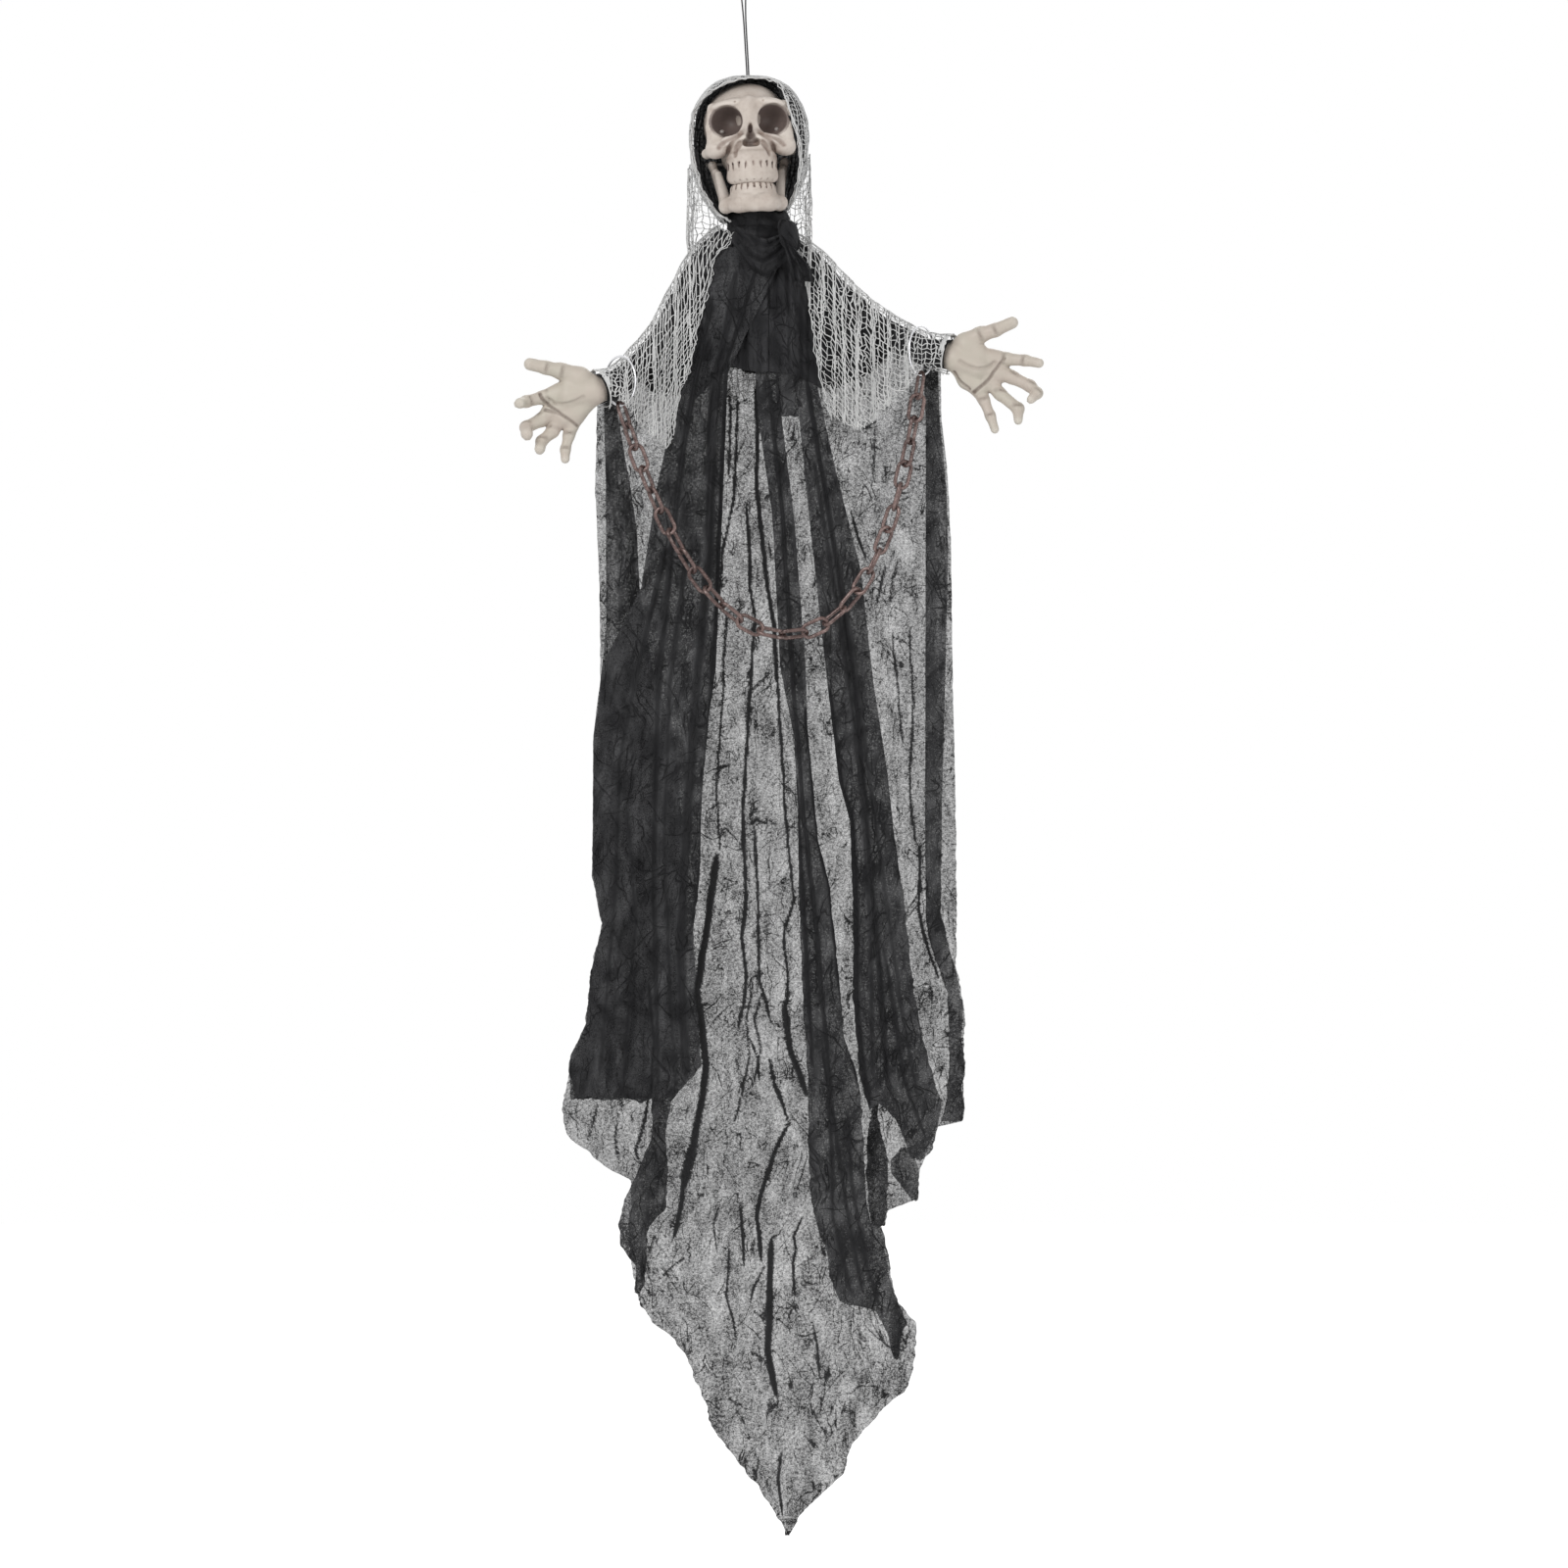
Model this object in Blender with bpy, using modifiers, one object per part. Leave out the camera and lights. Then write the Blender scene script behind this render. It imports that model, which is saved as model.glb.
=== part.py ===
"""A hanging ghost: a plastic skull and hands, a wire frame, layers of cloth and a plastic chain.

Everything is in metres with +Z up. The figure faces -Y. The origin is the inside top of the
cord's loop, which the whole figure hangs from, so all heights below it are negative.
"""

import math
from collections import namedtuple

import bmesh
import bpy
import numpy as np
from mathutils import Matrix, Vector

# General sizes
fit_gap = 0.0003  # between pieces that touch
cloth = 0.0012  # every cloth solid
overrun = 0.010  # what a cutter reaches past what it cuts
figure_side = 0.0055  # the figure's own middle lies this far to the right of the loop

# Cord: one loop of thin cord, whose two ends go down through the crown to a knot
cord_diameter = 0.0016
cord_route = [
    (0.00455, 0.0, -0.1000),
    (0.00340, 0.0, -0.0800),
    (0.00225, 0.0, -0.0600),
    (0.00130, 0.0, -0.0450),
    (0.00040, 0.0, -0.0350),
    (-0.00060, 0.0, -0.0250),
    (-0.00210, 0.0, -0.0140),
    (-0.00330, 0.0, -0.0070),
    (-0.00340, 0.0, -0.0030),
    (-0.00200, 0.0, 0.0000),
    (0.00000, 0.0, 0.0008),
    (0.00200, 0.0, 0.0000),
    (0.00340, 0.0, -0.0030),
    (0.00360, 0.0, -0.0070),
    (0.00350, 0.0, -0.0140),
    (0.00330, 0.0, -0.0250),
    (0.00330, 0.0, -0.0350),
    (0.00350, 0.0, -0.0450),
    (0.00425, 0.0, -0.0600),
    (0.00540, 0.0, -0.0800),
    (0.00645, 0.0, -0.1000),
]
cord_hole_radius = 0.0024
knot_radius = 0.0042
washer_radius = 0.0070
washer_thickness = 0.0012

# Skull, drawn on a square of this span, from the middle of the nose's lower edge
head_span = 0.100
head_side = 0.0045  # of the nose, from the figure's middle
head_height = -0.1775  # of the nose's lower edge
head_depth = -0.006  # of the skull's middle
head_back_degrees = 6  # tipped back
head_yaw_degrees = 4
head_roll_degrees = 3
skin_voxel_share = 0.024
skull_face_share = 0.042
jaw_face_share = 0.050
tooth_radius = 0.029 * head_span
upper_tooth_length = 0.150 * head_span
lower_tooth_length = 0.080 * head_span
rod_radius = 0.0015
rod_head_radius = 0.0028
rod_head_length = 0.0012
bulb_radius = 0.0025
bulb_length = 0.0086
bulb_flange = 0.0004

# Neck tube and arm wire
neck_radius = 0.0090
neck_wall = 0.0020
neck_top = -0.1950
neck_bottom = -0.3300
arm_wire_radius = 0.0020
shoulder_height = -0.2900
left_reach = 0.150
right_reach = 0.205
left_fall = 0.136
right_fall = 0.101
arm_forward = 0.084
wire_past_wrist = 0.016

# Sleeves, yoke and net
shoulder_radius = 0.0340
yoke_skirt = 0.118
neck_hole_radius = 0.0280
net_offset = 0.0055  # from the yoke's middle surface to the net's
hood_radius = 0.560 * head_span
hood_foot = 0.0387  # the lining's lower end, above the shoulders
hood_depth_ratio = 1.20
hood_side = 0.0015
hood_rim_front = 0.34 * head_span  # in front of the hood's axis at the crown
hood_rim_back = 0.06 * head_span  # and at the neck
net_hood_offset = 0.0050
net_hood_foot = 0.0207

# Rings and chain
ring_share = 0.86  # of the arm's reach
ring_radius = 0.0250
ring_wire = 0.0025
link_count = 27
link_length = 0.0315
link_width = 0.0175
link_wire = 0.0040
link_gap = 0.0004
middle_link = 14
chain_lean = 0.018  # the lowest link hangs this far to the right of a free chain's

# Hands, drawn on a square of this span, from the middle of the wrist
hand_span = 0.100
hand_voxel = 0.0021
wrist_stub = 0.0090  # of the hand inside the sleeve
hand_face_share = 0.065

# Battery box
box_width = 0.0220
box_height = 0.0420
box_depth = 0.0150
box_wall = 0.0014
box_side = 0.0370
box_middle = -0.3780
cell_radius = 0.0056
cell_length = 0.0054
cell_count = 3
slider_length = 0.0060
slider_width = 0.0040
slider_height = 0.0022
slider_travel = 0.0030
lead_radius = 0.0009
lead_spacing = 0.0026

# Robe
robe_half = 0.200
front_lane = 0.056  # how far to the front the front panels may lie
front_low = -0.042
back_low = 0.012

COLLECTION = bpy.data.collections.new("hanging_ghost")
CUTTERS = bpy.data.collections.new("cutters")


def clear_scene():
    for old in list(bpy.data.objects):
        bpy.data.objects.remove(old, do_unlink=True)
    bpy.context.scene.collection.children.link(COLLECTION)
    bpy.context.scene.collection.children.link(CUTTERS)


# Materials
def finish(name, colour, roughness, metallic=0.0):
    material = bpy.data.materials.new(name)
    material.use_nodes = True
    shader = material.node_tree.nodes["Principled BSDF"]
    shader.inputs["Base Color"].default_value = (*colour, 1.0)
    shader.inputs["Roughness"].default_value = roughness
    shader.inputs["Metallic"].default_value = metallic
    material.diffuse_color = (*colour, 1.0)
    return material


BONE = finish("bone plastic", (0.62, 0.56, 0.50), 0.5)
SKIN = finish("hand plastic", (0.60, 0.57, 0.50), 0.5)
BULB = finish("bulb", (0.45, 0.40, 0.38), 0.2)
BLACK_CLOTH = finish("black cloth", (0.015, 0.015, 0.016), 0.85)
NET = finish("white net", (0.75, 0.75, 0.74), 0.8)
GAUZE = finish("black gauze", (0.03, 0.03, 0.032), 0.8)
STEEL = finish("steel wire", (0.60, 0.60, 0.62), 0.3, 1.0)
RUST = finish("rust plastic", (0.30, 0.17, 0.15), 0.35)
CORD = finish("black cord", (0.02, 0.02, 0.02), 0.8)
BLACK_PLASTIC = finish("black plastic", (0.03, 0.03, 0.03), 0.45)


# Building blocks
def keep(obj, material, collection=None):
    """Puts an object in its collection and gives it its material."""
    for owner in list(obj.users_collection):
        owner.objects.unlink(obj)
    (collection or COLLECTION).objects.link(obj)
    if material and obj.data:
        obj.data.materials.clear()
        obj.data.materials.append(material)
    return obj


def as_cutter(obj):
    keep(obj, None, CUTTERS)
    obj.hide_render = True
    obj.display_type = "WIRE"
    return obj


def mesh_object(name, bm, material, collection=None):
    mesh = bpy.data.meshes.new(name)
    bmesh.ops.recalc_face_normals(bm, faces=bm.faces)
    bm.to_mesh(mesh)
    bm.free()
    return keep(bpy.data.objects.new(name, mesh), material, collection)


def smooth_by_angle(obj, degrees=40):
    obj.data.shade_smooth()
    obj.data.set_sharp_from_angle(angle=math.radians(degrees))


def boolean(obj, other, operation):
    modifier = obj.modifiers.new(other.name, "BOOLEAN")
    modifier.operation = operation
    modifier.object = other
    modifier.use_self = operation == "UNION"


def axis_matrix(start, end):
    """Turns +Z to run from start to end, with the origin midway."""
    along = (end - start).normalized()
    turn = along.to_track_quat("Z", "Y").to_matrix().to_4x4()
    return Matrix.Translation((start + end) / 2) @ turn


def add_cylinder(bm, start, end, radius, end_radius=None, sides=16):
    start, end = Vector(start), Vector(end)
    bmesh.ops.create_cone(
        bm,
        cap_ends=True,
        segments=sides,
        radius1=radius,
        radius2=radius if end_radius is None else end_radius,
        depth=(end - start).length,
        matrix=axis_matrix(start, end),
    )


def add_ball(bm, centre, radii, turn=(0, 0, 0), sides=12, rings=8):
    turned = Matrix.Translation(centre)
    for degrees, axis in zip(turn, "XYZ"):
        turned = turned @ Matrix.Rotation(math.radians(degrees), 4, axis)
    bmesh.ops.create_uvsphere(
        bm,
        u_segments=sides,
        v_segments=rings,
        radius=1,
        matrix=turned @ Matrix.Diagonal((*radii, 1)),
    )


def add_limb(bm, points, radii):
    """A rounded limb through the points, with its own radius at each."""
    for point, radius in zip(points, radii):
        add_ball(bm, point, (radius, radius, radius))
    for k in range(len(points) - 1):
        add_cylinder(bm, points[k], points[k + 1], radii[k], radii[k + 1])


def cylinder_cutter(name, start, end, radius, parent=None, sides=20):
    bm = bmesh.new()
    add_cylinder(bm, start, end, radius, sides=sides)
    cutter = as_cutter(mesh_object(name, bm, None))
    cutter.parent = parent
    return cutter


def fuse_skin(obj, voxel, share, rounds=3):
    """One skin round all the balls and limbs of the mesh, then fewer faces."""
    skin = obj.modifiers.new("skin", "REMESH")
    skin.mode = "VOXEL"
    skin.voxel_size = voxel
    soften = obj.modifiers.new("soften", "SMOOTH")
    soften.factor = 0.5
    soften.iterations = rounds
    fewer = obj.modifiers.new("fewer", "DECIMATE")
    fewer.ratio = share


def smooth_path(points, count):
    """A Catmull-Rom curve through the points, read at even steps of its length."""
    points = [Vector(p) for p in points]
    padded = [2 * points[0] - points[1], *points, 2 * points[-1] - points[-2]]
    dense = []
    steps = 16
    for k in range(1, len(padded) - 2):
        a, b, c, d = padded[k - 1 : k + 3]
        for step in range(steps):
            t = step / steps
            dense.append(
                0.5
                * (
                    2 * b
                    + (c - a) * t
                    + (2 * a - 5 * b + 4 * c - d) * t**2
                    + (3 * b - a - 3 * c + d) * t**3
                )
            )
    dense.append(points[-1])
    dense = np.array(dense)
    run = np.concatenate([[0], np.cumsum(np.linalg.norm(np.diff(dense, axis=0), axis=1))])
    even = np.linspace(0, run[-1], count)
    return [Vector(p) for p in zip(*(np.interp(even, run, dense[:, k]) for k in range(3)))]


def tube(name, points, radius, material, resolution=2, closed=False):
    curve = bpy.data.curves.new(name, "CURVE")
    curve.dimensions = "3D"
    curve.bevel_depth = radius
    curve.bevel_resolution = resolution
    curve.use_fill_caps = not closed
    spline = curve.splines.new("POLY")
    spline.points.add(len(points) - 1)
    for point, place in zip(spline.points, points):
        point.co = (*place, 1)
    spline.use_cyclic_u = closed
    return keep(bpy.data.objects.new(name, curve), material)


def tube_as_mesh(obj, material):
    """The tube made a mesh, so that it can be cut."""
    bpy.context.view_layer.update()
    graph = bpy.context.evaluated_depsgraph_get()
    mesh = bpy.data.meshes.new_from_object(obj.evaluated_get(graph))
    bm = bmesh.new()
    bm.from_mesh(mesh)
    bmesh.ops.remove_doubles(bm, verts=bm.verts, dist=fit_gap / 100)
    bm.to_mesh(mesh)
    bm.free()
    name, place = obj.name, obj.matrix_world.copy()
    bpy.data.objects.remove(obj, do_unlink=True)
    solid = keep(bpy.data.objects.new(name, mesh), material)
    solid.matrix_world = place
    return solid


def turned(name, profile, material, steps, collection=None):
    """A profile of (radius, height), from top to bottom, turned about Z."""
    mesh = bpy.data.meshes.new(name)
    mesh.from_pydata(
        [(radius, 0, height) for radius, height in profile],
        [(k, k + 1) for k in range(len(profile) - 1)],
        [],
    )
    obj = keep(bpy.data.objects.new(name, mesh), material, collection)
    screw = obj.modifiers.new("turn", "SCREW")
    screw.steps = screw.render_steps = steps
    screw.use_merge_vertices = True
    screw.merge_threshold = fit_gap / 100
    return obj


def thicken(obj, thickness):
    shell = obj.modifiers.new("thickness", "SOLIDIFY")
    shell.thickness = thickness
    shell.offset = 0
    shell.use_even_offset = True


def sheet(name, place, across, down, material):
    """A cloth: a grid whose point at the shares (u, v) goes to place(u, v)."""
    bm = bmesh.new()
    bmesh.ops.create_grid(bm, x_segments=across, y_segments=down, size=1)
    for vert in bm.verts:
        vert.co = place((vert.co.x + 1) / 2, (1 - vert.co.y) / 2)
    obj = mesh_object(name, bm, material)
    obj.data.shade_smooth()
    thicken(obj, cloth)
    return obj


def ease(value):
    """0 below 0, 1 above 1 and a smooth step between."""
    value = min(max(value, 0.0), 1.0)
    return value * value * (3 - 2 * value)


def read_table(rows, at, column=1):
    """Straight-line reading of a table of shares, whose first column rises."""
    return float(np.interp(at, [row[0] for row in rows], [row[column] for row in rows]))


# The arm wire's route, which the sleeves, the net and the back panel follow too
arm_route_shares = (
    # share of the reach, of the way forward, of the fall
    (0.05, 0.0, 0.0),
    (0.14, 0.0, 0.015),
    (0.33, 0.12, 0.16),
    (0.66, 0.52, 0.70),
    (ring_share, 0.86, 0.935),
    (1.0, 1.0, 1.0),
)
sleeve_radius_shares = (
    # share of the reach, share of the shoulder's radius
    (0.0, 1.0),
    (0.30, 0.91),
    (0.60, 0.70),
    (0.72, 0.52),
    (0.78, 0.41),
    (0.90, 0.41),
    (1.0, 0.52),
)
station_shares = (0.0, 0.12, 0.23, 0.34, 0.45, 0.56, 0.65, 0.72, 0.78, 0.90, 0.97)
yoke_skirt_shares = ((0.0, 1.0), (0.40, 0.90), (0.60, 0.46), (0.72, 0.04), (0.78, 0.0))
net_front_shares = ((0.0, 1.12), (0.40, 1.05), (0.60, 0.62), (0.74, 0.08), (0.80, 0.0))
net_back_shares = ((0.0, 1.20), (0.40, 1.18), (0.60, 0.80), (0.74, 0.14), (0.80, 0.0))


def arm_points(side):
    """The wire's route from the neck to one wrist. The side is -1 at the viewer's left."""
    reach, fall = (left_reach, left_fall) if side < 0 else (right_reach, right_fall)
    return [
        Vector((side * reach * x, -arm_forward * y, shoulder_height - fall * z))
        for x, y, z in arm_route_shares
    ]


ARM_SAMPLES = 160


def arm_line():
    """The wire's line from the left wrist to the right one."""
    return smooth_path([*reversed(arm_points(-1)), *arm_points(1)], ARM_SAMPLES)


ARM = arm_line()
ARM_ACROSS = [point.x for point in ARM]


def arm_at(x):
    return Vector(
        (x, *(float(np.interp(x, ARM_ACROSS, [point[k] for point in ARM])) for k in (1, 2)))
    )


def reach_share(x):
    return abs(x) / (left_reach if x < 0 else right_reach)


def sleeve_radius(x):
    return shoulder_radius * read_table(sleeve_radius_shares, reach_share(x))


def arm_direction(x):
    step = left_reach / 60
    low, high = max(x - step, ARM_ACROSS[0]), min(x + step, ARM_ACROSS[-1])
    return (arm_at(high) - arm_at(low)).normalized()


ARM_FRONT = [arm_direction(x).cross(Vector((0, 0, 1))).normalized() for x in ARM_ACROSS]
ARM_RADIUS = [sleeve_radius(x) for x in ARM_ACROSS]


def arm_face(x, extra, facing):
    """How deep the front (-1) or back (1) of a cloth this far outside the sleeve lies."""
    across, depths = [], []
    for point, front, radius in zip(ARM, ARM_FRONT, ARM_RADIUS):
        place = point - facing * front * (radius + extra)
        across.append(place.x)
        depths.append(place.y)
    return float(np.interp(x, across, depths))


# Cord
def make_cord():
    low = knot_top() + fit_gap
    first, last = cord_route[0], cord_route[-1]
    route = [(*first[:2], low), *cord_route, (*last[:2], low)]
    return tube("hanging_cord", smooth_path(route, 32), cord_diameter / 2, CORD)


# Skull
skull_ball_shares = (
    # centre, radii, turn in degrees, also on the other side
    ((0.0, 0.04, 0.34), (0.45, 0.60, 0.45), (0, 0, 0), False),  # braincase
    ((0.0, -0.20, 0.36), (0.38, 0.375, 0.33), (0, 0, 0), False),  # forehead
    ((0.21, -0.485, 0.455), (0.17, 0.09, 0.055), (0, 8, 12), True),  # brow
    ((0.0, -0.515, 0.37), (0.085, 0.085, 0.16), (0, 0, 0), False),  # bridge of the nose
    ((0.345, -0.385, 0.015), (0.115, 0.12, 0.095), (0, 0, -20), True),  # cheekbone
    ((0.335, -0.345, 0.14), (0.085, 0.13, 0.15), (0, 0, 0), True),  # outer wall of the socket
    ((0.19, -0.47, 0.085), (0.14, 0.085, 0.065), (0, 12, 10), True),  # under the socket
    ((0.0, -0.37, 0.02), (0.235, 0.205, 0.17), (0, 0, 0), False),  # upper jaw
    ((0.0, 0.02, -0.04), (0.27, 0.42, 0.16), (0, 0, 0), False),  # base
)
skull_limb_shares = (
    # points and radii, on both sides
    (((0.38, -0.38, 0.0), (0.435, -0.16, 0.01), (0.405, 0.08, 0.06)), (0.065, 0.045, 0.05)),
    (((0.385, -0.42, 0.05), (0.395, -0.385, 0.24), (0.36, -0.40, 0.43)), (0.06, 0.045, 0.06)),
)
socket_share = ((0.24, -0.52, 0.29), (0.152, 0.29, 0.148), (0, 8, 12))
nose_shares = (((0.045, -0.62, 0.065), (0.052, 0.20, 0.065)), ((0.0, -0.62, 0.15), (0.05, 0.20, 0.13)))
temple_share = ((0.53, -0.20, 0.22), (0.12, 0.16, 0.14))
brain_share = ((0.0, 0.08, 0.34), (0.385, 0.34, 0.385))
hinge_share = (0.0, 0.08, -0.07)
fossa_share = (0.40, 0.08, -0.06)
fossa_radii_share = (0.10, 0.105, 0.085)
bulb_share = (0.28, -0.27, 0.20)
upper_arch_share = ((0.0, -0.335), (0.225, 0.245), -0.220)
upper_rim_shares = ((-0.110, 0.055), (-0.320, 0.045))  # heights, radii over and under the teeth
lower_arch_share = ((0.0, -0.300), (0.205, 0.245), -0.412)
jaw_ball_shares = (
    ((0.0, -0.475, -0.55), (0.20, 0.085, 0.105), (0, 0, 0), False),  # chin
    ((0.15, -0.45, -0.575), (0.12, 0.085, 0.08), (0, 0, 20), True),
    ((0.37, 0.08, -0.075), (0.05, 0.055, 0.045), (0, 0, 0), True),  # condyle
)
jaw_limb_shares = (
    (((0.12, -0.47, -0.55), (0.27, -0.30, -0.55), (0.275, -0.15, -0.545)), (0.09, 0.075, 0.07)),
    (((0.275, -0.17, -0.52), (0.33, -0.06, -0.20)), (0.040, 0.035)),
    (((0.275, -0.12, -0.52), (0.345, 0.0, -0.16)), (0.042, 0.036)),
    (((0.275, -0.07, -0.52), (0.36, 0.06, -0.12)), (0.042, 0.040)),
)
arch_half_degrees = 72
upper_teeth = 10
lower_teeth = 8


def head_place():
    """The skull's frame, set so that the nose's lower edge comes to its place."""
    turn = (
        Matrix.Rotation(math.radians(head_yaw_degrees), 4, "Z")
        @ Matrix.Rotation(math.radians(-head_roll_degrees), 4, "Y")
        @ Matrix.Rotation(math.radians(-head_back_degrees), 4, "X")
    )
    nose = turn @ (Vector((0.0, -0.60, 0.0)) * head_span)
    return Matrix.Translation((head_side - nose.x, head_depth, head_height - nose.z)) @ turn


def head_shares(shares, side=1):
    return Vector((shares[0] * side, shares[1], shares[2])) * head_span


def arch_point(arch, degrees):
    """A point of a tooth row, seen from above: 0 degrees is the front."""
    (middle_x, middle_y), (half_x, half_y), height = arch
    angle = math.radians(degrees)
    return (
        Vector((middle_x + half_x * math.sin(angle), middle_y - half_y * math.cos(angle), height))
        * head_span
    )


def teeth(name, arch, count, length, parent):
    """A row of round-ended pegs on the arch."""
    bm = bmesh.new()
    for k in range(count):
        degrees = arch_half_degrees * (2 * (k + 0.5) / count - 1)
        radii = (tooth_radius, tooth_radius * 0.85, length / 2)
        add_ball(bm, arch_point(arch, degrees), radii, (0, 0, degrees), sides=6, rings=5)
    row = as_cutter(mesh_object(name, bm, None))
    row.parent = parent
    return row


def both_sides(balls, limbs):
    bm = bmesh.new()
    for centre, radii, turn, paired in balls:
        for side in (1, -1) if paired else (1,):
            turned_so = (turn[0], turn[1] * side, turn[2] * side)
            add_ball(bm, head_shares(centre, side), Vector(radii) * head_span, turned_so)
    for points, radii in limbs:
        for side in (1, -1):
            add_limb(bm, [head_shares(p, side) for p in points], [r * head_span for r in radii])
    return bm


def ball_cutter(name, centre, radii, parent, turn=(0, 0, 0)):
    bm = bmesh.new()
    add_ball(bm, centre, radii, turn)
    cutter = as_cutter(mesh_object(name, bm, None))
    cutter.parent = parent
    return cutter


def make_skull(head, neck_axis):
    bm = both_sides(skull_ball_shares, skull_limb_shares)
    for height, radius in upper_rim_shares:
        rim = [
            Vector((*arch_point(upper_arch_share, degrees).xy, height * head_span))
            for degrees in np.linspace(-arch_half_degrees, arch_half_degrees, 9)
        ]
        add_limb(bm, rim, [radius * head_span] * len(rim))
    skull = mesh_object("cranium", bm, BONE)
    skull.parent = head
    fuse_skin(skull, skin_voxel_share * head_span, skull_face_share)
    row = teeth("upper_teeth_union", upper_arch_share, upper_teeth, upper_tooth_length, head)
    boolean(skull, row, "UNION")
    cutters = []
    for side in (1, -1):
        label = "left" if side < 0 else "right"
        centre, radii, turn = socket_share
        turned_so = (turn[0], turn[1] * side, turn[2] * side)
        cutters += [
            ball_cutter(
                f"socket_{label}",
                head_shares(centre, side),
                Vector(radii) * head_span,
                head,
                turned_so,
            ),
            ball_cutter(
                f"temple_{label}",
                head_shares(temple_share[0], side),
                Vector(temple_share[1]) * head_span,
                head,
            ),
            ball_cutter(
                f"fossa_{label}",
                head_shares(fossa_share, side),
                Vector(fossa_radii_share) * head_span,
                head,
            ),
            ball_cutter(
                f"nostril_{label}",
                head_shares(nose_shares[0][0], side),
                Vector(nose_shares[0][1]) * head_span,
                head,
            ),
        ]
        bulb = head_shares(bulb_share, side)
        behind = Vector((0, bulb_length * 3, 0))
        before = Vector((0, -bulb_length, 0))
        hole = bulb_radius + bulb_flange + fit_gap
        cutters.append(
            cylinder_cutter(f"bulb_hole_{label}", bulb + before, bulb + behind, hole, head, 12)
        )
    cutters.append(
        ball_cutter("nose", head_shares(nose_shares[1][0]), Vector(nose_shares[1][1]) * head_span, head)
    )
    cutters.append(
        ball_cutter("brain_space", head_shares(brain_share[0]), Vector(brain_share[1]) * head_span, head)
    )
    hinge = head_shares(hinge_share)
    across = Vector((head_span / 2, 0, 0))
    cutters.append(
        cylinder_cutter("rod_hole", hinge - across, hinge + across, rod_radius + fit_gap, head, 12)
    )
    low, high = neck_axis
    cutters.append(
        cylinder_cutter("neck_bore", low, high + Vector((0, 0, overrun * 2)), neck_radius + fit_gap)
    )
    cutters.append(cord_hole_cutter("cord_hole"))
    for cutter in cutters:
        boolean(skull, cutter, "DIFFERENCE")
    return skull


def cord_hole_cutter(name):
    """An upright hole for the cord through the crown and all that lies on it."""
    top = Vector((figure_cord_side(), 0, head_height + head_span))
    return cylinder_cutter(
        name, top, top - Vector((0, 0, head_span * 0.6)), cord_hole_radius, None, 10
    )


def figure_cord_side():
    """Where the two strands go into the crown, from the figure's middle."""
    return (cord_route[0][0] + cord_route[-1][0]) / 2 - figure_side


def make_jaw(head):
    bm = both_sides(jaw_ball_shares, jaw_limb_shares)
    (middle, half, height) = lower_arch_share
    arch = (middle, half, height)
    ridge = [
        arch_point(arch, degrees) - Vector((0, 0, lower_tooth_length * 0.75))
        for degrees in np.linspace(-arch_half_degrees, arch_half_degrees, 9)
    ]
    add_limb(bm, ridge, [tooth_radius * 1.5] * len(ridge))
    jaw = mesh_object("jaw", bm, BONE)
    jaw.parent = head
    fuse_skin(jaw, skin_voxel_share * head_span, jaw_face_share)
    row = teeth("lower_teeth_union", lower_arch_share, lower_teeth, lower_tooth_length, head)
    boolean(jaw, row, "UNION")
    hinge = head_shares(hinge_share)
    across = Vector((head_span / 2, 0, 0))
    boolean(
        jaw,
        cylinder_cutter("jaw_rod_hole", hinge - across, hinge + across, rod_radius + fit_gap, head, 12),
        "DIFFERENCE",
    )
    return jaw


def make_jaw_rod(head):
    """A steel rod through both condyles, with flat heads outside them."""
    half = (jaw_ball_shares[2][0][0] + jaw_ball_shares[2][1][0]) * head_span + fit_gap
    profile = [
        (0, half + rod_head_length),
        (rod_head_radius, half + rod_head_length),
        (rod_head_radius, half),
        (rod_radius, half),
        (rod_radius, -half),
        (rod_head_radius, -half),
        (rod_head_radius, -half - rod_head_length),
        (0, -half - rod_head_length),
    ]
    rod = turned("jaw_rod", profile, STEEL, 12)
    rod.parent = head
    rod.location = head_shares(hinge_share)
    rod.rotation_euler = (0, math.radians(90), 0)


def make_bulb(head, side):
    """A domed bulb with a flange at its back."""
    label = "left" if side < 0 else "right"
    dome_from = bulb_length - bulb_radius
    dome = [
        (bulb_radius * math.sin(math.radians(a)), dome_from + bulb_radius * math.cos(math.radians(a)))
        for a in (0, 30, 60, 90)
    ]
    profile = [
        *dome,
        (bulb_radius, bulb_flange * 2),
        (bulb_radius + bulb_flange, bulb_flange * 2),
        (bulb_radius + bulb_flange, 0),
        (0, 0),
    ]
    bulb = turned(f"led_{label}", profile, BULB, 10)
    bulb.parent = head
    bulb.location = head_shares(bulb_share, side)
    bulb.rotation_euler = (math.radians(90), 0, 0)


def make_crown_parts():
    """The washer under the crown and the knot that pulls on it."""
    side = figure_cord_side()
    washer_top = knot_top() + fit_gap + washer_thickness
    profile = [
        (cord_hole_radius, washer_top),
        (washer_radius, washer_top),
        (washer_radius, washer_top - washer_thickness),
        (cord_hole_radius, washer_top - washer_thickness),
        (cord_hole_radius, washer_top),
    ]
    washer = turned("crown_washer", profile, STEEL, 16)
    washer.location.x = side
    bm = bmesh.new()
    centre = (side, 0, knot_top() - knot_radius * 0.7)
    add_ball(bm, centre, (knot_radius, knot_radius, knot_radius * 0.7), sides=10, rings=7)
    knot = mesh_object("cord_knot", bm, CORD)
    smooth_by_angle(knot, 60)
    return washer, knot


def knot_top():
    return brain_top() - washer_thickness * 5


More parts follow.
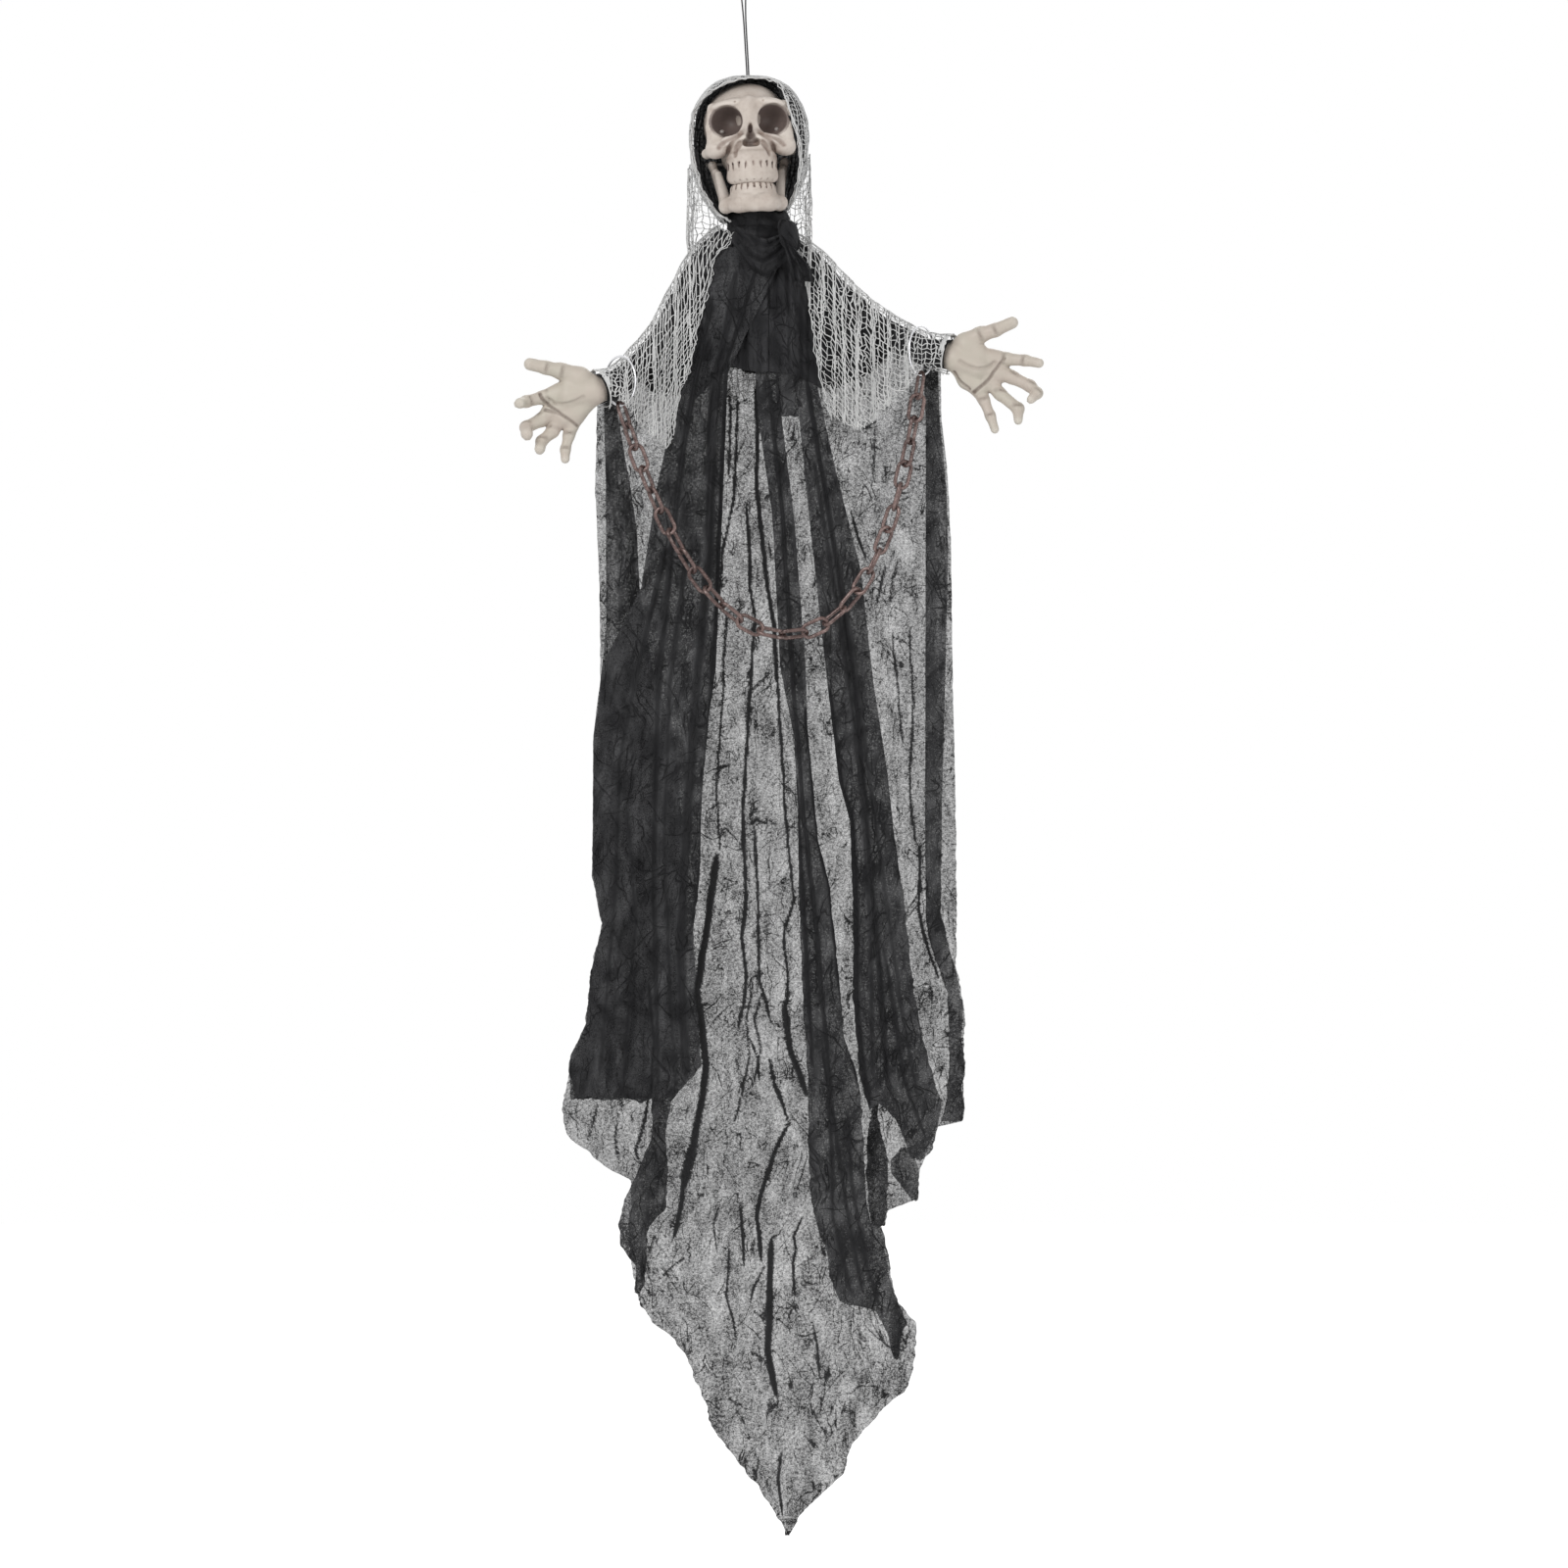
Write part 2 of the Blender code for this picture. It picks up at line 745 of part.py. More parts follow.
def brain_top():
    """Height of the brain space's ceiling over the cord."""
    place = head_place()
    centre = place @ head_shares(brain_share[0])
    radii = Vector(brain_share[1]) * head_span
    rise = math.sqrt(sum((place[2][k] * radii[k]) ** 2 for k in range(3)))
    return centre.z + rise


# Neck and arms
def neck_axis():
    """The neck tube's lowest and highest points, in line with the skull's base."""
    return Vector((0, 0, neck_bottom)), Vector((0, 0, neck_top))


def make_neck():
    low, high = neck_axis()
    bm = bmesh.new()
    add_cylinder(bm, low, high, neck_radius, sides=20)
    neck = mesh_object("neck_tube", bm, BLACK_PLASTIC)
    smooth_by_angle(neck)
    past = Vector((0, 0, overrun))
    boolean(
        neck,
        cylinder_cutter("neck_inside", low - past, high + past, neck_radius - neck_wall),
        "DIFFERENCE",
    )
    middle = Vector((0, 0, shoulder_height))
    across = Vector((neck_radius + overrun, 0, 0))
    bore = arm_wire_radius + fit_gap * 3
    wire_hole = cylinder_cutter("wire_hole", middle - across, middle + across, bore, None, 12)
    boolean(neck, wire_hole, "DIFFERENCE")
    return neck


def wire_end(side):
    x = ARM_ACROSS[0] if side < 0 else ARM_ACROSS[-1]
    return arm_at(x) + side * arm_direction(x) * wire_past_wrist


def make_arm_wire():
    route = [
        wire_end(-1),
        *reversed(arm_points(-1)),
        *arm_points(1),
        wire_end(1),
    ]
    return tube("arm_wire", smooth_path(route, 26), arm_wire_radius, STEEL)


# Leads and battery box
def make_leads():
    """Two thin leads from the bulbs, down the neck tube to the battery box."""
    place = head_place()
    box_top = Vector(
        (box_side, box_front() + box_depth / 2, box_middle + box_height / 2 + 2 * fit_gap)
    )
    tube_side = neck_radius - neck_wall - lead_radius * 2.6
    for side in (-1, 1):
        label = "left" if side < 0 else "right"
        bulb = head_shares(bulb_share, side)
        back = Vector((0, fit_gap, 0))
        straight = Vector((0, bulb_length, 0))
        offset = Vector((side * lead_spacing / 2, 0, 0))
        low, high = neck_axis()
        behind = Vector((side * lead_spacing / 2, tube_side, 0))
        # the left lead runs below the right one on the way across
        under = Vector((0, 0, min(side, 0) * lead_spacing * 1.6))
        exit_low = low + behind
        end = box_top + offset
        route = [
            place @ (bulb + back),
            place @ (bulb + straight),
            place @ (bulb + 2.6 * straight),
            high + behind + Vector((side * head_span * 0.12, 0, head_span * 0.26)),
            high + behind + Vector((side * head_span * 0.03, 0, head_span * 0.08)),
            high + behind + Vector((side * head_span * 0.006, 0, 0)),
            (low + high) / 2 + behind,
            exit_low,
            exit_low + under * 2 + Vector((lead_spacing, -lead_spacing, -lead_spacing * 2)),
            (exit_low + end) / 2 + under - Vector((0, 0, lead_spacing)),
            end + Vector((0, 0, lead_spacing * 3)),
            end + Vector((0, 0, lead_spacing * 1.5)),
            end,
        ]
        tube(f"lead_{label}", smooth_path(route, 25), lead_radius, CORD, resolution=1)


def box_front():
    """The battery box's front face, just behind the yoke's front."""
    edges = (box_side - box_width / 2, box_side + box_width / 2)
    return max(arm_face(x, 0, -1) for x in edges) + cloth / 2 + fit_gap


def add_box(bm, low, high):
    centre = (Vector(low) + Vector(high)) / 2
    size = Vector(high) - Vector(low)
    bmesh.ops.create_cube(bm, size=1, matrix=Matrix.Translation(centre) @ Matrix.Diagonal((*size, 1)))


def box_cutter(name, low, high):
    bm = bmesh.new()
    add_box(bm, low, high)
    return as_cutter(mesh_object(name, bm, None))


def make_battery_box():
    front = box_front()
    half = box_width / 2
    low = Vector((box_side - half, front, box_middle - box_height / 2))
    high = Vector((box_side + half, front + box_depth - box_wall, box_middle + box_height / 2))
    bm = bmesh.new()
    add_box(bm, low, high)
    box = mesh_object("battery_box", bm, BLACK_PLASTIC)
    rounded = box.modifiers.new("rounded edges", "BEVEL")
    rounded.width = box_wall * 0.7
    rounded.segments = 2
    rounded.limit_method = "ANGLE"
    wall = Vector((box_wall, box_wall, box_wall))
    inside_high = Vector((high.x - box_wall, high.y + overrun, high.z - box_wall))
    boolean(box, box_cutter("box_inside", low + wall, inside_high), "DIFFERENCE")
    slot_half = Vector((slider_width / 2 + fit_gap, 0, (slider_length + slider_travel) / 2 + fit_gap))
    slot_middle = Vector((box_side, front, low.z + box_height * 0.2))
    boolean(
        box,
        box_cutter(
            "slider_slot",
            slot_middle - slot_half - Vector((0, overrun, 0)),
            slot_middle + slot_half + Vector((0, box_wall * 2, 0)),
        ),
        "DIFFERENCE",
    )
    bm = bmesh.new()
    lid_low = Vector((low.x, high.y + fit_gap, low.z))
    add_box(bm, lid_low, (high.x, high.y + box_wall, high.z))
    lid = mesh_object("battery_lid", bm, BLACK_PLASTIC)
    rounded = lid.modifiers.new("rounded edges", "BEVEL")
    rounded.width = box_wall * 0.25
    rounded.segments = 1
    rounded.limit_method = "ANGLE"
    make_cells(low, high)
    make_slider(slot_middle, front)
    return box


def make_cells(low, high):
    """Three button cells in one stack, standing in the box."""
    foot = low.z + box_height * 0.44
    profile = [(0, foot + cell_count * cell_length)]
    for k in reversed(range(cell_count)):
        top, bottom = foot + (k + 1) * cell_length, foot + k * cell_length
        neck = cell_length * 0.15
        profile += [
            (cell_radius * 0.8, top),
            (cell_radius * 0.8, top - neck),
            (cell_radius, top - neck),
            (cell_radius, bottom),
        ]
    profile.append((0, foot))
    cells = turned("button_cells", profile, STEEL, 10)
    cells.location = ((low.x + high.x) / 2, low.y + box_wall + fit_gap + cell_radius, 0)
    return cells


def make_slider(slot_middle, front):
    """The switch slider, at the top of its slot, with a ledge inside the wall that holds it."""
    bm = bmesh.new()
    middle = slot_middle + Vector((0, 0, slider_travel / 2))
    half = Vector((slider_width / 2, 0, slider_length / 2))
    proud = slider_height - box_wall
    add_box(
        bm,
        middle - half - Vector((0, min(proud, cloth / 4), 0)),
        middle + half + Vector((0, box_wall + fit_gap + slider_height / 2, 0)),
    )
    slider = mesh_object("switch_slider", bm, BLACK_PLASTIC)
    ledge_half = Vector((slider_width / 2 + box_wall / 2, 0, slider_length / 2))
    ledge_low = middle - ledge_half + Vector((0, box_wall + fit_gap, 0))
    ledge_high = middle + ledge_half + Vector((0, box_wall + fit_gap + slider_height / 2, 0))
    bm = bmesh.new()
    add_box(bm, ledge_low, ledge_high)
    ledge = as_cutter(mesh_object("slider_ledge", bm, None))
    boolean(slider, ledge, "UNION")
    return slider


# Hands
left_hand_shares = (
    # points from the wrist (across, towards the front, up) and radii
    (((0.10, -0.06, 0.03), (-0.06, 0.02, -0.015), (-0.30, 0.01, -0.06)), (0.115, 0.13, 0.16)),
    (((-0.08, 0.0, 0.08), (-0.20, 0.02, 0.10), (-0.30, 0.03, 0.05)), (0.09, 0.12, 0.10)),
    (((-0.10, 0.0, -0.10), (-0.24, 0.0, -0.22), (-0.36, 0.01, -0.28)), (0.09, 0.11, 0.11)),
    (((-0.30, 0.0, 0.0), (-0.46, 0.01, -0.06)), (0.12, 0.09)),
    (((-0.32, 0.0, -0.14), (-0.50, 0.01, -0.22)), (0.12, 0.09)),
    (((-0.20, 0.03, 0.13), (-0.385, 0.06, 0.19), (-0.54, 0.10, 0.225), (-0.70, 0.12, 0.26)),
     (0.11, 0.082, 0.066, 0.064)),
    (((-0.42, 0.02, -0.02), (-0.575, 0.04, -0.075), (-0.74, 0.14, -0.12), (-0.80, 0.25, -0.14)),
     (0.085, 0.065, 0.058, 0.055)),
    (((-0.44, 0.0, -0.18), (-0.585, 0.02, -0.30), (-0.74, 0.12, -0.38), (-0.73, 0.25, -0.45)),
     (0.085, 0.068, 0.062, 0.062)),
    (((-0.40, 0.0, -0.28), (-0.475, 0.02, -0.42), (-0.585, 0.09, -0.52), (-0.60, 0.18, -0.60)),
     (0.085, 0.062, 0.056, 0.055)),
    (((-0.26, 0.0, -0.30), (-0.31, 0.02, -0.46), (-0.345, 0.05, -0.605), (-0.345, 0.10, -0.70)),
     (0.085, 0.056, 0.049, 0.046)),
)
right_hand_shares = (
    (((-0.10, -0.05, 0.03), (0.06, 0.02, -0.03), (0.26, 0.01, -0.10)), (0.115, 0.13, 0.16)),
    (((0.08, 0.0, 0.08), (0.17, 0.02, 0.10), (0.28, 0.03, 0.04)), (0.09, 0.12, 0.10)),
    (((0.09, 0.0, -0.11), (0.18, 0.0, -0.24), (0.30, 0.01, -0.31)), (0.09, 0.10, 0.10)),
    (((0.26, 0.0, -0.02), (0.47, 0.01, -0.04)), (0.12, 0.09)),
    (((0.28, 0.0, -0.12), (0.50, 0.01, -0.19)), (0.12, 0.09)),
    (((0.15, 0.03, 0.13), (0.31, 0.06, 0.21), (0.46, 0.10, 0.255), (0.63, 0.12, 0.33)),
     (0.10, 0.080, 0.066, 0.062)),
    (((0.42, 0.02, -0.02), (0.57, 0.03, -0.035), (0.76, 0.08, -0.05), (0.90, 0.15, -0.08)),
     (0.085, 0.066, 0.055, 0.050)),
    (((0.46, 0.0, -0.14), (0.63, 0.03, -0.22), (0.81, 0.10, -0.31), (0.88, 0.17, -0.385),
      (0.82, 0.24, -0.45)), (0.085, 0.066, 0.060, 0.056, 0.045)),
    (((0.38, 0.0, -0.24), (0.51, 0.02, -0.39), (0.69, 0.09, -0.54), (0.69, 0.18, -0.66)),
     (0.085, 0.062, 0.060, 0.045)),
    (((0.26, 0.0, -0.30), (0.345, 0.02, -0.45), (0.41, 0.05, -0.61), (0.455, 0.09, -0.75)),
     (0.085, 0.056, 0.050, 0.043)),
)


def make_hand(side):
    """Palm and fingers as rounded limbs under one skin, with a bore for the arm wire."""
    label, limbs = ("left", left_hand_shares) if side < 0 else ("right", right_hand_shares)
    wrist = arm_at(ARM_ACROSS[0] if side < 0 else ARM_ACROSS[-1])
    bm = bmesh.new()
    for points, radii in limbs:
        placed = [wrist + Vector((x, -y, z)) * hand_span for x, y, z in points]
        add_limb(bm, placed, [radius * hand_span for radius in radii])
    hand = mesh_object(f"{label}_hand", bm, SKIN)
    fuse_skin(hand, hand_voxel, hand_face_share)
    tip = wire_end(side)
    ahead = side * arm_direction(wrist.x)
    bore = cylinder_cutter(
        f"{label}_bore",
        tip - ahead * (wire_past_wrist + hand_span / 2),
        tip + ahead * fit_gap,
        arm_wire_radius + fit_gap * 2,
        None,
        12,
    )
    boolean(hand, bore, "DIFFERENCE")
    wrist_cut = bmesh.new()
    turn = ahead.to_track_quat("X", "Z").to_matrix().to_4x4()
    flat = Matrix.Translation(wrist - ahead * (hand_span / 2 + wrist_stub)) @ turn
    bmesh.ops.create_cube(wrist_cut, size=hand_span, matrix=flat)
    boolean(hand, as_cutter(mesh_object(f"{label}_wrist_cut", wrist_cut, None)), "DIFFERENCE")
    return hand


# Rings and chain
def ring_frame(side):
    """A ring's centre and the level direction of its axis. It hangs on top of the sleeve."""
    x = side * ring_share * (left_reach if side < 0 else right_reach)
    centre, along = arm_at(x), arm_direction(x)
    outer = sleeve_radius(x) + net_offset + cloth / 2 + 3 * fit_gap
    half_height = outer / math.sqrt(1 - along.z**2)
    inner = ring_radius - ring_wire / 2
    level = Vector((along.x, along.y, 0)).normalized()
    return centre + Vector((0, 0, half_height + fit_gap - inner)), level


def make_ring(side):
    label = "left" if side < 0 else "right"
    centre, level = ring_frame(side)
    bpy.ops.mesh.primitive_torus_add(
        major_segments=22,
        minor_segments=6,
        major_radius=ring_radius,
        minor_radius=ring_wire / 2,
    )
    ring = keep(bpy.context.object, STEEL)
    ring.name = f"{label}_ring"
    ring.data.shade_smooth()
    ring.matrix_world = Matrix.Translation(centre) @ level.to_track_quat("Z", "Y").to_matrix().to_4x4()
    return ring


def chain_ends():
    """Where the first and last links hang on the rings' lowest points."""
    rise = Vector((0, 0, ring_wire / 2 + link_gap / 2))
    return [ring_frame(side)[0] - Vector((0, 0, ring_radius)) + rise for side in (-1, 1)]


def chain_joints():
    """The points where link meets link, a pitch apart on a leaning catenary."""
    start, end = chain_ends()
    pitch = link_length - 2 * link_wire - link_gap
    span, rise = end.x - start.x, end.z - start.z

    def walk(scale):
        """Steps of one pitch along the catenary of this scale, and what is left at its end."""
        length = math.sqrt(rise**2 + (2 * scale * math.sinh(span / (2 * scale))) ** 2)
        low = span / 2 - scale * math.atanh(rise / length)
        base = scale * math.cosh(low / scale)
        depth = base - scale
        across = np.linspace(-span * 0.02, span * 1.02, 6000)
        drop = base - scale * np.cosh((across - low) / scale)
        x = across + chain_lean * (drop + rise * across / span) / depth
        dense = np.stack([x, (end.y - start.y) * across / span, -drop], axis=1)
        at = int(np.argmin(np.abs(across)))
        points = [np.zeros(3)]
        for _ in range(link_count):
            away = np.linalg.norm(dense[at:] - points[-1], axis=1)
            past = int(np.argmax(away >= pitch))
            if away[past] < pitch:
                return points, -1.0
            share = (pitch - away[past - 1]) / (away[past] - away[past - 1])
            at += past
            points.append(dense[at - 1] + share * (dense[at] - dense[at - 1]))
        return points, end.x - start.x - points[-1][0]

    low_scale, high_scale = span / 8, span * 4
    for _ in range(60):
        middle = math.sqrt(low_scale * high_scale)
        if walk(middle)[1] > 0:
            low_scale = middle
        else:
            high_scale = middle
    return [start + Vector(point) for point in walk(middle)[0]]


def make_chain():
    joints = chain_joints()
    half = (link_length - link_wire) / 2
    bend = (link_width - link_wire) / 2
    outline = []
    corner = bend * math.tan(math.radians(22.5))
    near = half - bend + corner
    for end in (1, -1):
        for x, y in ((near, -bend), (half, -corner), (half, corner), (near, bend)):
            outline.append((end * x, end * y, 0))
    base = tube("chain_link_01", outline, link_wire / 2, RUST, resolution=1, closed=True)
    right_turn = 4 * 180 / (link_count - 1 - middle_link - 1)
    left_turn = 5 * 180 / (middle_link + 1)
    depth = Vector((0, 1, 0))
    for k in range(link_count):
        link = base
        if k:
            link = keep(bpy.data.objects.new(f"chain_link_{k + 1:02}", base.data), None)
        along = (joints[k + 1] - joints[k]).normalized()
        step = k - middle_link
        roll = math.radians(step * (right_turn if step > 0 else left_turn))
        flat = along.cross(depth).normalized()
        width = flat * math.cos(roll) + flat.cross(along) * math.sin(roll)
        normal = along.cross(width)
        turn = Matrix((along, width, normal)).transposed().to_4x4()
        link.matrix_world = Matrix.Translation((joints[k] + joints[k + 1]) / 2) @ turn
    return joints


# Hood
hood_profile_shares = (
    # share of the hood's radius, share of its drop
    (0.34, 0.010),
    (0.66, 0.070),
    (0.89, 0.190),
    (0.99, 0.330),
    (1.00, 0.500),
    (0.95, 0.670),
    (0.78, 0.840),
    (0.57, 0.950),
    (0.47, 1.000),
)
net_hood_profile_shares = (
    # the net follows the lining to its widest place, then hangs free to the shoulders
    (0.34, 0.010),
    (0.66, 0.060),
    (0.89, 0.160),
    (0.99, 0.280),
    (1.00, 0.450),
    (1.01, 0.700),
    (1.02, 1.000),
)


def skull_top():
    """Height of the crown's highest point."""
    place = head_place()
    centre, radii, _, _ = skull_ball_shares[0]
    rise = math.sqrt(sum((place[2][k] * radii[k] * head_span) ** 2 for k in range(3)))
    return (place @ head_shares(centre)).z + rise


def hood_shell(name, shares, radius, drop, top, material):
    """A turned cloth shell, deeper than wide, open to the front and hung over the crown."""
    profile = [(0, top)]
    profile += [(radius * r, top - drop * d) for r, d in shares]
    hood = turned(name, profile, material, 18)
    hood.location = (hood_side, 0, 0)
    hood.scale = (1, hood_depth_ratio, 1)
    thicken(hood, cloth)
    return hood


def drop_to(foot, top):
    """From the crown down to a place this far above the shoulders."""
    return top - shoulder_height - foot


def rim_cutter(name, top, drop):
    """Takes away the hood's front, along a rim that leans back towards the neck."""
    lean = math.atan2(hood_rim_front - hood_rim_back, drop_to(hood_foot, top))
    reach = 4 * hood_radius
    bm = bmesh.new()
    add_box(bm, (-reach, -reach, -reach - drop), (reach, 0, overrun))
    cutter = as_cutter(mesh_object(name, bm, None))
    cutter.matrix_world = (
        Matrix.Translation((0, -hood_rim_front, top)) @ Matrix.Rotation(lean, 4, "X")
    )
    return cutter


def make_hood():
    lining_top = skull_top() + fit_gap + cloth / 2
    drop = drop_to(hood_foot, lining_top)
    lining = hood_shell(
        "black_hood", hood_profile_shares, hood_radius, drop, lining_top, BLACK_CLOTH
    )
    boolean(lining, rim_cutter("lining_rim", lining_top, drop), "DIFFERENCE")
    boolean(lining, cord_hole_cutter("lining_cord_hole"), "DIFFERENCE")
    return lining_top


# Yoke and net over the arms
def over_arms(name, material, extra, front_shares, back_shares):
    """A cloth laid over both arms: a tube at the wrists, with skirts front and back between."""
    legs, arcs = 2, 6
    stations = [share * ARM_ACROSS[0] for share in reversed(station_shares)]
    stations += [share * ARM_ACROSS[-1] for share in station_shares[1:]]

    def place(u, v):
        x = stations[round(u * (len(stations) - 1))]
        centre, along = arm_at(x), arm_direction(x)
        front = along.cross(Vector((0, 0, 1))).normalized()
        up = front.cross(along)
        radius = sleeve_radius(x) + extra
        # v runs from the front hem over the arm to the back hem
        row = v * (2 * legs + arcs)
        if legs <= row <= legs + arcs:
            angle = math.radians(90 - 180 * (row - legs) / arcs)
            return centre + radius * (math.cos(angle) * up + math.sin(angle) * front)
        is_front = row < legs
        part = (legs - row if is_front else row - legs - arcs) / legs
        facing = 1 if is_front else -1
        skirt = yoke_skirt * read_table(front_shares if is_front else back_shares, reach_share(x))
        angle = math.radians(90 + 66 * part)
        closed = centre + radius * (math.cos(angle) * up + facing * math.sin(angle) * front)
        hanging = centre + radius * facing * front - Vector((0, 0, skirt * part))
        loose = ease(skirt / (yoke_skirt * 0.2))
        return closed.lerp(hanging, loose)

    return sheet(name, place, len(stations) - 1, 2 * legs + arcs, material)


net_opening_shares = (
    # share of the shoulder's radius, share of the skirt below the shoulder's height
    (-0.38, 0.42),
    (-0.80, -0.04),
    (-1.18, -0.55),
    (-1.50, -0.85),
    (-1.95, -1.07),
    (-2.40, -1.40),
    (-2.60, -2.20),
    (2.70, -2.20),
    (2.55, -1.44),
    (2.14, -0.93),
    (1.85, -0.30),
    (1.66, 0.04),
    (1.20, 0.42),
)


def opening_cutter():
    """The open front of the net, which widens downwards from the neck."""
    curve = bpy.data.curves.new("net_opening", "CURVE")
    curve.dimensions = "2D"
    curve.fill_mode = "BOTH"
    curve.extrude = shoulder_radius * 2
    spline = curve.splines.new("POLY")
    spline.points.add(len(net_opening_shares) - 1)
    for point, (x, z) in zip(spline.points, net_opening_shares):
        point.co = (x * shoulder_radius, z * yoke_skirt, 0, 1)
    spline.use_cyclic_u = True
    flat = bpy.data.objects.new("net_opening", curve)
    flat.matrix_world = Matrix.Translation(
        (0, -shoulder_radius * 2, shoulder_height)
    ) @ Matrix.Rotation(math.radians(90), 4, "X")
    CUTTERS.objects.link(flat)
    return as_cutter(tube_as_mesh(flat, None))


def make_yoke_and_net(lining_top):
    hole = cylinder_cutter(
        "neck_hole",
        (0, 0, shoulder_height),
        (0, 0, shoulder_height + shoulder_radius + overrun),
        neck_hole_radius,
    )
    yoke = over_arms("black_yoke", BLACK_CLOTH, 0.0, yoke_skirt_shares, yoke_skirt_shares)
    boolean(yoke, hole, "DIFFERENCE")
    net = over_arms("net_drape", NET, net_offset, net_front_shares, net_back_shares)
    boolean(net, hole, "DIFFERENCE")
    top = lining_top + cloth + fit_gap
    radius = hood_radius + net_hood_offset
    drop = drop_to(net_hood_foot, top)
    hood = hood_shell("net_hood", net_hood_profile_shares, radius, drop, top, None)
    as_cutter(hood)
    boolean(hood, rim_cutter("net_rim", top, drop), "DIFFERENCE")
    boolean(net, opening_cutter(), "DIFFERENCE")
    boolean(net, hood, "UNION")
    boolean(net, cord_hole_cutter("net_cord_hole"), "DIFFERENCE")
    return yoke, net


# Scarf
scarf_span = 0.100
scarf_face_share = 0.065
collar_shares = (0.155, 0.065, 0.105)  # ring radius, wall, half height
scarf_limb_shares = (
    (((-0.10, -0.13, 0.36), (-0.02, -0.36, 0.26), (0.10, -0.46, 0.21)), (0.07, 0.07, 0.085)),
    (((0.12, -0.12, 0.37), (0.22, -0.34, 0.25), (0.12, -0.46, 0.20)), (0.06, 0.06, 0.085)),
    (((0.10, -0.47, 0.20), (0.32, -0.50, 0.13), (0.50, -0.535, -0.02), (0.58, -0.555, -0.24)),
     (0.085, 0.08, 0.06, 0.035)),
    (((0.12, -0.47, 0.18), (0.24, -0.51, 0.04), (0.40, -0.535, -0.10)), (0.07, 0.06, 0.04)),
    (((-0.10, -0.30, 0.28), (-0.16, -0.42, 0.14), (-0.20, -0.465, -0.02)), (0.05, 0.05, 0.03)),
)


def make_scarf():
    """A soft collar round the neck tube, a knot in front and a folded tail."""
    ring, wall, half_height = collar_shares
    bm = bmesh.new()
    base = Vector((0, 0, shoulder_height))
    turns = 12
    for k in range(turns):
        angle = math.tau * k / turns
        around = Vector((math.cos(angle), math.sin(angle), 0)) * ring
        centre = base + (around + Vector((0, 0, 0.37))) * scarf_span
        add_ball(bm, centre, Vector((wall, wall, half_height)) * scarf_span)
    for points, radii in scarf_limb_shares:
        placed = [base + Vector(p) * scarf_span for p in points]
        add_limb(bm, placed, [r * scarf_span for r in radii])
    scarf = mesh_object("neck_scarf", bm, BLACK_CLOTH)
    fuse_skin(scarf, skin_voxel_share * scarf_span, scarf_face_share, 2)
    low, high = neck_axis()
    boolean(
        scarf,
        cylinder_cutter("scarf_bore", low, high + Vector((0, 0, overrun)), neck_radius + fit_gap),
        "DIFFERENCE",
    )
    return scarf


# Robe panels
def panel_edges(rows, v):
    return robe_half * read_table(rows, v, 1), robe_half * read_table(rows, v, 2)


def on_arm(x, share=1.0):
    """The same place across, kept within this share of the arms."""
    return min(max(x, ARM_ACROSS[0] * share), ARM_ACROSS[-1] * share)


def back_lane(x, z):
    """How deep the back panel lies: on the net's back at the arms, nearly flat lower down."""
    x = on_arm(x, 0.97)
    on_net = arm_face(x, net_offset + cloth * 1.5, 1)
    near_ring = ease((reach_share(x) - 0.66) / 0.14)
    on_ring = arm_face(x, ring_radius + ring_wire / 2 - sleeve_radius(x), 1)
    at_arm = on_net + max(on_ring - on_net, 0) * near_ring
    hem = arm_at(x).z - yoke_skirt * read_table(net_back_shares, reach_share(x))
    at_arm += fit_gap + cloth * ease((arm_at(x).z - z) / sleeve_radius(x))
    low = ease((hem - overrun - z) / (4 * yoke_skirt))
    return at_arm + (back_low + at_arm * 0.25 - at_arm) * low


def front_lane_at(x, z):
    """How deep the front panels lie: on the yoke's front, then hanging straight."""
    at_chest = arm_face(on_arm(x, 0.5), cloth * 2.1, -1)
    low = ease((shoulder_height - yoke_skirt - overrun - z) / (2 * yoke_skirt))
    return at_chest + (front_low - at_chest) * low


def strip_lane(x, z):
    """The centre strip and the right front panel hang from the inside of the yoke's hem."""
    at_chest = arm_face(on_arm(x, 0.5), -cloth * 1.7, -1)
    low = ease((shoulder_height - yoke_skirt - overrun - z) / (2 * yoke_skirt))
    return at_chest + (front_low - at_chest) * low


# how a panel hangs: its name, its top, its drop, its edges and the lane it lies in
Hanging = namedtuple("Hanging", "name top drop rows lane")


def panel(hanging, folds, fold_depth, phase, across, down, follow_arm=False):
    """A hanging gauze panel between its two edges, with soft upright folds."""
    top = hanging.top
    lane = hanging.lane

    def place(u, v):
        left, right = panel_edges(hanging.rows, v)
        x = left + (right - left) * u
        z = top - hanging.drop * v
        if follow_arm:
            arm = arm_at(on_arm(x, 0.97))
            hang = arm.z - sleeve_radius(arm.x) * follow_arm
            z += (hang - top) * (1 - ease(v * 5))
        wave = math.sin(math.tau * (folds * u + 0.35 * v) + phase)
        wave += 0.4 * math.sin(math.tau * (2.3 * folds * u - 0.5 * v) + 2 * phase)
        depth = fold_depth * ease((v - 0.12) * 4) * wave / 1.4
        return Vector((x, lane(x, z) + depth, z))

    return sheet(hanging.name, place, across, down, GAUZE)


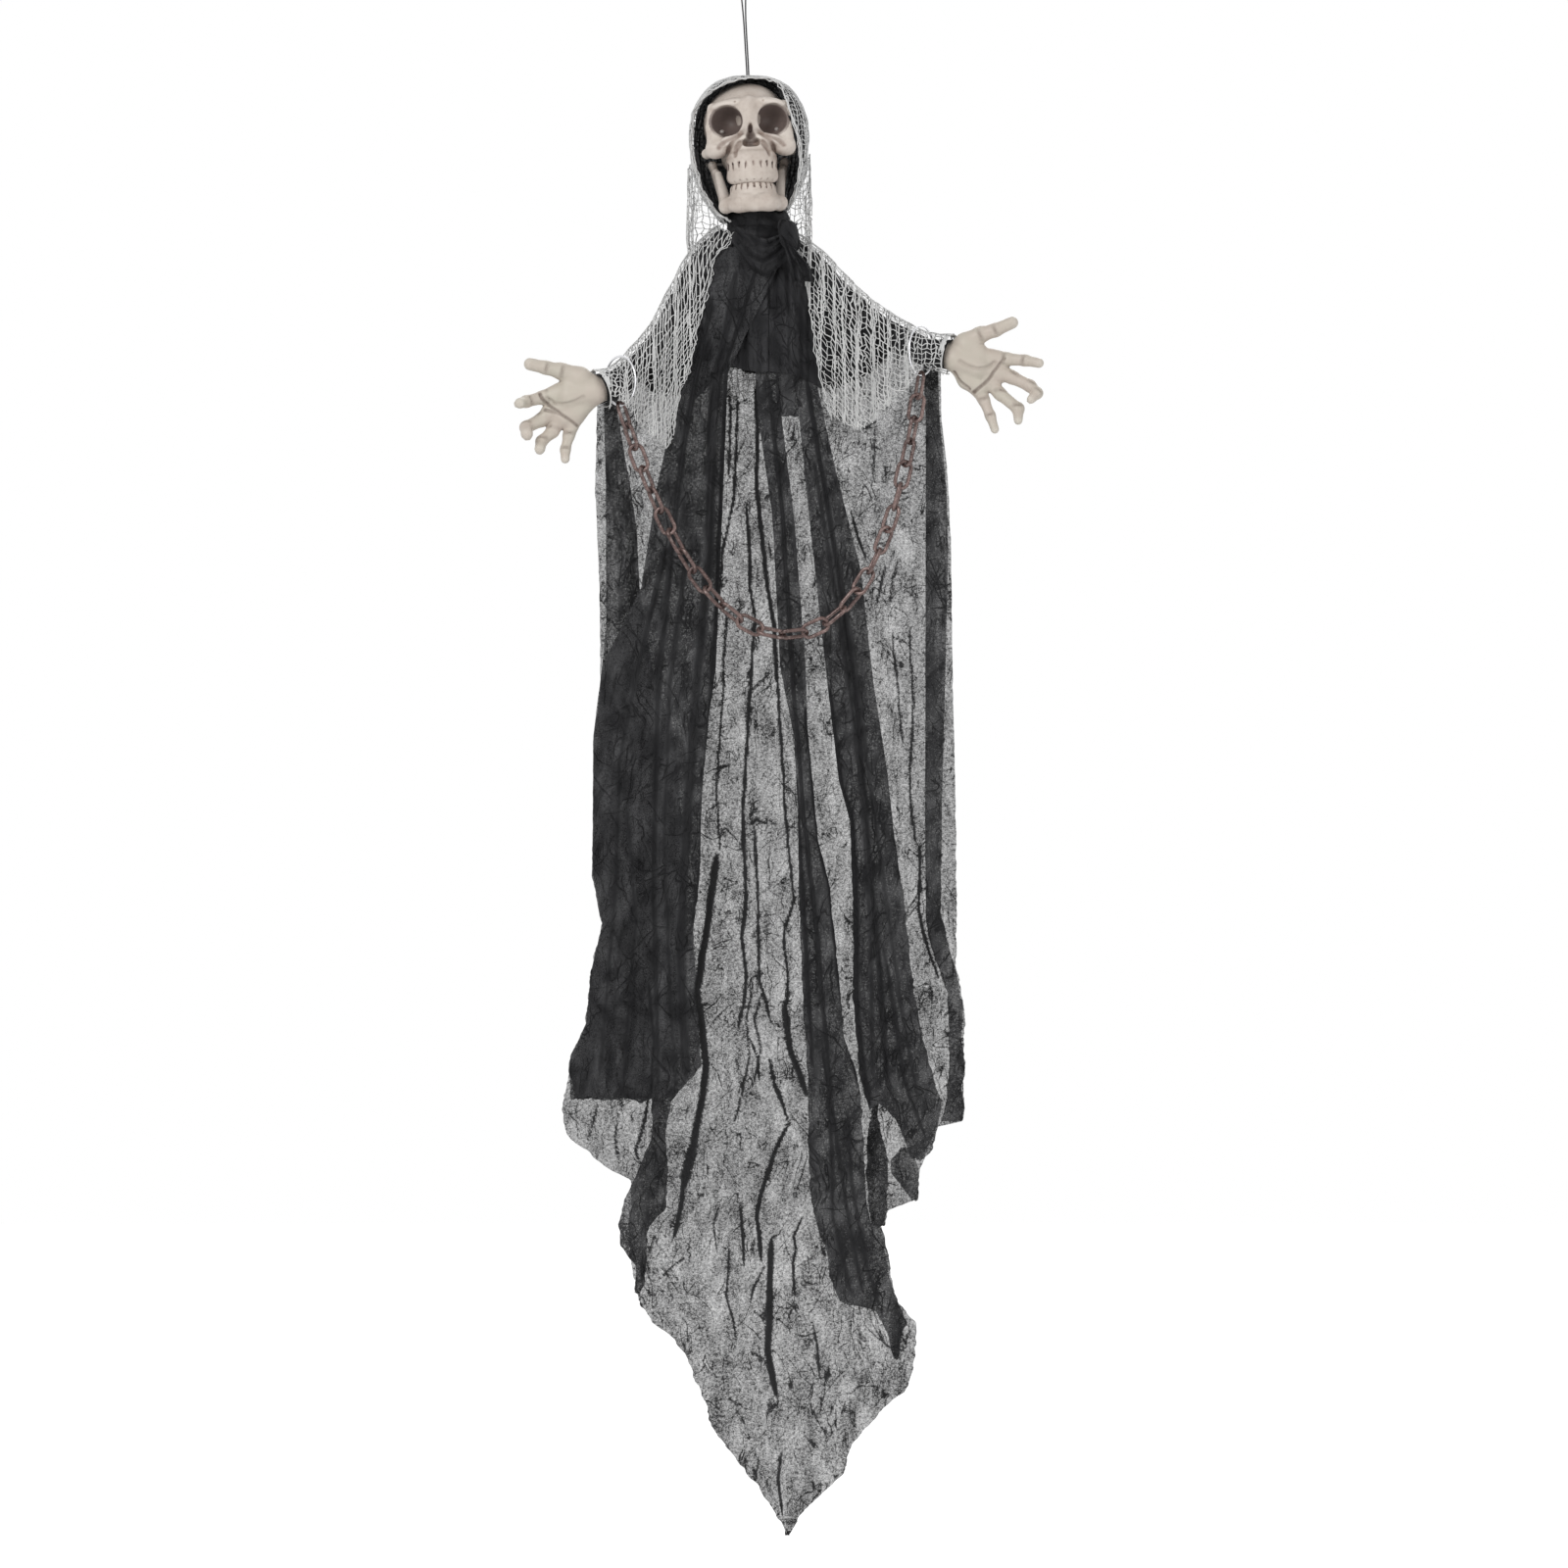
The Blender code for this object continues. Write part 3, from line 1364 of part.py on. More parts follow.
back_panel_shares = (
    # share of the drop, left edge, right edge, both as shares of the robe's half width
    (0.000, -0.74, 1.00),
    (0.080, -0.76, 1.00),
    (0.230, -0.765, 1.02),
    (0.400, -0.78, 1.04),
    (0.520, -0.80, 1.05),
    (0.600, -0.84, 1.08),
    (0.655, -0.91, 1.02),
    (0.690, -0.60, 0.84),
    (0.730, -0.66, 0.74),
    (0.780, -0.58, 0.68),
    (0.820, -0.42, 0.82),
    (0.850, -0.31, 0.83),
    (0.890, -0.21, 0.72),
    (0.940, -0.03, 0.52),
    (0.985, 0.16, 0.28),
    (1.000, 0.195, 0.215),
)
left_margin_shares = (
    (0.000, -0.745, -0.62),
    (0.100, -0.765, -0.57),
    (0.250, -0.765, -0.54),
    (0.450, -0.775, -0.40),
    (0.650, -0.79, -0.30),
    (0.850, -0.83, -0.30),
    (0.950, -0.92, -0.42),
    (1.000, -0.88, -0.58),
)
left_front_shares = (
    (0.000, -0.14, 0.185),
    (0.122, -0.315, -0.08),
    (0.150, -0.33, -0.10),
    (0.275, -0.465, -0.13),
    (0.390, -0.54, -0.15),
    (0.484, -0.74, -0.16),
    (0.630, -0.785, -0.23),
    (0.733, -0.79, -0.25),
    (0.791, -0.74, -0.27),
    (0.846, -0.80, -0.275),
    (0.963, -0.91, -0.285),
    (1.000, -0.88, -0.38),
)
strip_shares = (
    (0.000, 0.05, 0.17),
    (0.155, 0.125, 0.235),
    (0.330, 0.155, 0.275),
    (0.400, 0.22, 0.31),
    (0.510, 0.26, 0.37),
    (0.700, 0.30, 0.50),
    (0.780, 0.305, 0.575),
    (0.900, 0.33, 0.61),
    (0.940, 0.42, 0.64),
    (1.000, 0.62, 0.74),
)
right_front_shares = (
    (0.000, 0.24, 0.33),
    (0.150, 0.31, 0.50),
    (0.290, 0.36, 0.62),
    (0.450, 0.44, 0.69),
    (0.590, 0.53, 0.76),
    (0.750, 0.565, 0.86),
    (0.850, 0.575, 0.94),
    (0.925, 0.60, 0.965),
    (1.000, 0.68, 0.86),
)
right_margin_shares = (
    (0.000, 0.92, 1.00),
    (0.200, 0.90, 1.02),
    (0.400, 0.90, 1.04),
    (0.600, 0.92, 1.05),
    (0.750, 0.97, 1.10),
    (0.900, 1.02, 1.11),
    (1.000, 1.00, 1.12),
)
back_tip = -1.5930
margin_gap = 0.0080
left_margin_drop = 0.735
right_margin_drop = 0.760
left_front_drop = 0.858
strip_drop = 1.010
right_front_drop = 0.830
back_fold_depth = 0.0050
left_margin_fold_depth = 0.0030
right_margin_fold_depth = 0.0020
left_front_fold_depth = 0.0040
strip_fold_depth = 0.0020
right_front_fold_depth = 0.0030


def margin_lane(x, z):
    """A folded margin lies in front of the back panel, and touches it at the top."""
    arm = arm_at(on_arm(x))
    hang = arm.z - 1.35 * sleeve_radius(arm.x) - z
    away = cloth * 2 * ease(hang / overrun) + margin_gap * ease(hang / yoke_skirt)
    return back_lane(x, z) - cloth - fit_gap - away


def make_robe():
    """The gauze: the back panel with its two folded margins, and three pieces in front."""
    top = shoulder_height - yoke_skirt * 0.35
    left_top = shoulder_height - left_fall - sleeve_radius(-left_reach) * 1.35
    right_top = shoulder_height - right_fall - sleeve_radius(right_reach) * 1.35
    chest_top = shoulder_height - overrun
    hem_top = shoulder_height - 0.93 * yoke_skirt
    hang = Hanging("back_panel", top, top - back_tip, back_panel_shares, back_lane)
    panel(hang, 4, back_fold_depth, 0.4, 14, 25, 0.3)
    hang = Hanging("left_margin", left_top, left_margin_drop, left_margin_shares, margin_lane)
    panel(hang, 1, left_margin_fold_depth, 1.1, 5, 16)
    hang = Hanging("right_margin", right_top, right_margin_drop, right_margin_shares, margin_lane)
    panel(hang, 1, right_margin_fold_depth, 2.0, 3, 16)
    hang = Hanging("left_front_panel", chest_top, left_front_drop, left_front_shares, front_lane_at)
    panel(hang, 2, left_front_fold_depth, 0.9, 10, 18)
    hang = Hanging("centre_strip", hem_top, strip_drop, strip_shares, strip_lane)
    panel(hang, 1, strip_fold_depth, 2.5, 3, 20)
    hang = Hanging("right_front_panel", hem_top, right_front_drop, right_front_shares, strip_lane)
    panel(hang, 2, right_front_fold_depth, 0.2, 6, 18)


def main():
    clear_scene()
    head = bpy.data.objects.new("head", None)
    COLLECTION.objects.link(head)
    head.matrix_world = head_place()
    bpy.context.view_layer.update()
    make_skull(head, neck_axis())
    make_jaw(head)
    make_jaw_rod(head)
    for side in (-1, 1):
        make_bulb(head, side)
        make_hand(side)
        make_ring(side)
    make_crown_parts()
    make_neck()
    make_arm_wire()
    make_leads()
    make_battery_box()
    make_chain()
    lining_top = make_hood()
    make_yoke_and_net(lining_top)
    make_scarf()
    make_robe()
    # All but the cord is set over to the figure's own middle
    for obj in [*COLLECTION.objects, *CUTTERS.objects]:
        if obj.parent is None:
            obj.matrix_world = Matrix.Translation((figure_side, 0, 0)) @ obj.matrix_world
    make_cord()


main()
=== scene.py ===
"""Looks of the hanging ghost: plastic skull and hands, net, gauze, chain, light and camera."""

import math

import bpy
import numpy as np
from mathutils import Matrix, Vector


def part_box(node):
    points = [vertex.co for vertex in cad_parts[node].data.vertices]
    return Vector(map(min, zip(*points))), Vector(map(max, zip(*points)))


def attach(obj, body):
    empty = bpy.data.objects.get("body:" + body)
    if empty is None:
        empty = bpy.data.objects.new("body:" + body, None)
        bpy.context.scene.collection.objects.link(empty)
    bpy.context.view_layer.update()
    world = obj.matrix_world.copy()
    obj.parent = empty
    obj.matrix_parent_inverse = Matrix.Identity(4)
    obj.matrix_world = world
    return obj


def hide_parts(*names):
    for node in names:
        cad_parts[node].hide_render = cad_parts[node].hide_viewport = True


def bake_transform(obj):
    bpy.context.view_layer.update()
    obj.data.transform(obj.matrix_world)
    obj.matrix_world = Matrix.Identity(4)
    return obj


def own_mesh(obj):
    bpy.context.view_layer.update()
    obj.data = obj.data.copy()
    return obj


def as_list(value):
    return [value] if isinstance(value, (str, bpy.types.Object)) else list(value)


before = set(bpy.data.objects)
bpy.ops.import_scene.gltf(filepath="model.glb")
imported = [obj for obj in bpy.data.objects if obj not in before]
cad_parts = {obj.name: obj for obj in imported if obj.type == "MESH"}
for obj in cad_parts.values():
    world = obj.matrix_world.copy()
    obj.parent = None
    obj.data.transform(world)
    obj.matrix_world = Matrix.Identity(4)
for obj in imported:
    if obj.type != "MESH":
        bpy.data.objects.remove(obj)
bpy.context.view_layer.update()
scene = bpy.context.scene

# Sizes shared with the CAD source, in metres
FIGURE_SIDE = 0.0055
# The photograph's pixels: the column of the scene's middle, the rows that its top lies above the
# upper edge, and the scale
MIDDLE_PX, ABOVE_PX, PX_PER_M = 757.5, 25, 1000
SHOULDER_HEIGHT = -0.290
SHOULDER_RADIUS = 0.034
LEFT_REACH, RIGHT_REACH = 0.150, 0.205
LEFT_FALL, RIGHT_FALL = 0.136, 0.101
ARM_FORWARD = 0.084
RING_RADIUS, RING_WIRE = 0.025, 0.0025
YOKE_SKIRT = 0.118
CLOTH = 0.0012
FIT_GAP = 0.0003
OVERRUN = 0.010
HOOD_RADIUS, HOOD_DROP, HOOD_RATIO, HOOD_SIDE = 0.056, 0.147, 1.20, 0.0015
NET_HOOD_OFFSET = 0.0050
NET_OFFSET = 0.0055
FRONT_LOW, BACK_LOW = -0.042, 0.012
HEAD = 0.100
HAND = 0.100


# Noise and small maths, all on arrays
def ease(value):
    value = np.clip(value, 0.0, 1.0)
    return value * value * (3 - 2 * value)


def lattice(seed):
    return np.random.default_rng(seed).uniform(-1, 1, (128, 128))


def noise2(x, y, seed):
    """Smooth noise between -1 and 1."""
    table = lattice(seed)
    x, y = np.asarray(x, float), np.asarray(y, float)
    i, j = np.floor(x).astype(int), np.floor(y).astype(int)
    u, v = ease(x - i), ease(y - j)
    a, b = table[i % 128, j % 128], table[(i + 1) % 128, j % 128]
    c, d = table[i % 128, (j + 1) % 128], table[(i + 1) % 128, (j + 1) % 128]
    return (a * (1 - u) + b * u) * (1 - v) + (c * (1 - u) + d * u) * v


def fractal(x, y, seed, octaves=3):
    total, size = 0.0, 1.0
    for k in range(octaves):
        total = total + size * noise2(x * 2**k, y * 2**k, seed + k)
        size *= 0.5
    return total


def facets(x, y, seed):
    """Distance to the nearest and second nearest of scattered points, one to each unit square."""
    rng = np.random.default_rng(seed)
    px, py = rng.uniform(0, 1, (64, 64)), rng.uniform(0, 1, (64, 64))
    i, j = np.floor(x).astype(int), np.floor(y).astype(int)
    first = np.full(np.shape(x), 9.0)
    second = np.full(np.shape(x), 9.0)
    for di in (-1, 0, 1):
        for dj in (-1, 0, 1):
            a, b = i + di, j + dj
            away = np.hypot(a + px[a % 64, b % 64] - x, b + py[a % 64, b % 64] - y)
            second = np.minimum(second, np.maximum(first, away))
            first = np.minimum(first, away)
    return first, second


def table_at(rows, at, column=1):
    return np.interp(at, [row[0] for row in rows], [row[column] for row in rows])


def smooth_path(points, count):
    """A Catmull-Rom curve through the points, read at even steps of its length."""
    points = np.array(points, float)
    padded = np.vstack([2 * points[0] - points[1], points, 2 * points[-1] - points[-2]])
    dense = []
    for k in range(1, len(padded) - 2):
        a, b, c, d = padded[k - 1 : k + 3]
        for t in np.arange(16) / 16:
            dense.append(
                0.5
                * (
                    2 * b
                    + (c - a) * t
                    + (2 * a - 5 * b + 4 * c - d) * t**2
                    + (3 * b - a - 3 * c + d) * t**3
                )
            )
    dense = np.array([*dense, points[-1]])
    run = np.concatenate([[0], np.cumsum(np.linalg.norm(np.diff(dense, axis=0), axis=1))])
    even = np.linspace(0, run[-1], count)
    return np.stack([np.interp(even, run, dense[:, k]) for k in range(3)], axis=1)


# Materials
class Nodes:
    """Short calls for building a material's nodes."""

    def __init__(self, name):
        self.material = bpy.data.materials.new(name)
        self.material.use_nodes = True
        self.tree = self.material.node_tree
        self.shader = self.tree.nodes["Principled BSDF"]

    def put(self, socket, value):
        if isinstance(value, bpy.types.NodeSocket):
            self.tree.links.new(value, socket)
        else:
            socket.default_value = value

    def add(self, kind, settings=None, **inputs):
        node = self.tree.nodes.new(kind)
        for key, value in (settings or {}).items():
            setattr(node, key, value)
        for key, value in inputs.items():
            self.put(node.inputs[key.replace("_", " ")], value)
        return node

    def math(self, operation, a, b=0.0, clamp=False):
        node = self.add("ShaderNodeMath", {"operation": operation, "use_clamp": clamp})
        self.put(node.inputs[0], a)
        self.put(node.inputs[1], b)
        return node.outputs[0]

    def mix(self, factor, a, b):
        node = self.add("ShaderNodeMix", {"data_type": "RGBA"})
        self.put(node.inputs[0], factor)
        self.put(node.inputs[6], a)
        self.put(node.inputs[7], b)
        return node.outputs[2]

    def ramp(self, value, low, high, start=0.0, end=1.0):
        node = self.add("ShaderNodeMapRange", {"clamp": True})
        for socket, number in zip(node.inputs, (value, low, high, start, end)):
            self.put(socket, number)
        return node.outputs[0]

    def attribute(self, name):
        return self.add("ShaderNodeAttribute", {"attribute_name": name}).outputs["Fac"]

    def place(self, scale=(1, 1, 1), uv=False):
        source = self.add("ShaderNodeTexCoord").outputs["UV" if uv else "Object"]
        node = self.add("ShaderNodeMapping")
        self.put(node.inputs[0], source)
        node.inputs["Scale"].default_value = scale
        return node.outputs[0]

    def noise(self, place, scale, detail=2.0, roughness=0.5):
        node = self.add("ShaderNodeTexNoise", Scale=scale, Detail=detail, Roughness=roughness)
        self.put(node.inputs["Vector"], place)
        return node.outputs["Fac"]

    def warp(self, place, scale, amount):
        """The place, moved about by coloured noise."""
        node = self.add("ShaderNodeTexNoise", Scale=scale, Detail=1.0)
        self.put(node.inputs["Vector"], place)
        moved = self.add("ShaderNodeVectorMath", {"operation": "MULTIPLY_ADD"})
        self.put(moved.inputs[0], node.outputs["Color"])
        moved.inputs[1].default_value = (amount, amount, amount)
        self.put(moved.inputs[2], place)
        return moved.outputs[0]

    def bump(self, height, strength, distance):
        node = self.add("ShaderNodeBump", Strength=strength, Distance=distance, Height=height)
        self.put(self.shader.inputs["Normal"], node.outputs[0])

    def set(self, **inputs):
        for key, value in inputs.items():
            self.put(self.shader.inputs[key.replace("_", " ")], value)
        return self.material


def rgb(r, g, b):
    return (r, g, b, 1.0)


def bone_material():
    n = Nodes("bone_plastic")
    place = n.place()
    broad = n.noise(place, 28.0, 3.0)
    fine = n.noise(place, 260.0, 4.0, 0.65)
    pits = n.noise(place, 900.0, 2.0, 0.6)
    colour = n.mix(n.ramp(broad, 0.35, 0.68), rgb(0.47, 0.405, 0.355), rgb(0.60, 0.54, 0.485))
    colour = n.mix(n.ramp(fine, 0.50, 0.75, 0.0, 0.40), colour, rgb(0.34, 0.27, 0.235))
    # painted shade: a dark brown laid into the recesses, broken up by the fine noise
    recess = n.attribute("recess")
    recess_shade = n.math("MULTIPLY", n.ramp(recess, 0.04, 0.72), n.ramp(fine, 0.2, 0.7, 0.7, 1.0), clamp=True)
    colour = n.mix(n.ramp(recess_shade, 0.0, 1.0), colour, rgb(0.20, 0.145, 0.12))
    # painted highlight: a paler tone on the raised, open parts
    edge = n.ramp(n.attribute("edge"), 0.0, 1.0, 0.0, 0.45)
    colour = n.mix(edge, colour, rgb(0.80, 0.74, 0.68))
    # painted shade: a dark brown where the dark attribute marks the deep sockets, the nose hole, the mouth
    # behind the teeth and the teeth gaps
    colour = n.mix(
        n.attribute("dark"), colour, n.mix(broad, rgb(0.105, 0.080, 0.072), rgb(0.20, 0.155, 0.14))
    )
    roughness = n.ramp(fine, 0.3, 0.7, 0.42, 0.58)
    n.bump(n.math("ADD", n.math("MULTIPLY", pits, 0.35), fine), 0.22, 0.0006)
    n.shader.inputs["Specular IOR Level"].default_value = 0.35
    return n.set(Base_Color=colour, Roughness=roughness)


def hand_material():
    n = Nodes("hand_plastic")
    place = n.place()
    broad = n.noise(place, 34.0, 2.0)
    fine = n.noise(place, 300.0, 4.0, 0.6)
    colour = n.mix(n.ramp(broad, 0.35, 0.7), rgb(0.50, 0.435, 0.38), rgb(0.50, 0.465, 0.395))
    # painted shade: a dark brown in the palm creases, the finger joints and the recesses
    recess = n.attribute("recess")
    colour = n.mix(n.ramp(recess, 0.0, 1.0, 0.0, 0.9), colour, rgb(0.15, 0.115, 0.095))
    # painted highlight: a paler tone on the raised, open parts
    colour = n.mix(n.ramp(n.attribute("edge"), 0.0, 1.0, 0.0, 0.5), colour, rgb(0.68, 0.65, 0.58))
    n.bump(fine, 0.18, 0.0006)
    n.shader.inputs["Specular IOR Level"].default_value = 0.35
    return n.set(Base_Color=colour, Roughness=n.ramp(fine, 0.3, 0.7, 0.42, 0.55))


def rust_with_highlight_material():
    n = Nodes("rust_plastic")
    place = n.place()
    broad = n.noise(place, 60.0, 3.0)
    fine = n.noise(place, 420.0, 4.0, 0.6)
    colour = n.mix(n.ramp(broad, 0.35, 0.65), rgb(0.066, 0.038, 0.034), rgb(0.165, 0.108, 0.098))
    # painted highlight: pale patches from the fine noise over the rust brown
    colour = n.mix(n.ramp(fine, 0.54, 0.74, 0.0, 0.6), colour, rgb(0.44, 0.36, 0.335))
    n.bump(fine, 0.3, 0.0005)
    n.shader.inputs["Metallic"].default_value = 0.4
    return n.set(Base_Color=colour, Roughness=n.ramp(fine, 0.3, 0.7, 0.20, 0.36))


def steel_material():
    n = Nodes("bright_steel")
    place = n.place()
    fine = n.noise(place, 500.0, 3.0)
    colour = n.mix(fine, rgb(0.62, 0.62, 0.64), rgb(0.80, 0.80, 0.82))
    n.shader.inputs["Metallic"].default_value = 1.0
    n.bump(fine, 0.1, 0.0003)
    return n.set(Base_Color=colour, Roughness=n.ramp(fine, 0.3, 0.7, 0.16, 0.28))


def plastic_material(name, dark, light, roughness):
    n = Nodes(name)
    fine = n.noise(n.place(), 700.0, 3.0)
    n.bump(fine, 0.15, 0.0003)
    low, high = roughness
    return n.set(Base_Color=n.mix(fine, dark, light), Roughness=n.ramp(fine, 0.3, 0.7, low, high))


def cord_material():
    n = Nodes("black_cord")
    place = n.place((1, 1, 1))
    wave = n.add("ShaderNodeTexWave", {"bands_direction": "DIAGONAL"}, Scale=520.0, Distortion=1.0)
    n.put(wave.inputs["Vector"], place)
    n.bump(wave.outputs["Fac"], 0.6, 0.0004)
    colour = n.mix(wave.outputs["Fac"], rgb(0.010, 0.010, 0.011), rgb(0.035, 0.035, 0.037))
    return n.set(Base_Color=colour, Roughness=n.ramp(wave.outputs["Fac"], 0, 1, 0.6, 0.85))


def thread_material():
    n = Nodes("white_net")
    place = n.place()
    fine = n.noise(place, 900.0, 3.0, 0.7)
    broad = n.noise(place, 45.0, 2.0)
    colour = n.mix(fine, rgb(0.50, 0.50, 0.495), rgb(0.80, 0.80, 0.79))
    colour = n.mix(n.ramp(broad, 0.3, 0.7, 0.0, 0.5), colour, rgb(0.56, 0.56, 0.56))
    n.bump(fine, 0.6, 0.0006)
    return n.set(Base_Color=colour, Roughness=n.ramp(fine, 0, 1, 0.75, 0.95))


def gauze_material(name, thin, dense, grain, tint):
    """Sheer crinkled gauze: a mottled weave, thin creases that run mostly down the cloth, and as many
    layers of it as the attribute says."""
    n = Nodes(name)
    place = n.place(uv=True)
    bent = n.warp(n.warp(place, 14.0, 0.030), 75.0, 0.0045)

    def tall(height, turn=0.0, source=bent):
        node = n.add("ShaderNodeMapping")
        n.put(node.inputs[0], source)
        node.inputs["Rotation"].default_value = (0, 0, math.radians(turn))
        moved = n.add("ShaderNodeMapping")
        n.put(moved.inputs[0], node.outputs[0])
        moved.inputs["Scale"].default_value = (1.0, height, 1.0)
        return moved.outputs[0]

    def lines(scale, height, turn, thin_line, low, high, mask):
        value = n.noise(tall(height, turn), scale, 1.0, 0.4)
        away = n.math("ABSOLUTE", n.math("SUBTRACT", value, 0.5))
        line = n.ramp(away, 0.0, thin_line, 1.0, 0.0)
        return n.math("MULTIPLY", line, n.ramp(n.noise(place, mask, 1.0), low, high))

    upright = lines(62.0, 0.13, 0.0, 0.016, 0.46, 0.60, 30.0)
    second = lines(120.0, 0.17, 6.0, 0.017, 0.48, 0.62, 42.0)
    slanted = lines(58.0, 0.20, 34.0, 0.012, 0.47, 0.60, 30.0)
    other = lines(54.0, 0.22, -30.0, 0.012, 0.47, 0.60, 24.0)
    flat = lines(50.0, 0.25, 78.0, 0.010, 0.54, 0.64, 33.0)
    small = lines(200.0, 0.4, 14.0, 0.040, 0.48, 0.64, 50.0)
    # painted shade over the crumple facets, which also thicken the cloth a little
    facet = n.ramp(n.noise(tall(0.42, 24.0), 70.0, 1.0, 0.5), 0.36, 0.64, -1.0, 1.0)
    facet = n.math("ADD", facet, n.ramp(n.noise(tall(0.36, -28.0), 52.0, 1.0, 0.5), 0.36, 0.64, -1.0, 1.0))
    crease = n.math("MAXIMUM", n.math("MAXIMUM", upright, second), n.math("MAXIMUM", slanted, other))
    crease = n.math("MAXIMUM", crease, flat)
    streak = n.ramp(n.noise(tall(0.07, 2.0), 95.0, 2.0), 0.3, 0.7, -1.0, 1.0)
    mottle = n.ramp(n.noise(place, 330.0, 2.0, 0.75), 0.34, 0.68, -1.0, 1.0)
    speckle = n.ramp(n.noise(place, 820.0, 1.0, 0.6), 0.36, 0.66, -1.0, 1.0)
    layers = n.attribute("layers")
    fold = n.attribute("fold")
    cover = n.math("ADD", n.ramp(layers, 0.0, 1.0, thin, dense), n.math("MULTIPLY", mottle, grain))
    cover = n.math("ADD", cover, n.math("MULTIPLY", speckle, grain * 0.8))
    cover = n.math("ADD", cover, n.math("MULTIPLY", streak, grain * 0.45))
    cover = n.math("ADD", cover, n.math("MULTIPLY", facet, grain * 0.28))
    cover = n.math("ADD", cover, n.math("MULTIPLY", crease, 0.34))
    cover = n.math("ADD", cover, n.math("MULTIPLY", small, 0.14))
    cover = n.math("ADD", cover, n.math("MULTIPLY", fold, 0.75))
    cover = n.ramp(cover, 0.02, 0.99, 0.02, 0.99)
    # The tone is the weave's own mottle and streaks, darkened by painted shade along the creases, in the
    # folds and over the crumple facets
    light = n.math("MULTIPLY", n.ramp(streak, -1, 1, 0.35, 1.0), n.ramp(mottle, -1, 1, 0.5, 1.0))
    deep = n.math("MAXIMUM", n.math("MULTIPLY", crease, 0.75), n.ramp(fold, 0.2, 0.9))
    light = n.math("MULTIPLY", light, n.math("SUBTRACT", 1.0, deep, clamp=True))
    light = n.math("MULTIPLY", light, n.ramp(facet, -1.6, 1.6, 1.0, 0.18))
    colour = n.mix(light, tint[0], tint[1])
    n.bump(n.math("ADD", crease, n.math("MULTIPLY", small, 0.5)), 0.9, 0.0022)
    n.shader.inputs["Specular IOR Level"].default_value = 0.2
    roughness = n.ramp(mottle, -1, 1, 0.72, 0.92)
    return n.set(Base_Color=colour, Roughness=roughness, Alpha=cover)


BONE = bone_material()
SKIN = hand_material()
RUST_WITH_HIGHLIGHT = rust_with_highlight_material()
STEEL = steel_material()
BLACK_PLASTIC = plastic_material(
    "black_plastic", rgb(0.012, 0.012, 0.013), rgb(0.03, 0.03, 0.03), (0.35, 0.5)
)
BULB = plastic_material("bulb_plastic", rgb(0.24, 0.215, 0.20), rgb(0.34, 0.31, 0.29), (0.08, 0.16))
CORD = cord_material()
THREAD = thread_material()
GAUZE = gauze_material(
    "sheer_gauze", 0.715, 0.985, 0.17, (rgb(0.006, 0.006, 0.007), rgb(0.085, 0.085, 0.088))
)
BLACK_CLOTH = gauze_material(
    "black_cloth", 0.90, 0.99, 0.04, (rgb(0.006, 0.006, 0.007), rgb(0.060, 0.060, 0.063))
)
DULL_STEEL = plastic_material("dull_steel", rgb(0.10, 0.09, 0.085), rgb(0.2, 0.19, 0.18), (0.4, 0.55))


# Meshes
def mesh_piece(name, verts, faces, material, body, values=None, uv=None, smooth=True):
    mesh = bpy.data.meshes.new(name)
    faces = faces if isinstance(faces, list) else np.asarray(faces).tolist()
    mesh.from_pydata(np.asarray(verts, float).tolist(), [], faces)
    if smooth:
        mesh.shade_smooth()
    for key, numbers in (values or {}).items():
        layer = mesh.attributes.new(key, "FLOAT", "POINT")
        layer.data.foreach_set("value", np.asarray(numbers, np.float32).ravel())
    if uv is not None:
        corners = np.zeros(len(mesh.loops), np.int32)
        mesh.loops.foreach_get("vertex_index", corners)
        layer = mesh.uv_layers.new(name="cloth")
        layer.data.foreach_set("uv", np.asarray(uv, np.float32)[corners].ravel())
    mesh.materials.append(material)
    obj = bpy.data.objects.new(name, mesh)
    scene.collection.objects.link(obj)
    if body:
        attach(obj, body)
    return obj


def grid_faces(rows, columns, keep=None):
    """Quads of a grid of points, row by row."""
    j, i = np.meshgrid(np.arange(rows - 1), np.arange(columns - 1), indexing="ij")
    a = (j * columns + i).ravel()
    faces = np.stack([a, a + 1, a + columns + 1, a + columns], axis=1)
    return faces if keep is None else faces[keep.ravel()]


def tubes(paths, radius, sides=6, closed=False):
    """Round tubes along many paths, as one mesh. The radius may differ from path to path."""
    all_verts, all_faces, at = [], [], 0
    radii = radius if hasattr(radius, "__len__") else [radius] * len(paths)
    for path, size in zip(paths, radii):
        path = np.asarray(path, float)
        count = len(path)
        if closed:
            along = np.roll(path, -1, 0) - np.roll(path, 1, 0)
        else:
            along = np.gradient(path, axis=0)
        along /= np.linalg.norm(along, axis=1, keepdims=True) + 1e-12
        side = np.cross(along, np.array([0.31, 0.87, 0.38]))
        side /= np.linalg.norm(side, axis=1, keepdims=True) + 1e-12
        up = np.cross(along, side)
        angle = np.linspace(0, math.tau, sides, endpoint=False)
        ring = np.cos(angle)[None, :, None] * side[:, None] + np.sin(angle)[None, :, None] * up[:, None]
        thick = np.broadcast_to(np.asarray(size, float), (count,))
        verts = path[:, None] + ring * thick[:, None, None]
        steps = count if closed else count - 1
        a = np.arange(steps)[:, None] * sides + np.arange(sides)[None]
        b = np.arange(steps)[:, None] * sides + (np.arange(sides)[None] + 1) % sides
        last = (a + sides) % (count * sides), (b + sides) % (count * sides)
        faces = np.stack([a, b, last[1], last[0]], axis=-1).reshape(-1, 4) + at
        all_verts.append(verts.reshape(-1, 3))
        all_faces.extend(faces.tolist())
        if not closed:
            all_faces.append([at + k for k in reversed(range(sides))])
            all_faces.append([at + (count - 1) * sides + k for k in range(sides)])
        at += count * sides
    return np.vstack(all_verts), all_faces


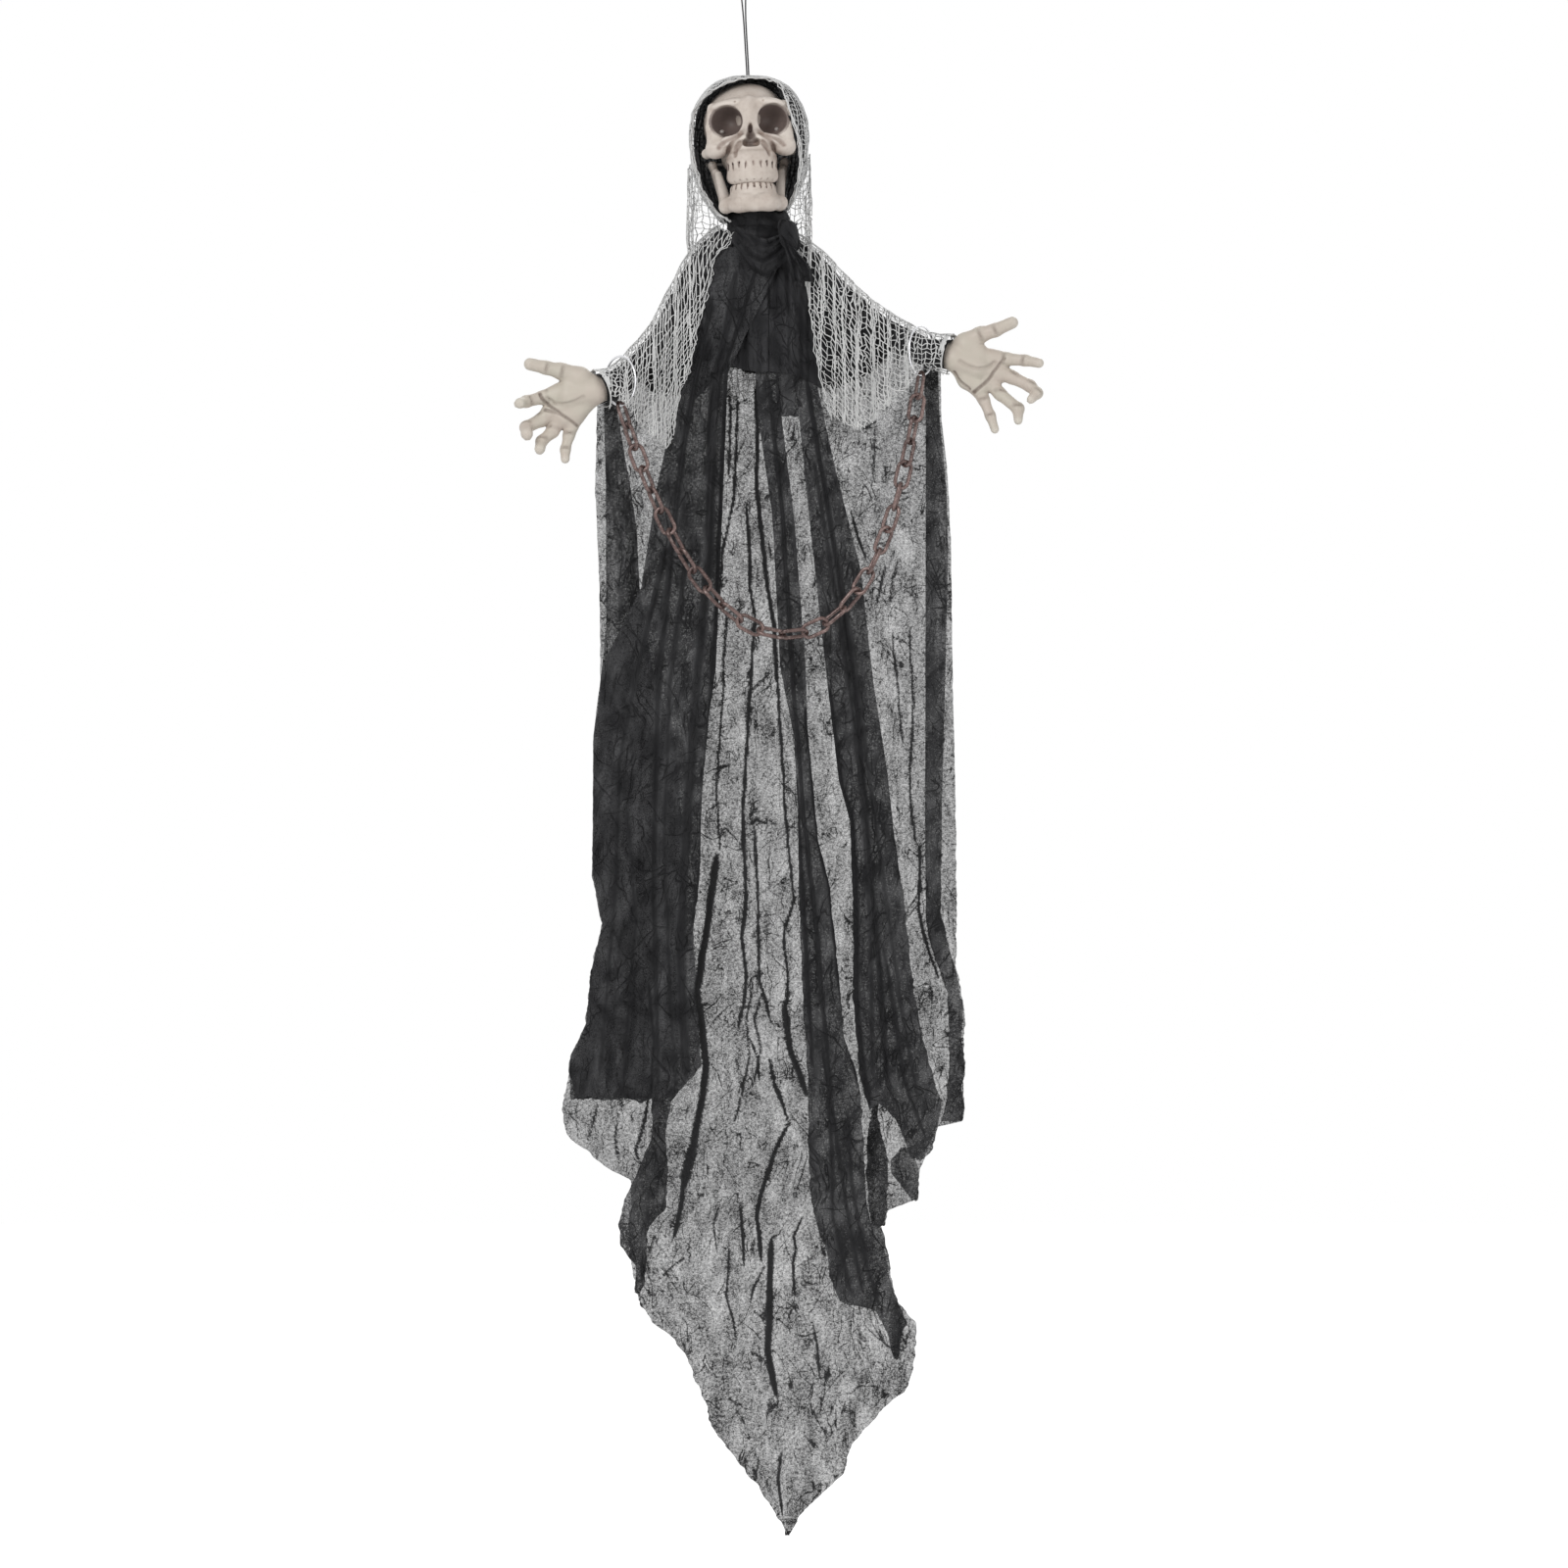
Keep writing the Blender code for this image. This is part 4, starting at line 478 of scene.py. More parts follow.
# Solid forms drawn as distance fields
class Field:
    """A distance field on a grid, in its own coordinates, built up from blobs and limbs."""

    def __init__(self, low, high, step):
        self.low, self.step = np.array(low, float), step
        counts = np.ceil((np.array(high) - self.low) / step).astype(int) + 1
        axes = [self.low[k] + step * np.arange(counts[k]) for k in range(3)]
        self.axes = axes
        self.value = np.full(counts, 9.0)

    def window(self, low, high):
        cut = []
        for k in range(3):
            first = int(np.clip((low[k] - self.low[k]) / self.step, 0, len(self.axes[k]) - 1))
            last = int(np.clip((high[k] - self.low[k]) / self.step + 2, 1, len(self.axes[k])))
            cut.append(slice(first, max(last, first + 1)))
        x, y, z = np.meshgrid(*(self.axes[k][cut[k]] for k in range(3)), indexing="ij")
        return tuple(cut), np.stack([x, y, z], axis=-1)

    def merge(self, cut, away, blend, take=False):
        old = self.value[cut]
        if take:
            share = np.clip(0.5 - 0.5 * (old + away) / blend, 0, 1)
            self.value[cut] = old * (1 - share) - away * share + blend * share * (1 - share)
        else:
            share = np.clip(0.5 + 0.5 * (old - away) / blend, 0, 1)
            self.value[cut] = old * (1 - share) + away * share - blend * share * (1 - share)

    def ball(self, centre, radii, turn=(0, 0, 0), blend=0.03, take=False):
        reach = max(radii) + blend * 1.5
        cut, p = self.window(np.array(centre) - reach, np.array(centre) + reach)
        rotation = Matrix.Identity(3)
        for degrees, axis in zip(turn, "XYZ"):
            rotation = rotation @ Matrix.Rotation(math.radians(degrees), 3, axis)
        p = (p - np.array(centre)) @ np.array(rotation)
        near = np.linalg.norm(p / radii, axis=-1)
        slope = np.linalg.norm(p / np.square(radii), axis=-1)
        self.merge(cut, near * (near - 1) / np.maximum(slope, 1e-6), blend, take)

    def limb(self, points, radii, blend=0.03, take=False):
        for k in range(len(points) - 1):
            a, b = np.array(points[k], float), np.array(points[k + 1], float)
            reach = max(radii[k], radii[k + 1]) + blend * 1.5
            cut, p = self.window(np.minimum(a, b) - reach, np.maximum(a, b) + reach)
            along = b - a
            share = np.clip(((p - a) @ along) / (along @ along), 0, 1)
            away = np.linalg.norm(p - a - share[..., None] * along, axis=-1)
            self.merge(cut, away - (radii[k] + (radii[k + 1] - radii[k]) * share), blend, take)

    def blurred(self, reach):
        """The share of solid round each point, within this many grid steps."""
        solid = (self.value < 0).astype(float)
        for axis in range(3):
            total = np.cumsum(solid, axis=axis)
            reached = np.clip(np.arange(solid.shape[axis]) + reach, 0, solid.shape[axis] - 1)
            high = np.take(total, reached, axis)
            low = np.take(total, np.clip(np.arange(solid.shape[axis]) - reach - 1, 0, None), axis)
            solid = (high - low) / (2 * reach + 1)
        return solid

    def read(self, values, points):
        at = (points - self.low) / self.step
        at = np.clip(at, 0, np.array(values.shape) - 1.001)
        i = at.astype(int)
        f = at - i
        total = 0.0
        for a in (0, 1):
            for b in (0, 1):
                for c in (0, 1):
                    weight = (
                        (f[:, 0] if a else 1 - f[:, 0])
                        * (f[:, 1] if b else 1 - f[:, 1])
                        * (f[:, 2] if c else 1 - f[:, 2])
                    )
                    total = total + weight * values[i[:, 0] + a, i[:, 1] + b, i[:, 2] + c]
        return total

    def surface(self, rounds=2):
        """Corners and quads of the surface where the field is zero."""
        field = self.value
        inside = field < 0
        size = np.array(field.shape) - 1
        total, count = np.zeros((*size, 3)), np.zeros(size)
        crossings = []
        for axis in range(3):
            head = tuple(slice(0, -1) if k == axis else slice(None) for k in range(3))
            tail = tuple(slice(1, None) if k == axis else slice(None) for k in range(3))
            at = np.argwhere(inside[head] != inside[tail])
            step = np.eye(3, dtype=int)[axis]
            one, two = field[tuple(at.T)], field[tuple((at + step).T)]
            place = at + step * (one / (one - two))[:, None]
            sides = [k for k in range(3) if k != axis]
            good = np.all((at[:, sides] > 0) & (at[:, sides] < size[sides]), axis=1)
            at, place, one = at[good], place[good], one[good]
            for da in (0, 1):
                for db in (0, 1):
                    cell = at.copy()
                    cell[:, sides[0]] -= da
                    cell[:, sides[1]] -= db
                    np.add.at(total, tuple(cell.T), place)
                    np.add.at(count, tuple(cell.T), 1)
            crossings.append((axis, sides, at, one < 0))
        used = count > 0
        index = np.full(size, -1)
        index[used] = np.arange(int(used.sum()))
        verts = total[used] / count[used][:, None] * self.step + self.low
        quads = []
        for axis, sides, at, out in crossings:
            corner = []
            for da, db in ((1, 1), (0, 1), (0, 0), (1, 0)):
                cell = at.copy()
                cell[:, sides[0]] -= da
                cell[:, sides[1]] -= db
                corner.append(index[tuple(cell.T)])
            quad = np.stack(corner, axis=1)
            flip = out if axis != 1 else ~out
            quad[~flip] = quad[~flip][:, ::-1]
            quads.append(quad)
        quads = np.vstack(quads)
        for _ in range(rounds):
            verts = relax(verts, quads, 0.5)
        return verts, quads


def relax(verts, quads, amount):
    total, count = np.zeros_like(verts), np.zeros(len(verts))
    for k in range(4):
        a, b = quads[:, k], quads[:, (k + 1) % 4]
        np.add.at(total, a, verts[b])
        np.add.at(total, b, verts[a])
        np.add.at(count, a, 1)
        np.add.at(count, b, 1)
    return verts * (1 - amount) + amount * total / count[:, None]


def solid_piece(name, field, place, material, body, dark=None, reach=4, lines=None):
    """The field's surface as a piece, with its recesses marked for painted shade and its open edges for a
    painted highlight.
    """
    verts, quads = field.surface()
    share = field.read(field.blurred(reach), verts)
    recess = np.clip((share - 0.56) / 0.16, 0, 1)
    if lines is not None:
        recess = np.maximum(recess, lines(verts))
    values = {
        "recess": recess,
        "edge": np.clip((0.44 - share) / 0.16, 0, 1),
    }
    if material == BONE:
        values["dark"] = np.zeros(len(verts)) if dark is None else dark(verts)
    world = verts @ np.array(place.to_3x3()).T + np.array(place.translation)
    return mesh_piece(name, world, quads, material, body, values)


# The head's frame
HEAD_BACK, HEAD_YAW, HEAD_ROLL = 6, 4, 3
HEAD_TURN = (
    Matrix.Rotation(math.radians(HEAD_YAW), 4, "Z")
    @ Matrix.Rotation(math.radians(-HEAD_ROLL), 4, "Y")
    @ Matrix.Rotation(math.radians(-HEAD_BACK), 4, "X")
)
nose = HEAD_TURN @ (Vector((0.0, -0.60, 0.0)) * HEAD)
HEAD_PLACE = Matrix.Translation((FIGURE_SIDE + 0.0045 - nose.x, -0.006, -0.1775 - nose.z)) @ HEAD_TURN
HEAD_UNIT = HEAD_PLACE @ Matrix.Diagonal((HEAD, HEAD, HEAD, 1))

SKULL_BALLS = (
    ((0.0, 0.05, 0.325), (0.435, 0.595, 0.415), (0, 0, 0), False),
    ((0.0, -0.20, 0.35), (0.365, 0.375, 0.305), (0, 0, 0), False),
    ((0.21, -0.485, 0.455), (0.17, 0.09, 0.055), (0, 8, 12), True),
    ((0.0, -0.515, 0.37), (0.085, 0.085, 0.16), (0, 0, 0), False),
    ((0.345, -0.385, 0.015), (0.115, 0.12, 0.095), (0, 0, -20), True),
    ((0.335, -0.345, 0.14), (0.085, 0.13, 0.15), (0, 0, 0), True),
    ((0.19, -0.47, 0.085), (0.14, 0.085, 0.065), (0, 12, 10), True),
    ((0.0, -0.37, 0.02), (0.235, 0.205, 0.17), (0, 0, 0), False),
    ((0.0, 0.02, -0.04), (0.27, 0.42, 0.16), (0, 0, 0), False),
)
SKULL_LIMBS = (
    (((0.38, -0.38, 0.0), (0.435, -0.16, 0.01), (0.405, 0.08, 0.06)), (0.065, 0.045, 0.05)),
    (((0.385, -0.42, 0.05), (0.395, -0.385, 0.24), (0.36, -0.40, 0.43)), (0.06, 0.045, 0.06)),
)
CHEEK_FOLDS = (
    ((0.105, -0.600, 0.150), (0.165, -0.585, 0.085), (0.225, -0.560, 0.010), (0.240, -0.535, -0.050)),
    ((0.160, -0.585, 0.125), (0.235, -0.560, 0.085), (0.300, -0.515, 0.050), (0.330, -0.50, 0.010)),
    ((0.110, -0.590, 0.050), (0.160, -0.575, -0.015), (0.175, -0.560, -0.085)),
)
SOCKET = ((0.238, -0.52, 0.285), (0.162, 0.29, 0.156), (0, 8, 12))
UPPER_ARCH = ((0.0, -0.335), (0.225, 0.245), -0.220)
LOWER_ARCH = ((0.0, -0.300), (0.205, 0.245), -0.412)
JAW_BALLS = (
    ((0.0, -0.475, -0.55), (0.20, 0.085, 0.105), (0, 0, 0), False),
    ((0.15, -0.45, -0.575), (0.12, 0.085, 0.08), (0, 0, 20), True),
    ((0.37, 0.08, -0.075), (0.05, 0.055, 0.045), (0, 0, 0), True),
)
JAW_LIMBS = (
    (((0.12, -0.47, -0.55), (0.27, -0.30, -0.55), (0.275, -0.15, -0.545)), (0.09, 0.075, 0.07)),
    (((0.270, -0.20, -0.50), (0.325, -0.09, -0.20)), (0.058, 0.040)),
    (((0.275, -0.13, -0.51), (0.345, 0.0, -0.16)), (0.056, 0.040)),
    (((0.275, -0.07, -0.52), (0.36, 0.06, -0.12)), (0.042, 0.040)),
)
ARCH_HALF = 72


def arch_point(arch, degrees, height=None, out=0.0):
    (mx, my), (hx, hy), level = arch
    angle = math.radians(degrees)
    z = level if height is None else height
    return np.array((mx + (hx + out) * math.sin(angle), my - (hy + out) * math.cos(angle), z))


def paired(centre, side):
    return (centre[0] * side, centre[1], centre[2])


def balls_and_limbs(field, balls, limbs, blend):
    for centre, radii, turn, both in balls:
        for side in (1, -1) if both else (1,):
            field.ball(paired(centre, side), radii, (turn[0], turn[1] * side, turn[2] * side), blend)
    for points, radii in limbs:
        for side in (1, -1):
            field.limb([paired(p, side) for p in points], radii, blend)


def arch_wall(field, arch, levels, blend=0.03):
    """The gum and teeth as one smooth wall along the arch: heights with their thickness."""
    for height, radius, out in levels:
        wall = [arch_point(arch, a, height, out) for a in np.linspace(-ARCH_HALF, ARCH_HALF, 15)]
        field.limb(wall, [radius] * len(wall), blend)


def slots(arch, count, high, low, out):
    """Tapering gaps between the teeth: each from its wide end to its narrow one."""
    lines = []
    for k in range(count + 1):
        degrees = ARCH_HALF * 0.86 * (2 * k / count - 1)
        lines.append((arch_point(arch, degrees, high, out), arch_point(arch, degrees, low, out)))
    return lines


def on_face(field, line, count=12, near=-0.80, far=-0.20):
    """A line laid on the front of the form: its depth comes from the form itself."""
    path = smooth_path(line, count)
    depth = np.linspace(near, far, 180)
    for place in path:
        probe = np.column_stack([np.full(180, place[0]), depth, np.full(180, place[2])])
        inside = field.read(field.value, probe) < 0
        if inside.any():
            place[1] = depth[np.argmax(inside)] - 0.004
    return [tuple(place) for place in path]


def carve(field, lines, wide, narrow, blend=0.006):
    for ends in lines:
        field.limb(ends, [wide, narrow], blend, True)


def near_lines(verts, lines, wide, narrow, soft=0.006):
    """How strongly paint along the lines reaches each vertex: 1 on a line, 0 away from it."""
    best = np.zeros(len(verts))
    for line in lines:
        for k in range(len(line) - 1):
            a, b = np.array(line[k], float), np.array(line[k + 1], float)
            along = b - a
            share = np.clip(((verts - a) @ along) / max(along @ along, 1e-9), 0, 1)
            away = np.linalg.norm(verts - a - share[:, None] * along, axis=1)
            whole = (k + share) / (len(line) - 1)
            reach = wide + (narrow - wide) * whole
            best = np.maximum(best, np.clip((reach + soft - away) / soft, 0, 1))
    return best


def make_cranium():
    field = Field((-0.62, -0.80, -0.42), (0.62, 0.74, 0.90), 0.0105)
    balls_and_limbs(field, SKULL_BALLS, SKULL_LIMBS, 0.035)
    levels = (
        (-0.105, 0.050, -0.012), (-0.165, 0.042, -0.008), (-0.225, 0.036, -0.006), (-0.275, 0.040, 0.0),
        (-0.310, 0.036, 0.0),
    )
    arch_wall(field, UPPER_ARCH, levels, 0.05)
    gaps = slots(UPPER_ARCH, 8, -0.160, -0.250, 0.034)
    carve(field, gaps, 0.0170, 0.0100)
    bites = slots(UPPER_ARCH, 8, -0.250, -0.345, 0.040)
    carve(field, bites, 0.0035, 0.0050)
    grooves = []
    for side in (1, -1):
        centre, radii, turn = SOCKET
        field.ball(paired(centre, side), radii, (turn[0], turn[1] * side, turn[2] * side), 0.018, True)
        field.ball(paired((0.53, -0.20, 0.22), side), (0.12, 0.16, 0.14), (0, 0, 0), 0.03, True)
        field.ball(paired((0.40, 0.08, -0.06), side), (0.10, 0.105, 0.085), (0, 0, 0), 0.01, True)
        field.ball(paired((0.044, -0.62, 0.050), side), (0.056, 0.20, 0.050), (0, 0, 0), 0.012, True)
        # folds that run down and out from the nose over the cheekbone
        for fold in CHEEK_FOLDS:
            grooves.append(on_face(field, [paired(p, side) for p in fold]))
    for groove in grooves:
        field.limb(groove, list(np.linspace(0.020, 0.011, len(groove))), 0.02, True)
    for side in (1, -1):
        field.ball(paired((0.145, -0.575, 0.468), side), (0.012, 0.03, 0.010), (0, 0, 0), 0.008, True)
    for height, wide, tall in ((0.055, 0.078, 0.058), (0.115, 0.056, 0.075), (0.185, 0.030, 0.065)):
        field.ball((0.0, -0.62, height), (wide, 0.20, tall), (0, 0, 0), 0.012, True)
    low, high = Vector((FIGURE_SIDE, 0, -0.33)), Vector((FIGURE_SIDE, 0, -0.195 + 0.02))
    back = HEAD_UNIT.inverted()
    field.limb([back @ low, back @ high], [0.094, 0.094], 0.004, True)

    # painted shade: the deep sockets, the nose hole, the mouth behind the teeth and the teeth gaps are
    # marked dark
    def dark(verts):
        inside = np.zeros(len(verts))
        for side in (1, -1):
            centre, radii, turn = SOCKET
            away = np.linalg.norm((verts - paired(centre, side)) / np.array(radii), axis=1)
            deep = np.clip((verts[:, 1] + 0.50) / 0.07, 0, 1)
            inside = np.maximum(inside, deep * (away < 1.12))
        away = np.linalg.norm((verts - (0.0, -0.62, 0.11)) / np.array((0.11, 0.21, 0.18)), axis=1)
        inside = np.maximum(inside, np.clip((verts[:, 1] + 0.535) / 0.06, 0, 1) * (away < 1.0) * 0.75)
        behind = (verts[:, 2] < -0.13) & (verts[:, 1] > -0.46) & (verts[:, 1] < -0.1)
        slotted = near_lines(verts, gaps, 0.014, 0.008, 0.010) * 0.9
        return np.maximum(np.maximum(inside, behind * 0.7), slotted)

    # painted shade along the teeth gaps, the bites, the cheek grooves and in the hollow under each cheekbone
    def lines(verts):
        paint = near_lines(verts, gaps, 0.020, 0.012) * 1.0
        paint = np.maximum(paint, 0.45 * near_lines(verts, bites, 0.004, 0.006, 0.010))
        paint = np.maximum(paint, 0.85 * near_lines(verts, grooves, 0.016, 0.006, 0.030))
        hollow = np.clip(1 - np.abs(np.abs(verts[:, 0]) - 0.27) / 0.10, 0, 1)
        hollow = hollow * np.clip(1 - np.abs(verts[:, 2] + 0.10) / 0.09, 0, 1) * (verts[:, 1] < -0.2)
        return np.maximum(paint, 0.75 * hollow)

    return solid_piece("skull_upper", field, HEAD_UNIT, BONE, "figure", dark, lines=lines)


def make_jaw():
    field = Field((-0.50, -0.66, -0.74), (0.50, 0.20, 0.02), 0.0095)
    balls_and_limbs(field, JAW_BALLS, JAW_LIMBS, 0.03)
    ridge = [arch_point(LOWER_ARCH, a) - (0, 0, 0.06) for a in np.linspace(-ARCH_HALF, ARCH_HALF, 13)]
    field.limb(ridge, [0.0435] * len(ridge), 0.03)
    arch_wall(field, LOWER_ARCH, ((-0.395, 0.030, 0.004), (-0.43, 0.036, 0.0)), 0.03)
    gaps = slots(LOWER_ARCH, 8, -0.362, -0.425, 0.032)
    carve(field, gaps, 0.0050, 0.0110)
    for side in (1, -1):
        field.ball(paired((0.13, -0.565, -0.535), side), (0.012, 0.02, 0.012), (0, 0, 0), 0.01, True)
        field.limb(
            [paired(p, side) for p in ((0.05, -0.585, -0.50), (0.15, -0.56, -0.495))],
            [0.012, 0.02], 0.02, True
        )
    field.ball((0.0, -0.57, -0.60), (0.03, 0.02, 0.03), (0, 0, 0), 0.02, True)
    hinge = [(-0.5, 0.08, -0.07), (0.5, 0.08, -0.07)]
    field.limb(hinge, [0.018, 0.018], 0.003, True)

    # painted shade along the gaps between the lower teeth
    def lines(verts):
        return 0.9 * near_lines(verts, gaps, 0.008, 0.013)

    return solid_piece("skull_jaw", field, HEAD_UNIT, BONE, "jaw", lines=lines)


# Hands
LEFT_HAND = (
    (((0.10, -0.06, 0.03), (-0.06, 0.02, -0.015), (-0.30, 0.01, -0.06)), (0.115, 0.13, 0.16)),
    (((-0.08, 0.0, 0.08), (-0.20, 0.02, 0.10), (-0.30, 0.03, 0.05)), (0.09, 0.12, 0.10)),
    (((-0.10, 0.0, -0.10), (-0.24, 0.0, -0.22), (-0.36, 0.01, -0.28)), (0.09, 0.11, 0.11)),
    (((-0.30, 0.0, 0.0), (-0.46, 0.01, -0.06)), (0.12, 0.09)),
    (((-0.32, 0.0, -0.14), (-0.50, 0.01, -0.22)), (0.12, 0.09)),
    (
        ((-0.20, 0.03, 0.13), (-0.385, 0.06, 0.19), (-0.54, 0.10, 0.225), (-0.70, 0.12, 0.26)),
        (0.11, 0.082, 0.066, 0.064),
    ),
    (
        ((-0.42, 0.02, -0.02), (-0.575, 0.04, -0.075), (-0.74, 0.14, -0.12), (-0.80, 0.25, -0.14)),
        (0.085, 0.065, 0.058, 0.055),
    ),
    (
        ((-0.44, 0.0, -0.18), (-0.585, 0.02, -0.30), (-0.74, 0.12, -0.38), (-0.73, 0.25, -0.45)),
        (0.085, 0.068, 0.062, 0.062),
    ),
    (
        ((-0.40, 0.0, -0.28), (-0.475, 0.02, -0.42), (-0.585, 0.09, -0.52), (-0.60, 0.18, -0.60)),
        (0.085, 0.062, 0.056, 0.055),
    ),
    (
        ((-0.26, 0.0, -0.30), (-0.31, 0.02, -0.46), (-0.345, 0.05, -0.605), (-0.345, 0.10, -0.70)),
        (0.085, 0.056, 0.049, 0.046),
    ),
)
RIGHT_HAND = (
    (((-0.10, -0.05, 0.03), (0.06, 0.02, -0.03), (0.26, 0.01, -0.10)), (0.115, 0.13, 0.16)),
    (((0.08, 0.0, 0.08), (0.17, 0.02, 0.10), (0.28, 0.03, 0.04)), (0.09, 0.12, 0.10)),
    (((0.09, 0.0, -0.11), (0.18, 0.0, -0.24), (0.30, 0.01, -0.31)), (0.09, 0.10, 0.10)),
    (((0.26, 0.0, -0.02), (0.47, 0.01, -0.04)), (0.12, 0.09)),
    (((0.28, 0.0, -0.12), (0.50, 0.01, -0.19)), (0.12, 0.09)),
    (
        ((0.15, 0.03, 0.13), (0.31, 0.06, 0.21), (0.46, 0.10, 0.255), (0.63, 0.12, 0.33)),
        (0.10, 0.080, 0.066, 0.062),
    ),
    (
        ((0.42, 0.02, -0.02), (0.57, 0.03, -0.035), (0.76, 0.08, -0.05), (0.90, 0.15, -0.08)),
        (0.085, 0.066, 0.055, 0.050),
    ),
    (
        (
            (0.46, 0.0, -0.14), (0.63, 0.03, -0.22), (0.81, 0.10, -0.31), (0.88, 0.17, -0.385),
            (0.82, 0.24, -0.45),
        ),
        (0.085, 0.066, 0.060, 0.056, 0.045),
    ),
    (
        ((0.38, 0.0, -0.24), (0.51, 0.02, -0.39), (0.69, 0.09, -0.54), (0.69, 0.18, -0.66)),
        (0.085, 0.062, 0.060, 0.045),
    ),
    (
        ((0.26, 0.0, -0.30), (0.345, 0.02, -0.45), (0.41, 0.05, -0.61), (0.455, 0.09, -0.75)),
        (0.085, 0.056, 0.050, 0.043),
    ),
)
# creases of the palm: points (across, towards the front, up) on the palm's face
LEFT_CREASES = (
    (
        (-0.60, 0.10, -0.04), (-0.56, 0.14, -0.11), (-0.43, 0.165, -0.215), (-0.335, 0.16, -0.28),
        (-0.22, 0.12, -0.365),
    ),
    ((-0.555, 0.12, -0.20), (-0.41, 0.15, -0.24)),
    (
        (-0.53, 0.16, -0.08), (-0.45, 0.16, -0.135), (-0.35, 0.175, -0.145), (-0.24, 0.175, -0.115),
        (-0.16, 0.17, -0.07),
    ),
)
RIGHT_CREASES = (
    ((0.045, 0.1, -0.17), (0.10, 0.1, -0.26), (0.20, 0.1, -0.34)),
    ((0.24, 0.12, -0.377), (0.387, 0.16, -0.25), (0.45, 0.155, -0.156), (0.555, 0.11, -0.03)),
    (
        (0.10, 0.17, -0.06), (0.17, 0.17, -0.105), (0.28, 0.18, -0.135), (0.38, 0.17, -0.12),
        (0.45, 0.17, -0.07),
    ),
)


def make_hand(side, wrist, ahead):
    label, limbs, creases = (
        ("left", LEFT_HAND, LEFT_CREASES) if side < 0 else ("right", RIGHT_HAND, RIGHT_CREASES)
    )
    every = np.vstack([np.array(points) for points, _ in limbs]) * (1, -1, 1)
    field = Field(every.min(0) - 0.22, every.max(0) + 0.22, 0.0085)
    for points, radii in limbs:
        field.limb([(x, -y, z) for x, y, z in points], radii, 0.035)
    paths = [on_face(field, [(x, -y, z) for x, y, z in line], 16, -0.45, 0.25) for line in creases]
    for path in paths:
        field.limb(path, list(np.linspace(0.013, 0.009, len(path))), 0.014, True)
    joints = []
    for points, radii in limbs[5:]:
        # a nail on the back of each finger, and creases at the joints
        tip, before = np.array(points[-1]) * (1, -1, 1), np.array(points[-2]) * (1, -1, 1)
        along = (tip - before) / np.linalg.norm(tip - before)
        back = np.array((0, 1.0, 0)) - along * along[1]
        back /= np.linalg.norm(back)
        for k in range(1, len(points) - 1):
            joint = np.array(points[k]) * (1, -1, 1)
            cross = np.cross(along, back)
            for face in (-1, 1):
                fold = joint + back * face * radii[k] * 1.02
                joints.append([fold - cross * radii[k] * 0.7, fold + cross * radii[k] * 0.7])
                field.limb(
                    [fold - cross * radii[k] * 0.45, fold + cross * radii[k] * 0.45],
                    [0.006, 0.006], 0.012, True
                )
        nail = tip + back * radii[-1] * 0.86 + along * radii[-1] * 0.25
        cross = np.cross(along, back) * radii[-1] * 0.32
        field.limb([nail - cross, nail + cross], [0.014, 0.014], 0.006)
    place = Matrix.Translation(wrist) @ Matrix.Diagonal((HAND, HAND, HAND, 1))
    cut, p = field.window((-9, -9, -9), (9, 9, 9))
    behind = -(p @ np.array(ahead)) - 0.09
    field.value = np.maximum(field.value, behind)

    # painted shade along the palm creases and the finger joints
    def lines(verts):
        paint = near_lines(verts, paths[:-1], 0.013, 0.007, 0.014)
        paint = np.maximum(paint, 0.35 * near_lines(verts, paths[-1:], 0.006, 0.004, 0.030))
        return np.maximum(paint, 0.5 * near_lines(verts, joints, 0.006, 0.006, 0.030))

    return solid_piece(f"{label}_hand_skin", field, place, SKIN, "figure", reach=4, lines=lines)


# The arms, which the sleeves and panels follow
ARM_ROUTE = (
    (0.05, 0, 0), (0.14, 0, 0.015), (0.33, 0.12, 0.16), (0.66, 0.52, 0.70), (0.86, 0.86, 0.935),
    (1, 1, 1),
)
SLEEVE = (
    (0, 1.0), (0.16, 0.92), (0.28, 0.66), (0.38, 0.48), (0.48, 0.37), (0.58, 0.33), (0.67, 0.36),
    (0.76, 0.39),
    (0.88, 0.40), (1.0, 0.48),
)
NET_FRONT = ((0.0, 1.12), (0.40, 1.12), (0.60, 0.98), (0.74, 0.62), (0.84, 0.36), (0.92, 0.10), (0.97, 0.0))
NET_BACK = ((0.0, 1.20), (0.40, 1.18), (0.60, 0.80), (0.74, 0.14), (0.80, 0.0))
YOKE_EDGE = ((0.0, 1.0), (0.40, 0.90), (0.60, 0.46), (0.72, 0.04), (0.78, 0.0))


def arm_points(side):
    reach, fall = (LEFT_REACH, LEFT_FALL) if side < 0 else (RIGHT_REACH, RIGHT_FALL)
    return [(side * reach * x, -ARM_FORWARD * y, SHOULDER_HEIGHT - fall * z) for x, y, z in ARM_ROUTE]


ARM = smooth_path([*reversed(arm_points(-1)), *arm_points(1)], 160)
ARM_X = ARM[:, 0]


def arm_at(x):
    x = np.asarray(x, float)
    return np.stack([x, np.interp(x, ARM_X, ARM[:, 1]), np.interp(x, ARM_X, ARM[:, 2])], axis=-1)


def reach_share(x):
    return np.abs(x) / np.where(np.asarray(x) < 0, LEFT_REACH, RIGHT_REACH)


def sleeve_radius(x):
    return SHOULDER_RADIUS * table_at(SLEEVE, reach_share(x))


def arm_direction(x):
    step = LEFT_REACH / 60
    low, high = np.maximum(x - step, ARM_X[0]), np.minimum(x + step, ARM_X[-1])
    along = arm_at(high) - arm_at(low)
    return along / np.linalg.norm(along, axis=-1, keepdims=True)


